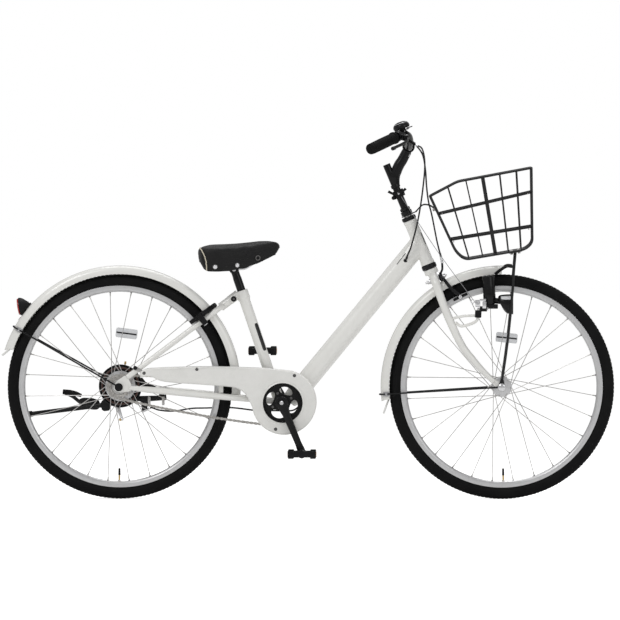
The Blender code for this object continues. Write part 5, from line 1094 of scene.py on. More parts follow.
def makeStem(quill, top, start, leaves, clamp, width, barAt, leverClamp):
    profile = [(0.0, start), (quill, start), (quill, top), (quill - 0.0032, top), (quill - 0.0032,
        top - 0.012), (0.0, top - 0.012)]
    post = turned(rounded(profile, 0.001, 3, False), steerFoot, steerUp, 48)
    socket = turned([(r, top - down) for r, down in ((0.0, 0.0118), (0.0052, 0.0118), (0.0052, 0.006),
        (0.003, 0.006), (0.003, 0.01), (0.0, 0.01))], steerFoot, steerUp, 24)
    middle = [steer(leaves), (0.812, 0, 0.95), (0.8175, 0, 0.969), (0.825, 0, 0.986), (0.8344, 0,
        1.0007), (0.8455, 0, 1.022), (0.849, 0, 1.03)]
    wide = np.interp(np.linspace(0, 1, 60), [0, 0.16, 0.5, 0.85, 1], [0.0108, 0.0156, 0.0158, 0.0146,
        0.0132])
    arm = tube(smoothPath(middle, 60), np.stack([wide, wide * 1.05], 1), 32)
    profile = [(0.0116, -width / 2), (clamp, -width / 2), (clamp, width / 2), (0.0116, width / 2)]
    clampShape = turned(rounded(profile, 0.0035, 6), barAt, yAxis, 56, True)
    pinch = np.array(barAt) - unit((0.55, 0, 0.83)) * 0.0145 + (0.006, 0, -0.012)
    dress("stem", (enamel, post, arm, clampShape, collar(steer(0.667), steerUp, 0.0109, 0.0138, 0.01,
        0.0012)), (darkSteel, socket), (chrome, knob(pinch - yAxis * 0.01, pinch + yAxis * 0.01,
        0.0062, 0.0014), hexNut(pinch + yAxis * 0.01, pinch + yAxis * 0.0145, 0.0058)))
    band = collar(steer(leverClamp), steerUp, 0.0113, 0.0172, 0.0215, 0.0012, 40)
    rib = collar(steer(leverClamp), steerUp, 0.0165, 0.0178, 0.008, 0.0008, 40)
    pin = knob(steer(leverClamp, 0, -0.014), steer(leverClamp, 0, -0.0255), 0.0029)
    screwAt = steer(leverClamp - 0.006, -0.0189)
    dress("light_lever_clamp", (plastic, band, rib, knob(screwAt - yAxis * 0.0155, screwAt + yAxis *
        0.011, 0.0058, 0.0016), block(screwAt + steerAhead * 0.005, (0.01, 0.014, 0.0125), steerAhead,
        yAxis, 0.001)), (chrome, pin))
    pivot = steer(leverClamp, 0, -0.0207)
    s = np.linspace(0, 1, 14)[:, None]
    wings = [tube(pivot - yAxis * 0.0004 + steerAhead * way * (0.006 + 0.0195 * s) + steerUp * (0.012 -
        0.006 * way) * s ** 1.5, np.hstack([0.003 + 0.001 * s, 0.0024 + 0.001 * s]), 14) for way in
        (-1, 1)]
    dress("light_lever", (plastic, collar(pivot, yAxis, 0.0032, 0.009, 0.0052, 0.0008), *wings))


makeStem(**stemValues)

# Bar, grips, brake levers: the same points for each hand, 1 the left and -1 the right
barBends = [(0.853, 0.0, 1.04), (0.853, 0.026, 1.04), (0.853, 0.04, 1.04), (0.856, 0.08, 1.055),
    (0.85, 0.12, 1.073), (0.8308, 0.158, 1.0756)]
gripStart, gripWay, perchWay = (0.8109, 0.188, 1.066), (-0.534, 0.805, -0.2565), (0.8455, 0.5085,
    -0.162)
adjusterEnd = (0.872, 0.152, 1.047)
barValues = dict(radius=0.011, grip=0.0163, gripLength=0.128, rings=17, perchBack=0.022, reach=0.03)


def gripPlace(hand):
    # where the grip starts, the ways outwards and forwards, and the middle of the brake's clamp
    start, outward, forward = sided(gripStart, hand), unit(sided(gripWay, hand)), unit(sided(perchWay,
        hand))
    return start, outward, forward, start - outward * barValues["perchBack"]


def adjuster(hand):
    # foot, end and way of the cable's adjuster
    _, outward, forward, clamp = gripPlace(hand)
    foot, end = clamp + forward * 0.019 - outward * 0.004, sided(adjusterEnd, hand)
    return foot, end, unit(end - foot)


def makeBar(radius, gripLength, **others):
    start, outward, *_ = gripPlace(1)
    half = np.vstack([barBends[:1], smoothPath(barBends[1:], 40), [start + outward * 0.02,
        start + outward * (gripLength - 0.006)]])
    whole = smoothPath(evenPath(np.vstack([sided(half[::-1], -1), half[1:]]), 60), 150)
    dress("handlebar", (enamel, tube(whole, radius, 28, xAxis + zAxis * 0.2)))


def gripShape(hand, grip, gripLength, rings, **others):
    # ribs: the radius follows a raised cosine along the grip, deeper towards the middle
    start, outward, *_ = gripPlace(hand)
    h = np.linspace(0.01, gripLength - 0.008, 220)
    share = (h - 0.01) / (gripLength - 0.018)
    ribs = 0.5 - 0.5 * np.cos(share * rings * 2 * math.pi)
    swell = grip - 0.0011 + 0.0004 * np.sin(share * math.pi)
    body = np.stack([swell + 0.0009 * np.clip(ribs * 1.6, 0, 1) * (share > 0.02) * (share < 0.98), h],
        1)
    bore, lip, tip = 0.0116, grip + 0.0019, gripLength
    mouth = [(0, tip - 0.004), (bore, tip - 0.004), (bore, 0), (lip - 0.0006, 0), (lip, 0.0006),
        (lip, 0.0038), (lip - 0.0006, 0.0045), (grip - 0.0012, 0.0065)]
    tail = [(grip - 0.0006, tip - 0.006), (grip - 0.0001, tip - 0.005), (grip - 0.0004, tip - 0.002),
        (grip * 0.86, tip - 0.0006), (grip * 0.55, tip), (grip * 0.4, tip), (grip * 0.36, tip - 0.0008),
        (0, tip - 0.0008)]
    return turned(np.vstack([mouth, body, tail])[::-1], start, outward, 56)


def brakePerch(hand, reach, **others):
    _, outward, forward, clamp = gripPlace(hand)
    side = np.cross(outward, forward)
    dark = [collar(clamp, outward, 0.0117, 0.0153, 0.0155, 0.0012, 40), block(clamp + forward * 0.0175,
        (0.009, 0.017, 0.0122), forward, side, 0.0012, 0.003), *[block(clamp + forward * 0.0265 + side
        * 0.0078 * turn, (0.0185, 0.013, 0.0023), forward, outward, 0.0005, 0.0052) for turn in (-1,
        1)]]
    pivot, pinch = clamp + forward * reach, clamp - forward * 0.0085
    foot, end, way = adjuster(hand)
    tall = np.linalg.norm(end - foot)
    bright = [knob(pivot - side * 0.0088, pivot + side * 0.0088, 0.0024), knob(pivot + side * 0.0086,
        pivot + side * 0.0098, 0.004, 0.0008), knob(pinch + side * 0.013, pinch - side * 0.013,
        0.0028), rods([foot], [foot + way * tall * 0.36], 0.0029, sides=18)]
    h = np.linspace(tall * 0.35, tall - 0.0012, 60)
    knurl = np.stack([0.0037 + 0.0004 * np.sign(np.sin(h * 4200.0)), h], 1)
    barrel = turned(np.vstack([[(0, tall * 0.3), (0.0036, tall * 0.3)], knurl, [(0.0034, tall),
        (0, tall)]]), foot, way, 30)
    return (enamel, *dark, barrel), (chrome, *bright)


def brakeLever(hand, reach, **others):
    _, outward, forward, clamp = gripPlace(hand)
    side = np.cross(outward, forward)
    pivot = clamp + forward * reach
    eye = collar(pivot, side, 0.0029, 0.006, 0.0122, 0.0008)
    steps = [(0.002, 0.002), (0.012, 0.0105), (0.028, 0.0192), (0.06, 0.0222), (0.09, 0.0215), (0.106,
        0.022)]
    line = smoothPath([pivot + outward * out + forward * ahead for out, ahead in steps], 60)
    s = np.linspace(0, 1, 60)
    tipSwell = np.exp(-((s - 1) / 0.045) ** 2)
    thick = 0.003 + 0.0012 * np.exp(-(s / 0.12) ** 2) + 0.0022 * tipSwell
    blade = tube(line, np.stack([thick, 0.0044 + 0.0006 * np.sin(s * math.pi) + 0.0009 * tipSwell], 1),
        22, side)
    return eye, blade, knob(line[-1] - outward * 0.002, line[-1] + outward * 0.0058, 0.0058, 0.0028)


makeBar(**barValues)
for hand, name in ((-1, "right"), (1, "left")):
    dress("grip_" + name, (gripRubber, gripShape(hand, **barValues)), ending="_ribbed", sharpAt=60)
    dress("brake_perch_" + name, *brakePerch(hand, **barValues))
    dress("brake_lever_" + name, (enamel, *brakeLever(hand, **barValues)))

# Bell on the right of the bar
bellValues = dict(y=0.137, radius=0.0248, sides=72)


def makeBell(y, radius, sides):
    up = unit((-0.35, 0, 0.937))
    ahead = np.array([up[2], 0, -up[0]])
    curve = sided(smoothPath([barBends[0], *barBends[2:]], 40), -1)
    index = int(np.argmin(np.abs(curve[:, 1] + y)))
    spot, way = curve[index], unit(curve[index + 1] - curve[index - 1])
    pivot, base = spot + up * 0.01575 + ahead * 0.0155, spot + up * 0.0185
    low = [(0, 0), (radius - 0.003, 0), (radius - 0.0015, 0.0008), (radius - 0.0013, 0.005),
        (0, 0.005)]
    a = np.linspace(0, math.pi / 2, 26)
    crown = np.stack([radius * np.cos(a) ** 0.8, 0.0066 + 0.0154 * np.sin(a)], 1)
    edge = [(0, 0.004), (radius - 0.004, 0.004), (radius - 0.002, 0.0034), (radius - 0.0002, 0.0034),
        (radius, 0.0042), (radius, 0.006)]
    dome = turned(np.vstack([edge, crown[:-1], [(0, 0.022)]]), base, up, sides)
    dress("bell", (plastic, turned(low, base, up, sides), collar(spot, way, 0.0122, 0.0143, 0.01,
        0.0007, 40), knob(spot + up * 0.0125, base + up * 0.001, 0.01, 0.0008),
        block(spot + up * 0.0125 + ahead * 0.009, (0.022, 0.009, 0.0019), ahead, yAxis, 0.0004, 0.003)),
        (enamel, dome, knob(base + up * 0.0205, base + up * 0.0218, 0.0035, 0.0007)), (chrome,
        collar(base + up * 0.0171, up, radius * 0.76, radius * 0.808, 0.0012, 0.0003, sides),
        knob(pivot - up * 0.003, pivot + up * 0.0022, 0.002)), ending="_domed")
    dress("bell_lever", (plastic, collar(pivot, up, 0.0023, 0.0042, 0.0033, 0.0004), block(pivot + ahead
        * 0.0085, (0.0138, 0.0054, 0.0029), ahead, yAxis, 0.0007, 0.0022)))


makeBell(**bellValues)
print("bar ready")


# Drive
driveValues = dict(pitch=0.0127, ringTeeth=34, cogTeeth=16, line=0.043, sag=0.008, crank=0.16,
    turn=-67.5, crankY=0.0865, pedalY=0.145)


def pitchRadius(teeth):
    return driveValues["pitch"] / (2 * math.sin(math.pi / teeth))


def gear(centre, teeth, valley=0.0036, peak=0.0028):
    # radius = pitch radius + a clipped wave with one crest for each tooth
    a = np.linspace(0, 360, teeth * 12, endpoint=False)
    wave = np.clip(np.cos(teeth * np.radians(a)) * 1.5, -1, 1)
    return polar(centre, pitchRadius(teeth) + (peak - valley) / 2 + (peak + valley) / 2 * wave, a)[:,
        [0, 2]]


def chainPath(ringTeeth, cogTeeth, line, sag, proud=0.0018):
    # round the ring, straight over to the cog, round it, and back with a parabola's sag
    big, small = pitchRadius(ringTeeth) + proud, pitchRadius(cogTeeth) + proud
    rise = rearAxle[2] - crankAxle[2]
    base = math.atan2(-rise, crankAxle[0])
    lean = math.acos((big - small) / math.hypot(crankAxle[0], rise))
    first = polar(crankAxle, big, np.degrees(np.linspace(base - lean, base + lean, 90)))
    second = polar(rearAxle, small, np.degrees(np.linspace(base + lean, base + 2 * math.pi - lean, 60)))
    t = np.linspace(0, 1, 40)[1:-1, None]
    over = first[-1] + (second[0] - first[-1]) * t
    back = second[-1] + (first[0] - second[-1]) * t - zAxis * sag * 4 * t * (1 - t)
    return np.vstack([first, over, second, back, first[:1]]) - yAxis * line


def makeChain(pitch, ringTeeth, cogTeeth, line, sag, **others):
    path = chainPath(ringTeeth, cogTeeth, line, sag)
    count = int(round(along(path)[-1] / pitch / 2)) * 2
    pins = evenPath(path, count + 1)[:-1]
    middle, way = (pins + np.roll(pins, -1, 0)) / 2, unit(np.roll(pins, -1, 0) - pins)
    up = np.cross(way, -yAxis)
    a = np.linspace(0.5, 1.5, 6) * math.pi
    left = np.stack([-pitch / 2 + 0.004 * np.cos(a), 0.004 * np.sin(a)], 1)
    plate = np.vstack([left, [(0, -0.0028)], -left, [(0, 0.0028)]])
    plates = []
    for first, y in ((0, 0.0033), (0, -0.0033), (1, 0.0021), (1, -0.0021)):
        ring = np.array([np.insert(plate, 2, y + level, axis=1) for level in (-0.0005, 0.0005)])
        plates.append(placed(grid(ring, closeV=True, caps=True), middle[first::2], way[first::2],
            up[first::2]))
    rollers = rods(pins - yAxis * 0.0018, pins + yAxis * 0.0018, 0.0039, sides=10)
    dress("chain", (chainSteel, *plates, rollers), (steel, rods(pins - yAxis * 0.0044, pins + yAxis *
        0.0044, 0.0017)), ending="_linked")


def caseOutline():
    rear = [(0.064, 0.36), (0.0935, 0.3625), (0.1345, 0.3477), (0.24, 0.3394), (0.3275, 0.3327),
        (0.353, 0.326), (0.372, 0.312), (0.385, 0.29)]
    arc = polar((0.487, 0, 0.287), 0.0955, np.linspace(-172, 80, 40))[:, [0, 2]]
    top = [(0.44, 0.3875), (0.39, 0.39), (0.2788, 0.3935), (0.18, 0.392), (0.0935, 0.3885), (0.0705,
        0.382), (0.0615, 0.3715)]
    return smoothPath(np.vstack([rear, arc, top, rear[:1]]), 220)[:-1]


def makeCase(inner=-0.0402, outer=-0.0743, wall=0.0022):
    # rim wall and lip carried round the outline; the faces are filled between it and the round hole
    outline = caseOutline()
    levels = [(inner, wall), (inner, 0.0), (outer + 0.006, 0.0), (outer + 0.0034, 0.0006),
        (outer + 0.0014, 0.0022), (outer + 0.0004, 0.0045), (outer, 0.0075), (outer + wall, 0.0085),
        (outer + wall + 0.002, 0.004), (outer + wall + 0.005, wall)]
    rings = [np.insert(drawnIn(outline, inset), 1, y, axis=1) for y, inset in levels]
    turns = np.linspace(0, 360, 96, endpoint=False)
    lip = [(0.0655, outer), (0.064, outer + 0.0012), (0.062, outer + 0.0016), (0.06,
        outer + 0.0002), (0.0592, outer - 0.0001), (0.0585, outer + 0.0006), (0.0585, outer + wall),
        (0.0655, outer + wall)]
    lipRows = np.array([polar((0.483, 0, 0.2855), r, turns, y) for r, y in lip])
    bm = bmesh.new()
    for border, hole in ((rings[6], lipRows[0]), (rings[7], lipRows[-1])):
        edges = []
        for loop in (border, hole):
            verts = [bm.verts.new(p) for p in loop]
            edges += [bm.edges.new((verts[k - 1], verts[k])) for k in range(len(verts))]
        bmesh.ops.triangle_fill(bm, edges=edges, use_beauty=True)
    sheet = takenFrom(bm)
    case = grid(np.array(rings[:7]), closeV=True), grid(np.array(rings[7:] + rings[:1]),
        closeV=True), grid(lipRows, closeV=True), sheet
    spots = [np.array([x, outer, z]) for x, z in ((0.0745, 0.3735), (0.5175, 0.3665), (0.462, 0.2085),
        (0.23, 0.385))]
    washers = [knob(spot + yAxis * 0.0004, spot - yAxis * 0.0008, 0.0048, 0.0006) for spot in spots]
    screws = [knob(spot - yAxis * 0.0006, spot - yAxis * 0.0026, 0.0034, 0.001) for spot in spots]
    foot = block((0.3, -0.0425, 0.3254), (0.014, 0.0216, 0.003), xAxis, zAxis, 0.0006)
    strap = slab(linkOutline((0.049, 0.388), 0.0058, (0.0745, 0.3735), 0.0048), 0.0016, (0, -0.068,
        0))
    stayBolt = knob((0.0482, -0.068, 0.3886), (0.0482, -0.0722, 0.3886), 0.0062, 0.0012)
    rib = roundRod([(x, -0.0745, z) for x, z in ((0.1, 0.3835), (0.2, 0.3868), (0.3, 0.3876), (0.385,
        0.3845))], 0.0011, 40, 8)
    dress("chain_case", (caseWhite, *case, foot, rib), (darkSteel, *screws), (steel, strap), (enamel,
        stayBolt, *washers), sharpAt=30)


def makeRing(line, ringTeeth, cogTeeth, **others):
    windows = []
    t = np.linspace(0, 2 * math.pi, 36, endpoint=False)
    for angle in (70, 160, 250, 340):
        windows.append(polar(crankAxle, 0.0365 + 0.0112 * np.sin(t), angle + np.degrees(0.56 *
            np.cos(t)))[:, [0, 2]])
    plate = holed(gear(crankAxle, ringTeeth), windows, 0.0038, -line, 0.0005)
    boss = turned(rounded([(0.009, 0.036), (0.0195, 0.036), (0.0195, 0.0585), (0.009, 0.0585)],
        0.001), crankAxle, -yAxis, 40, True)
    rimRing = turned(rounded([(0.05, line + 0.0016), (0.054, line + 0.0016), (0.054, line + 0.0032),
        (0.05, line + 0.0032)], 0.0007), crankAxle, -yAxis, 96, True)
    bolts = [knob(polar(crankAxle, 0.03, angle, -line - 0.0015), polar(crankAxle, 0.03, angle,
        -line - 0.005), 0.0042, 0.0009) for angle in (25, 115, 205, 295)]
    dress("chainring", (enamel, plate, boss, rimRing), (darkSteel, *bolts))
    for hand, name in ((-1, "right"), (1, "left")):
        makeCrank(hand, name, **driveValues)
    cog = slab(gear(rearAxle, cogTeeth), 0.0038, (0, -line, 0), bevel=0.0005)
    barrel = turned(rounded([(0.0146, 0.037), (0.0238, 0.037), (0.0238, 0.0475), (0.0215, 0.0512),
        (0.0146, 0.0512)], 0.001), rearAxle, -yAxis, 64, True)
    quarters = np.arange(0, 360, 90)
    notches = rods(polar(rearAxle, 0.0175, quarters, -0.0505), polar(rearAxle, 0.0175, quarters,
        -0.0515), 0.0016, sides=10)
    dress("freewheel", (chainSteel, cog), (steel, barrel), (darkSteel, notches))


def makeCrank(hand, name, crank, turn, crankY, pedalY, **others):
    end = polar(crankAxle, crank, turn + (0 if hand < 0 else 180))
    s = np.linspace(0, 1, 60)
    tall = np.interp(s, [0, 0.12, 0.25, 0.8, 0.92, 1], [0.0165, 0.0145, 0.0112, 0.0098, 0.0115, 0.0118])
    thick = np.interp(s, [0, 0.15, 0.9, 1], [0.0064, 0.0064, 0.006, 0.0058])
    arm = grid(carry(crankAxle + (end - crankAxle) * s[:, None] + yAxis * hand * crankY,
        softSquare(0.55), yAxis, size=np.stack([tall, thick], 1)), closeV=True, caps=True)
    y = lambda v, c=crankAxle: np.array([c[0], hand * v, c[2]])
    root = knob(y(0.0605 if hand < 0 else 0.0455), y(0.0905), 0.0186, 0.0016, 48)
    eye = knob(y(0.08, end), y(0.0928, end), 0.0124, 0.0016, 40)
    bare = [rods([y(0.09, end)], [y(0.1755, end)], 0.0055, sides=20), collar(y(0.0965, end), yAxis,
        0.0054, 0.0085, 0.0045)]
    if hand > 0:
        bare.append(rods([y(-0.0925)], [y(0.0865)], 0.0084, sides=24))
    dress("crank_" + name, (enamel, arm, root, eye), (plastic, knob(y(0.0895), y(0.0925), 0.0115,
        0.0012, 40)), (chrome, hexNut(y(0.0915), y(0.094), 0.0065)), (steel, *bare))
    makePedal(name, end + yAxis * hand * pedalY, hand)


def makePedal(name, centre, hand, long=0.085, wide=0.088, tall=0.026):
    # resin body: a barrel round the spindle, a front and a rear block with tread ribs, reflectors set in
    end = wide / 2 - 0.004
    barrel = turned(rounded([(0.0064, -wide / 2), (0.0115, -wide / 2), (0.01, 0), (0.0115, end),
        (0.0064, end)], 0.0015), centre, yAxis, 36, True)
    parts, ribs, lenses, rails = [barrel], [], [], []
    for way in (-1, 1):
        x = way * (long / 2 - 0.01)
        parts.append(block(centre + xAxis * x, (0.0185, wide - 0.002, tall - 0.006), bevel=0.002,
            corner=0.005))
        ribs += [block(centre + (x, y, 0), (0.016, 0.0038, tall - 0.0004), bevel=0.0007) for y in
            np.linspace(-0.033, 0.033, 9)]
        lenses.append(block(centre + xAxis * way * (long / 2 - 0.0006), (0.0012, 0.05, 0.013),
            bevel=0.0005, corner=0.0005))
        rails += [block(centre + (way * (long / 2 - 0.001), 0, z), (0.0018, wide - 0.012, 0.0016),
            bevel=0.0004) for z in (0.0085, -0.0085)]
    for y, deep in ((-wide / 2 + 0.005, 0.009), (wide / 2 - 0.005, 0.009), (0.0, 0.006)):
        parts.append(block(centre + yAxis * y, (long - 0.012, deep, tall - 0.0085), bevel=0.0015,
            corner=0.003))
    cap = knob(centre + yAxis * hand * (wide / 2 - 0.003), centre + yAxis * hand * wide / 2, 0.0085,
        0.0014)
    dress("pedal_" + name, (plastic, *parts, cap), (gripRubber, *ribs), (amberLens, *lenses), (chrome,
        *rails))


makeChain(**driveValues)
makeCase()
makeRing(**driveValues)
print("drive ready")


# Basket, its stays and its bracket
basketValues = dict(bands=(0.22, 0.68), shares=(0.175, 0.353, 0.688, 0.853), middle=0.519,
    across=(-0.68, -0.34, 0.34, 0.68), rim=0.0032, edge=0.0029, thin=0.002, corner=0.03)
basketHalf = (0.149, 0.179)
basketTop = np.array([(0.9163, 0.8949), (0.9974, 0.9378), (1.2146, 0.9782)])
basketFloor = np.array([(0.9922, 0.731), (1.0185, 0.7082), (1.1957, 0.7384), (1.2177, 0.7576)])
wireBlack = plainFinish("black_coated_wire", (0.0035, 0.0035, 0.004), (0.008, 0.008, 0.009), 0.34, 0.12,
    grain=1100.0, depth=0.00004, coat=0.1, Specular_IOR_Level=0.35)


def basketPoint(share, across, up):
    # up runs from the floor line to the top line, across from one side panel to the other
    ends = []
    for line in (basketFloor, basketTop):
        x = line[0, 0] + (line[-1, 0] - line[0, 0]) * share
        ends.append(np.array([x, np.interp(x, *line.T)]))
    x, z = ends[0] + (ends[1] - ends[0]) * up
    return np.array([x, across * (basketHalf[0] + (basketHalf[1] - basketHalf[0]) * up), z])


def wire(corners, radius, bend, closed=False, sides=10):
    # bar bent round the corners of a route; radius may be a pair for a flat strip
    corners = np.array(corners)
    middle = corners.mean(0)
    ref = zAxis if closed else unit(np.cross(corners[1] - corners[0], middle - corners[0]) + 1e-9)
    return tube(rounded(corners, bend, 8, closed), radius, sides, ref, closed)


def makeBasket(bands, shares, middle, across, rim, edge, thin, corner):
    top = [basketPoint(s, a, 1.0) for s, a in ((0, -1), (0.2718, -1), (1, -1), (1, 1), (0.2718, 1),
        (0, 1))]
    shapes = [wire(top, rim, 0.012, True, 14)]
    for s, radius in [*[(share, thin) for share in shares], (middle, np.array([[0.0016, 0.0055]]))]:
        shapes.append(wire([basketPoint(s, a, u) for a, u in ((-1, 1), (-1, 0.0), (1, 0.0), (1, 1))],
            radius, corner * 0.8))
    for a in (-1, *across, 1):
        corners = [basketPoint(s, a, u) for s, u in ((0, 1), (0, 0), (0.1166, 0), (0.9024, 0), (1, 0),
            (1, 1))]
        shapes.append(wire(corners, edge if abs(a) == 1 else thin, corner))
    for up in bands:
        ring = np.array([basketPoint(s, a, up) for s, a in ((0, -1), (1, -1), (1, 1), (0, 1))])
        shapes.append(wire(ring + unit(ring - ring.mean(0)) * 0.0016, np.array([[0.0013, 0.0034]]),
            0.016, True, 12))
    rivets = [rods([basketPoint(s, hand, up)], [basketPoint(s, hand * 1.021, up)], 0.0019, 0.0013,
        10) for up in bands for s in (0.045, 0.955) for hand in (-1, 1)]
    dress("basket", (wireBlack, *shapes), (steel, *rivets), ending="_woven")


def makeStays(legRadius=0.004, legY=0.08):
    slope = unit((0.1772, 0, 0.0302))
    below = np.array([slope[2], 0, -slope[0]])
    clip = np.array([1.167, 0, 0.7335]) + below * 0.0034
    dark = [block(clip, (0.039, 0.199, 0.0028), slope, yAxis, 0.0009, 0.008), block(clip - below *
        0.0046, (0.03, 0.125, 0.0016), slope, yAxis, 0.0005, 0.006)]
    outline = linkOutline(frontAxle[[0, 2]], 0.0098, (1.1285, 0.354), 0.0048)
    links, bolts = [], []
    for hand in (-1, 1):
        y, eyeY = hand * legY, hand * 0.0606
        leg = [clip + yAxis * y + below * 0.001, (1.1625, y, 0.668), (1.159, y, 0.611), (1.149, y,
            0.505), (1.14, hand * 0.0728, 0.43), (1.1335, hand * 0.0665, 0.385), (1.129, eyeY,
            0.356)]
        dark += [roundRod(leg, legRadius, 60, 16, xAxis), holed(outline, [frontAxle[[0, 2]] +
            ovalProfile(0.005, None, 24)], 0.0028, eyeY)]
        link = [(1.108, 0.0287, 0.6645), (1.127, 0.043, 0.6795), (1.143, 0.058, 0.6885), (1.158, 0.076,
            0.688)]
        links.append(tube(smoothPath(sided(link, hand), 30), np.array([[0.0046, 0.0014]]), 12))
        for x in (-0.011, 0.011):
            at = clip + slope * x + yAxis * hand * 0.052
            bolts += [hexNut(at + below * 0.0012, at + below * 0.0062, 0.0048),
                knob(at - below * 0.0032, at - below * 0.0068, 0.0056, 0.0014)]
    dress("basket_stays", (wireBlack, *dark), (steel, *bolts))
    piece("fender_links", "steering", (wireBlack, *links), slot="basket_stays")


def makeBracket():
    at = forkValues["nutStart"] - 0.0003 - 0.002
    dark = [collar(steer(at), steerUp, 0.0133, 0.0187, 0.0037, 0.0006, 40), block(steer(at, 0.0235),
        (0.013, 0.033, 0.0032), steerAhead, yAxis, 0.0008, 0.004)]
    clamps = []
    for hand in (-1, 1):
        arm = sided([(0.893, 0.03, 0.8675), (0.909, 0.037, 0.869), (0.9215, 0.042, 0.864), (0.9305,
            0.045, 0.8565)], hand)
        dark.append(roundRod([steer(at, 0.026, hand * 0.0125), *arm], 0.0021, 40, 14))
        spot = np.array([0.9315, hand * 0.045, 0.8565])
        clamps += [block(spot, (0.006, 0.026, 0.012), unit((0.9, 0, 0.38)), yAxis, 0.0012, 0.003),
            hexNut(spot + (-0.003, 0, -0.002), spot + (-0.0075, 0, -0.004), 0.0042)]
    dress("basket_bracket", (wireBlack, *dark), (steel, *clamps))


makeBasket(**basketValues)
makeStays()
makeBracket()
print("basket ready")


# Front brake
caliperValues = dict(at=0.3674, padAngle=114.7, padRadius=0.292, padY=0.0206)
frontCableEnd = np.array([0.948, -0.03, 0.7177])
frontCable = [(0.8945, -0.141, 1.018), (0.903, -0.132, 0.975), (0.9065, -0.112, 0.9245), (0.912, -0.095,
    0.88), (0.9225, -0.075, 0.836), (0.937, -0.052, 0.762)]
frontCableWay = unit(frontCableEnd - np.array(frontCable[-1]))


def makeCaliper(hand, name, at, padAngle, padRadius, padY):
    ahead = 0.0236 if hand < 0 else 0.0166
    pad = lambda out, radius=padRadius: polar(frontAxle, radius, padAngle, hand * out)
    tangent = heading(padAngle + 90)
    route = smoothPath([steer(at, ahead, hand * 0.004), steer(at + 0.0005, ahead, hand * 0.02),
        steer(0.357, ahead + 0.003, hand * 0.0345), steer(0.325, 0.036, hand * 0.0365), pad(0.036,
        padRadius + 0.006)], 50)
    wide = np.interp(np.linspace(0, 1, 50), [0, 0.3, 0.8, 1], [0.004, 0.0046, 0.0052, 0.0058])
    dark = [tube(route, np.stack([np.full(50, 0.003), wide], 1), 16, steerAhead + yAxis * 0.15),
        collar(steer(at, ahead), steerAhead, 0.0034, 0.009, 0.0048, 0.0009, 32),
        block(pad(padY + 0.0038), (0.04, 0.0036, 0.0072), tangent, yAxis, 0.001, 0.001),
        knob(pad(0.0335), pad(0.0385), 0.0072, 0.001)]
    shoe = block(pad(padY - 0.002), (0.045, 0.0078, 0.0082), tangent, yAxis, 0.0012, 0.002)
    spring = [steer(at + 0.008, ahead + 0.0034, hand * 0.003), steer(at + 0.004, ahead + 0.0034,
        hand * 0.016), steer(0.352, ahead + 0.007, hand * 0.03), steer(0.336, 0.0345, hand * 0.0325)]
    bright = [rods([pad(padY + 0.004)], [pad(padY + 0.0212)], 0.003, sides=16),
        knob(pad(padY + 0.0178), pad(padY + 0.0232), 0.0058, 0.0024), roundRod(spring, 0.0009, 30, 8,
        steerAhead)]
    if hand < 0:
        first = frontCableEnd + frontCableWay * 0.022
        dark.append(roundRod([steer(at, ahead, -0.001), steer(0.378, ahead + 0.0004, -0.006),
            steer(0.388, 0.033, -0.012), first - frontCableWay * 0.004], 0.0032, 30, 14))
        barrel = [(0, 0), (0.004, 0), (0.004, 0.006), (0.003, 0.0065), (0.003, 0.014), (0.0036,
            0.0145), (0.0036, 0.0212), (0, 0.0212)]
        bright += [turned(barrel, first, -frontCableWay, 24), hexNut(first - frontCableWay * 0.0075,
            first - frontCableWay * 0.011, 0.0047)]
    else:
        clamp = steer(at + 0.012, ahead + 0.001, -0.008)
        dark.append(roundRod([steer(at, ahead, 0.001), steer(at + 0.007, ahead, -0.003), clamp], 0.003,
            20, 12, steerAhead))
        bright.append(hexNut(clamp - steerAhead * 0.003, clamp + steerAhead * 0.004, 0.0044))
    dress("caliper_arm_" + name, (enamel, *dark), (gripRubber, shoe), (chrome, *bright))


for hand, name in ((-1, "right"), (1, "left")):
    makeCaliper(hand, name, **caliperValues)

# Rear band brake, on the left of the hub
brakeWay = np.array([0.9334, 0, 0.3589])
brakeAnchor = np.array([0.0707, 0.0555, 0.2595])
brakeArmEnd = np.array([0.0045, 0.0555, 0.234])
brakeArmPivot = brakeArmEnd + np.array([-brakeWay[2], 0, brakeWay[0]]) * 0.0441
brakeValues = dict(radius=0.0638, y=0.0508, wall=0.0025, lip=0.0342, armY=0.0537)


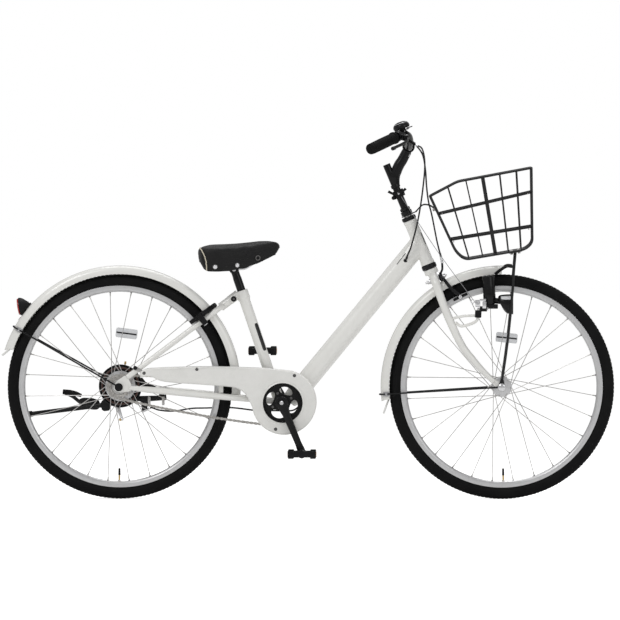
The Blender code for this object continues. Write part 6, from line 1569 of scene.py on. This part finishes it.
def makeRearBrake(radius, y, wall, lip, armY):
    face, flat = y - wall, y - 0.0008
    profile = [(0.0052, y), (0.014, y), (0.0155, flat), (radius - 0.012, flat), (radius - 0.01, y),
        (radius - 0.002, y), (radius, y - 0.002), (radius, lip), (radius - 0.0033, lip),
        (radius - 0.0033, face), (0.0052, face)]
    cover = wheelTurned(rounded(profile, 0.0009, 3), rearAxle)
    band, shoe = (wheelTurned(rounded([(inner, lip + start), (inner, end), (outer, end), (outer,
        lip + start)], bevel, 2), rearAxle) for inner, outer, start, end, bevel in ((0.056, 0.0572,
        0.0008, 0.0462, 0.0003), (0.0515, 0.056, 0.0014, 0.0455, 0.0005)))
    plate = rounded([(0.04, 0.287), (0.06, 0.286), (0.0635, 0.2575), (0.079, 0.2625), (0.082, 0.286),
        (0.137, 0.29), (0.135, 0.3085), (0.117, 0.3104), (0.112, 0.3035), (0.04, 0.302)], 0.004)
    horn = rounded([(0.05, 0.356), (0.0651, 0.356), (0.0745, 0.3438), (0.1047, 0.3305), (0.1035,
        0.3275), (0.0707, 0.331), (0.05, 0.333)], 0.002)
    dark = [cover, *[slab(outline, 0.0024, (0, flat, 0), bevel=0.0006) for outline in (plate, horn)],
        block((0.096, y + 0.0008, 0.2955), (0.062, 0.0045, 0.0022), xAxis, zAxis, 0.0007, 0.002)]
    bright = [turned([(0.0012, -0.0078), (0.0052, -0.0078), (0.0052, 0.002), (0.0044, 0.0026), (0.0044,
        0.0078), (0.0012, 0.0078)], brakeAnchor, brakeWay, 28, True)]
    straps = []
    for x in (0.085, 0.1265):
        straps.append(block((x, y - 0.0018, 0.2875), (0.008, 0.026, 0.0016), xAxis, zAxis, 0.0004,
            0.002))
        bright += [hexNut((x, y + 0.0004, 0.279), (x, y + 0.0042, 0.279), 0.0044),
            knob((x, y + 0.0004, 0.2975), (x, y + 0.0024, 0.2975), 0.0036)]
    spots = [polar(rearAxle, r, 78, 0.0425) for r in (0.062, 0.0665, 0.07, 0.0745)]
    screws = [knob(spots[0], spots[3], 0.0019), hexNut(spots[1], spots[2], 0.004), knob(spots[2],
        spots[3], 0.003, 0.0006)]
    dress("brake_cover", (enamel, *dark), (darkSteel, band), (lining, shoe), (chrome, *bright), (steel,
        *straps), (brass, *screws))
    a, b = brakeArmPivot[[0, 2]], brakeArmEnd[[0, 2]]
    pivot = lambda v: (a[0], v, a[1])
    dress("brake_arm", (chrome, slab(linkOutline(a, 0.0078, b, 0.0034), 0.0023, (0, armY, 0),
        bevel=0.0005), knob(pivot(y + 0.0004), pivot(armY + 0.0029), 0.0039),
        hexNut(pivot(armY + 0.0011), pivot(armY + 0.0048), 0.0052), turned([(0.0033, -0.003), (0.0055,
        -0.003), (0.0055, 0.003), (0.0033, 0.003)], brakeArmEnd, brakeWay, 28, True)))


makeRearBrake(**brakeValues)

# Lamp and dynamo
dynamoTop = np.array([1.0881, -0.05, 0.661])
dynamoDown = unit((0.0534, 0, -0.9986))
dynamoValues = dict(length=0.0847, radius=0.0184, rollerDrop=0.017, rollerShift=0.0105,
    rollerRadius=0.0124, rollerTall=0.018)
# the lamp's rings as x, half width, half height, z
lampStations = [(1.117, 0.01, 0.012, 0.586), (1.122, 0.018, 0.02, 0.583), (1.135, 0.0235, 0.027,
    0.578), (1.15, 0.0249, 0.0294, 0.5765), (1.16, 0.0249, 0.0298, 0.5765)]
lampMouth = [(1.16, 0.0252, 0.0302, 0.5765), (1.1616, 0.0252, 0.0302, 0.5765)]


def lampRow(station, turns, grow=0.0, drop=0.0):
    # oval ring of the lamp at a station; its lower half is drawn forward, so the body leans under the lens
    x, wide, tall, z = station
    lean = np.clip(-np.sin(turns), 0, 1) * drop * (1.16 - x) / 0.043
    return np.stack([x + lean, (wide + grow) * np.cos(turns) - 0.048, z + (tall + grow) *
        np.sin(turns)], -1)


def makeLamp(turns):
    curve = smoothPath(lampStations, 22)
    body = grid(np.array([lampRow(row, turns, 0, 0.01) for row in curve]), closeV=True, caps=True)
    mouth = lambda *rows: np.array([lampRow(lampMouth[end], turns, grow) + xAxis * shift for end, grow,
        shift in rows])
    edge = grid(mouth((0, 0, 0), (1, 0, 0), (1, -0.0022, 0), (0, -0.003, 0)), closeU=True, closeV=True)
    bowl = grid(mouth((0, -0.0028, 0.0001), (0, -0.012, 0.0001), (0, -0.02, 0.0001)), closeV=True,
        caps=True)
    glass = grid(mouth((0, -0.0024, 0.0003), (1, -0.0024, -0.0003), (1, -0.01, 0), (1, -0.02, 0)),
        closeV=True, caps=True)
    windows = []
    a = np.radians(np.linspace(28, 52, 6))
    for way in (math.pi - a, a):
        strip = [np.vstack([lampRow(row, way, 0.0005), lampRow(row, way[::-1], -0.0008)]) for row in
            curve[7:]]
        windows.append(grid(np.array(strip), closeV=True, caps=True))
    return [body, edge], bowl, [glass, *windows]


def makeDynamo(length, radius, rollerDrop, rollerShift, rollerRadius, rollerTall):
    profile = [(0, 0), (radius - 0.0048, 0), (radius - 0.0012, 0.0018), (radius, 0.0045), (radius,
        0.052), (radius - 0.0007, 0.0526), (radius - 0.0007, 0.0545), (radius, 0.0552), (radius,
        length - 0.004), (radius - 0.002, length - 0.0006), (radius - 0.004, length), (0, length)]
    knuckle = rounded([(0.0039, -0.0072), (0.0079, -0.0072), (0.0079, 0.0138), (0.0039, 0.0138)],
        0.0012)
    body, bowl, clear = makeLamp(np.linspace(0, 2 * math.pi, 64, endpoint=False))
    roller = dynamoTop + dynamoDown * rollerDrop + yAxis * rollerShift
    dress("dynamo", (enamel, turned(profile, dynamoTop, dynamoDown, 64), turned(knuckle, dynamoHinge,
        xAxis, 36, True), block((1.094, -0.052, 0.57), (0.0455, 0.0295, 0.0135), bevel=0.002,
        corner=0.005), block((1.0815, -0.056, 0.5835), (0.012, 0.016, 0.02), bevel=0.0016,
        corner=0.003), rods([(1.1, -0.05, 0.588)], [(1.124, -0.048, 0.585)], 0.0086, sides=28),
        *body), (chrome, block(dynamoHinge + (0.006, -0.0085, 0.0115), (0.011, 0.0022, 0.02),
        bevel=0.0006), block(dynamoHinge + (0.001, -0.0085, 0.026), (0.018, 0.0022, 0.007),
        bevel=0.0006), hexNut(dynamoHinge + (0.006, -0.0096, 0.019), dynamoHinge + (0.006, -0.0135,
        0.019), 0.0048), hexNut(dynamoHinge + (0.0142, 0, 0), dynamoHinge + (0.0178, 0, 0), 0.0052),
        rods([roller - dynamoDown * 0.0128], [roller + dynamoDown * 0.0128], 0.0019, sides=14), bowl),
        (clearLens, *clear))
    half = rollerTall / 2
    a = (np.linspace(0, 2 * math.pi, 96, endpoint=False))[:, None]
    first, second = sides3(dynamoDown)
    knurl = (first * np.cos(a) + second * np.sin(a)) * (rollerRadius - 0.0004 + 0.0004 *
        np.sign(np.sin(a * 24)))
    rows = [roller + dynamoDown * h + knurl * scale for h, scale in ((-half, 0.2), (-half, 0.92),
        (-half + 0.0008, 1), (half - 0.0008, 1), (half, 0.92), (half, 0.2))]
    dress("dynamo_roller", (steel, grid(np.array(rows), closeU=True, closeV=True)))


makeDynamo(**dynamoValues)

# Ring lock
lockCentre = np.array([0.2385, 0, 0.5415])
lockAlong = np.array([math.cos(math.radians(36)), 0, math.sin(math.radians(36))])
lockNormal = np.array([-lockAlong[2], 0, lockAlong[0]])
lockValues = dict(ring=0.0505, span=130.0, barrelY=0.0575, shackle=0.0036)


def lockPath(radius, start, end, count):
    a = np.radians(np.linspace(start, end, count))[:, None]
    return lockCentre + (lockAlong * np.cos(a) + yAxis * np.sin(a)) * radius


def makeLock(ring, span, barrelY, shackle):
    taper = 1 - 0.18 * np.abs(np.linspace(-1, 1, 80)) ** 4
    loop = lockPath(ring, -span, span, 80)
    skin = carry(loop, softSquare(0.7), lockNormal, size=np.stack([0.0074 * taper, 0.0072 * taper], 1))
    bore = carry(loop, softSquare(0.7) * 0.0054, lockNormal)
    case = grid(np.concatenate([skin, bore[::-1]]), closeU=True, closeV=True)
    seam = tube(lockPath(ring + 0.0062, -span + 12, span - 12, 60), 0.0016, 8, lockNormal)
    side = lambda along: lockCentre - yAxis * barrelY - lockNormal * along
    straps = [block(lockCentre + yAxis * hand * 0.046 + lockNormal * 0.008, (0.016, 0.012, 0.003),
        lockAlong, yAxis, 0.0008, 0.003) for hand in (-1, 1)]
    dress("lock_body", (plastic, case, knob(side(-0.006), side(0.03), 0.0088, 0.0016, 40), *straps),
        (enamel, seam), (chrome, knob(side(0.0298), side(0.0318), 0.0062, 0.0006, 32)), (darkSteel,
        block(side(0.0322), (0.0012, 0.0062, 0.0008), lockAlong, yAxis, 0.0002)))
    dress("lock_shackle", (chrome, tube(lockPath(ring, -60, 125, 90), shackle, 18, lockNormal)))


makeLock(**lockValues)

# Side stand
standPivot = np.array([-0.045, 0.076, 0.275])
standValues = dict(leg=0.0069, pin=0.0059, eye=0.0118)


def makeStand(leg, pin, eye):
    low = points3(frame["nodes"]["stand_bracket"].data)[:, 1].min()
    outline = linkOutline(rearAxle[[0, 2]], 0.0118, standPivot[[0, 2]], 0.0158)
    plate = holed(outline, [rearAxle[[0, 2]] + ovalProfile(0.0052, None, 24)], 0.0038, low + 0.002,
        0.0007)
    tab = rounded([(-0.058, 0.262), (-0.05, 0.256), (-0.034, 0.258), (-0.03, 0.268), (-0.05, 0.272)],
        0.003)
    at = lambda y: standPivot * (1, 0, 1) + yAxis * y
    dress("stand_bracket", (enamel, plate, slab(tab, 0.0036, (0, low + 0.002, 0), bevel=0.0007)),
        (steel, rods([at(low + 0.003)], [at(0.0876)], pin, sides=28), knob(at(0.0854), at(0.0885),
        0.009, 0.001), hexNut(at(0.088), at(0.0912), 0.0062)))
    bar = roundRod([(-0.048, 0.0768, 0.2746), (-0.07, 0.0796, 0.2722), (-0.1, 0.086, 0.268), (-0.19,
        0.1088, 0.2563), (-0.284, 0.1328, 0.2436)], leg, 60, 20)
    foot = knob((-0.266, 0.1282, 0.246), (-0.292, 0.1348, 0.2426), 0.0094, 0.002, 32)
    toe = roundRod([(-0.103, 0.0869, 0.2673), (-0.124, 0.0898, 0.2835), (-0.145, 0.092, 0.3), (-0.171,
        0.094, 0.312)], [0.0052, 0.0052, 0.0056, 0.006], 40, 18)
    pedal = roundRod([(-0.118, 0.0895, 0.302), (-0.135, 0.0915, 0.3075), (-0.153, 0.093, 0.311),
        (-0.173, 0.0941, 0.3127)], [0.005, 0.0072, 0.008, 0.0076], 30, 24)
    outline = rounded([(-0.132, 0.287), (-0.114, 0.296), (-0.0852, 0.295), (-0.0648, 0.288),
        (-0.06, 0.27), (-0.0692, 0.26), (-0.0852, 0.26), (-0.104, 0.264)], 0.006)
    solid = points3(frame["nodes"]["stand_leg"].data)
    start = solid[(np.abs(solid[:, 0] - standPivot[0]) < 0.013) & (np.abs(solid[:, 2] - standPivot[2]) <
        0.013), 1].min()
    bore = pin + 0.0004
    ring = turned(rounded([(bore, start), (eye, start), (eye, 0.0848), (bore, 0.0848)], 0.0008), at(0),
        yAxis, 40, True)
    dress("stand_leg", (enamel, bar, ring, toe, slab(outline, 0.009, (0, 0.085, 0), bevel=0.0022)),
        (gripRubber, foot, pedal))


makeStand(**standValues)
print("brakes, dynamo, lock and stand ready")


# Seat post and saddle
saddleValues = dict(voxel=0.0042, pressure=4.0, frames=20, cap=0.005, start=0.0022, skirt=0.0085,
    inward=0.0012)
# top line, half width and lower edge of the saddle, by distance along X
saddleTop = np.array([(0.233, 0.747), (0.25, 0.7475), (0.275, 0.7482), (0.31, 0.7492), (0.345,
    0.7512), (0.385, 0.7553), (0.425, 0.76), (0.45, 0.7622), (0.462, 0.7612), (0.47, 0.758),
    (0.4765, 0.744)])
saddleHalf = np.array([(0.233, 0.06), (0.242, 0.0835), (0.256, 0.0945), (0.28, 0.0985), (0.31,
    0.0945), (0.345, 0.0765), (0.385, 0.056), (0.425, 0.0425), (0.455, 0.0345), (0.469, 0.024),
    (0.476, 0.008)])
saddleLow = np.array([(0.233, 0.696), (0.244, 0.679), (0.256, 0.67), (0.29, 0.669), (0.33,
    0.6715), (0.37, 0.6795), (0.41, 0.693), (0.44, 0.7075), (0.46, 0.718), (0.471, 0.729),
    (0.4765, 0.74)])
saddleHollow = np.array([(0.272, 0.7052), (0.425, 0.7157)])


def onLine(line, x):
    return np.interp(x, *line.T)


def saddleOutline(count):
    # plan outline from the middle of the tail round the left side to the nose and back along the right
    left = smoothPath(np.insert(saddleHalf, 2, 0, axis=1), 80)[:, :2]
    left = np.vstack([[(0.23, 0.0), (0.2305, 0.03)], left, [(0.4775, 0.0)]])
    whole = np.vstack([left, left[-2:0:-1] * (1, -1), left[:1]])
    return evenPath(np.insert(whole, 2, 0, axis=1), count + 1)[:-1, :2]


def saddleSolid(skirt):
    # rings from the middle line over the crown and down the outer side, then back up inside the skirt
    outline = saddleOutline(150)
    low = onLine(saddleLow, np.clip(outline[:, 0], 0.233, 0.476))
    middle = np.stack([np.clip(outline[:, 0], 0.285, 0.455), 0 * low], 1)
    rows = []
    for up, bulge in ((1.004, 0.02), (1.003, 0.2), (1.001, 0.42), (0.997, 0.62), (0.99, 0.76), (0.975,
            0.85), (0.945, 0.91), (0.89, 0.955), (0.8, 0.985), (0.66, 1.0), (0.48, 1.0), (0.3, 0.985),
            (0.12, 0.96), (0.0, 0.93)):
        flat = middle + (outline - middle) * bulge
        level = onLine(saddleTop, np.clip(flat[:, 0], 0.233, 0.476))
        rows.append(np.column_stack([flat, low + (level - low) * up]))
    reach = np.linalg.norm(outline - middle, axis=1)[:, None]
    inside = middle + (outline - middle) * np.clip(0.92 - skirt / reach, 0.05, 1)
    ceiling = np.maximum(onLine(saddleHollow, inside[:, 0]) + 0.0015, low + 0.004)
    rows += [np.column_stack([inside, low + 0.001]), np.column_stack([inside, ceiling])]
    for share in (0.6, 0.3, 0.02):
        flat = middle + (inside - middle) * share
        rows.append(np.column_stack([flat, onLine(saddleHollow, flat[:, 0]) + 0.0015]))
    return grid(np.array(rows), closeV=True, caps=True)


def settle(obj):
    # what the modifiers make becomes the object's own mesh
    made = bpy.data.meshes.new_from_object(obj.evaluated_get(bpy.context.evaluated_depsgraph_get()))
    obj.modifiers.clear()
    obj.data = made


def moveTo(mesh, points):
    mesh.vertices.foreach_set("co", points.ravel())
    mesh.update()


def swell(pad, start, pressure, frames, cap):
    # cloth with air pressure lifts the crown; the underside and the skirt's lower edge are pinned
    held = 1 - np.clip((start[:, 2] - onLine(saddleLow, start[:, 0]) - 0.01) / 0.02, 0, 1)
    under = start[:, 2] < onLine(saddleHollow, start[:, 0]) + 0.006
    held = np.where(under & (np.abs(start[:, 1]) < onLine(saddleHalf, start[:, 0]) - 0.012), 1.0, held)
    pins = pad.vertex_groups.new(name="pins")
    for weight in np.unique(held[held > 0]):
        pins.add(np.flatnonzero(held == weight).tolist(), float(weight), "REPLACE")
    cloth = pad.modifiers.new("cloth", "CLOTH")
    cloth.settings.use_pressure = True
    cloth.settings.uniform_pressure_force = pressure
    cloth.settings.effector_weights.gravity = 0.0
    cloth.settings.vertex_group_mass = "pins"
    cloth.settings.mass = 0.25
    cloth.settings.tension_stiffness = cloth.settings.compression_stiffness = 30.0
    cloth.settings.shear_stiffness = 20.0
    cloth.settings.bending_stiffness = 3.0
    cloth.point_cache.frame_start, cloth.point_cache.frame_end = 1, frames
    for number in range(1, frames + 1):
        scene.frame_set(number)
    settle(pad)
    moved = points3(pad.data) - start
    far = np.linalg.norm(moved, axis=1)[:, None]
    print("saddle swell, most and mean", round(float(far.max()), 4), round(float(far.mean()), 4))
    pad.data.vertices.foreach_set("co", (start + moved * np.minimum(1, cap / np.maximum(far,
        1e-9))).ravel())
    scene.frame_set(1)


def makePad(voxel, pressure, frames, cap, start, skirt):
    mesh = bpy.data.meshes.new("saddle_pad")
    points, faces = saddleSolid(skirt)
    mesh.from_pydata(points.tolist(), [], [row for f in faces for row in f.tolist()])
    cleaned(mesh, 0.0004)
    pad = bpy.data.objects.new("saddle_pad", mesh)
    scene.collection.objects.link(pad)
    bpy.context.view_layer.objects.active = pad
    remesh = pad.modifiers.new("even skin", "REMESH")
    remesh.mode, remesh.voxel_size = "VOXEL", voxel
    smooth = pad.modifiers.new("smooth", "SMOOTH")
    smooth.factor, smooth.iterations = 0.5, 4
    settle(pad)
    shrunk = points3(pad.data) - points3(pad.data, "normal") * start
    moveTo(pad.data, shrunk)
    swell(pad, shrunk, pressure, frames, cap)
    return pad


def skinOf(pad):
    return BVHTree.FromObject(pad, bpy.context.evaluated_depsgraph_get())


def onPad(tree, points, lift=0.0):
    # the nearest spots of the pad's skin, a little along the way out of it
    found = [tree.find_nearest(point)[:2] for point in points.tolist()]
    spots, ways = (np.array([[*item[k]] for item in found]) for k in (0, 1))
    return spots + ways * lift


def makeSaddle(inward, **padValues):
    pad = makePad(**padValues)
    half = [(0.259, -0.086, 0.674), (0.257, -0.093, 0.685), (0.256, -0.095, 0.702), (0.252,
        -0.0925, 0.718), (0.2455, -0.0855, 0.731), (0.2385, -0.073, 0.74), (0.235, -0.05,
        0.744), (0.2335, -0.025, 0.745), (0.233, 0.0, 0.7452)]
    seam = smoothPath(np.vstack([half, sided(half[:-1], -1)[::-1]]), 150)
    line = onPad(skinOf(pad), seam)
    softer = pad.modifiers.new("finer skin", "SUBSURF")
    softer.levels = softer.render_levels = 1
    settle(pad)
    points, ways = points3(pad.data), points3(pad.data, "normal")
    # the skin is drawn in along the piping and along a stitched line above the lower edge
    near = np.min(np.linalg.norm(points[:, None] - line[None, ::3], axis=2), axis=1)
    stitched = np.exp(-((points[:, 2] - onLine(saddleLow, points[:, 0]) - 0.012) / 0.0022) **
        2) * (np.abs(ways[:, 2]) < 0.6)
    moveTo(pad.data, points - ways * (inward * np.exp(-(near / 0.0034) ** 2) + 0.0006 * stitched)[:,
        None])
    tree = skinOf(pad)
    pad.data.materials.clear()
    pad.data.materials.append(vinyl)
    pad.data.shade_smooth()
    pad.name = "saddle_padded"
    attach(pad, "seat")
    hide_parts("saddle")
    edge = tube(smoothPath(onPad(tree, seam, 0.0004)[::3], 160), 0.0017, 10, xAxis + zAxis * 0.3)
    piece("saddle_piping", "seat", (piping, edge), slot="saddle")
    domes, rings, plugs = [], [], []
    for hand in (-1, 1):
        for x, z, domed in ((0.2848, 0.687, True), (0.3488, 0.6915, True), (0.4091, 0.7125, False)):
            spot, way, _, _ = tree.ray_cast((x, hand * 0.16, z), (0, -hand, 0))
            spot, way = np.array(spot[:]), unit(np.array(way[:]))
            if domed:
                domes.append(knob(spot - way * 0.002, spot + way * 0.003, 0.0064, 0.0026, 40))
                rings.append(collar(spot + way * 0.0002, way, 0.0062, 0.0078, 0.0012, 0.0005, 40))
            else:
                rings.append(collar(spot + way * 0.0006, way, 0.005, 0.008, 0.0024, 0.001, 40))
                plugs.append(knob(spot - way * 0.002, spot + way * 0.0008, 0.0052, 0.0005, 32))
    piece("saddle_studs", "seat", (chrome, *domes), (darkSteel, *rings), (plastic, *plugs),
        slot="saddle")


def makeSeatPost(foot=0.203, top=0.414):
    post = turned(rounded([(0, foot), (0.0126, foot), (0.0126, top - 0.028), (0.0118, top - 0.022),
        (0.0118, top), (0, top)], 0.0012, 3, False), seatLine(0), seatUp, 48)
    clamp = lambda y: seatLine(top) + yAxis * y
    across = [turned(rounded([(0.0, y0), (0.0138, y0), (0.0138, y1), (0.0, y1)], 0.0014, 3, False),
        clamp(0), yAxis, 40) for y0, y1 in ((-0.012, 0.012), (-0.0262, -0.0175), (0.0175, 0.0262))]
    bright = [hexNut(clamp(hand * 0.0258), clamp(hand * 0.0292), 0.0062) for hand in (-1, 1)]
    under = lambda x: 0.7026 + (x - 0.272) * 0.0105 / 0.153
    for y in (-0.022, 0.022):
        route = [(0.284, y, under(0.284)), (0.284, y, 0.687), (0.2965, y, 0.679), (0.372, y, 0.68),
            (0.392, y * 0.8, 0.693), (0.4, y * 0.6, under(0.4))]
        bright.append(tube(rounded(route, 0.01, 8, False), 0.0034, 14))
    dress("seat_post", (enamel, post, *across), (steel, rods([clamp(-0.0264)], [clamp(0.0264)], 0.0038,
        sides=18)), (chrome, *bright))


makeSaddle(**saddleValues)
makeSeatPost()


# Rear reflector
def makeReflector():
    start, end = np.array([-0.2975, 0, 0.5675]), np.array([-0.262, 0, 0.573])
    tall, way = float(np.linalg.norm(end - start)), unit(end - start)
    profile = [(0, 0.0), (0.0235, 0.0), (0.0258, 0.0006), (0.0262, 0.003), (0.0255, 0.008), (0.0225,
        0.014), (0.0165, 0.0215), (0.012, 0.0265), (0.0105, tall - 0.006), (0, tall - 0.006)]
    dress("rear_reflector", (plastic, turned(profile, start, way, 64), knob(end - way * 0.008,
        end + way * 0.0005, 0.007, 0.001, 32), collar(start + way * 0.004, way, 0.0255, 0.0266,
        0.0016, 0.0004, 64)), ending="_housed")
    a = np.linspace(0, 1, 12)
    dome = np.stack([0.0243 * np.sqrt(1 - a ** 2), 0.003 + 0.0028 * a], 1)
    lens = turned(np.vstack([[(0, 0.0004), (0.0236, 0.0004), (0.0243, 0.001)], dome]), start,
        unit((-0.988, 0, -0.153)), 64)
    dress("rear_reflector_lens", (redLens, lens), ending="_cut")


makeReflector()

# Cables along the routes of the CAD, in metres
cableValues = dict(radius=0.0024, wire=0.0009, count=90)
rearUpper = [(0.893, 0.134, 1.032), (0.9005, 0.092, 0.985), (0.893, 0.03, 0.9), (0.88, -0.02,
    0.82), (0.862, -0.038, 0.75), (0.8512, -0.0362, 0.722)]
rearLower = [(0.835, -0.014, 0.69), (0.79, -0.006, 0.64), (0.7, 0.0, 0.53), (0.6, 0.006, 0.4),
    (0.556, 0.009, 0.325), (0.54, 0.0115, 0.288), (0.515, 0.014, 0.2625), (0.48, 0.018, 0.26),
    (0.44, 0.026, 0.26), (0.3975, 0.033, 0.2605), (0.327, 0.04, 0.268), (0.25, 0.05, 0.2665),
    (0.209, 0.054, 0.265), (0.156, 0.0565, 0.257), (0.115, 0.056, 0.26), (0.093, 0.0555, 0.267)]


def cord(name, node, body, path, radius, finish, *extras):
    # a cable as a tube on its path, with the small pieces at its ends
    made = piece(name, body, (finish, tube(path, radius, 12, zAxis + yAxis * 0.4)), stands=[node])
    ends = [piece(name + "_" + part, rides, *rows, slot=node) for part, rides, *rows in extras]
    length = float(along(path)[-1])
    tuple(path[0])
    [tuple(p) for p in path]
    print("cable", name, "is", round(length, 4), "m")


def ferrule(end, way, radius=0.0031, tall=0.01):
    return turned([(0.0025, 0), (radius, 0), (radius, tall), (0.0026, tall)], end, way, 20, True)


def makeCables(radius, wire, count):
    for hand, route, last, name, node in ((1, rearUpper, cableEntry, "rear_cable_upper",
            "rear_brake_cable_upper"), (-1, frontCable, frontCableEnd, "front_cable",
            "front_brake_cable")):
        _, end, way = adjuster(hand)
        path = smoothPath([end + way * 0.0003, end + way * 0.006, *route, last], count)
        tail = unit(path[-1] - path[-4])
        # the cable to the rear runs between the frame that it enters and the turning bar
        body, lastBody = (("frame", "steering", last, route[1]), "frame") if hand > 0 else ("steering",
            "steering")
        cord(name, node, body, path, radius, casing, ("collar", "steering", (chrome,
            ferrule(path[0] + way * 0.0004, way))), ("sleeve", lastBody, (casing, ferrule(path[-1] -
            tail * 0.0004, -tail))))
    anchor, tail = brakeAnchor + brakeWay * 0.0081, brakeArmEnd - brakeWay * 0.0033
    inside = unit(np.array(rearLower[0]) - cableEntry)
    path = smoothPath([cableEntry + inside * 0.0006, *rearLower, anchor + brakeWay * 0.006, anchor],
        200)
    bare = rods([anchor + brakeWay * 0.003], [tail - brakeWay * 0.0062], wire, sides=10)
    nuts = knob(tail, tail - brakeWay * 0.0048, 0.0041, 0.0008), hexNut(tail - brakeWay * 0.0046,
        tail - brakeWay * 0.0066, 0.003)
    cord("rear_cable", "rear_brake_cable", "frame", path, radius, casing, ("end", "frame", (steel,
        bare), (brass, *nuts), (chrome, ferrule(anchor, brakeWay))))
    first = steer(stemValues["leverClamp"] - 0.011 - 0.0003, 0.004, -0.0145)
    last = dynamoHinge - xAxis * 0.012 + zAxis * 0.007
    path = smoothPath([first, (first + last) / 2 - (0.004, 0, 0.003), last], 60)
    cord("light_cable", "light_wire", "steering", path, wire, wireGrey)


makeCables(**cableValues)
print("saddle, reflector and cables ready")
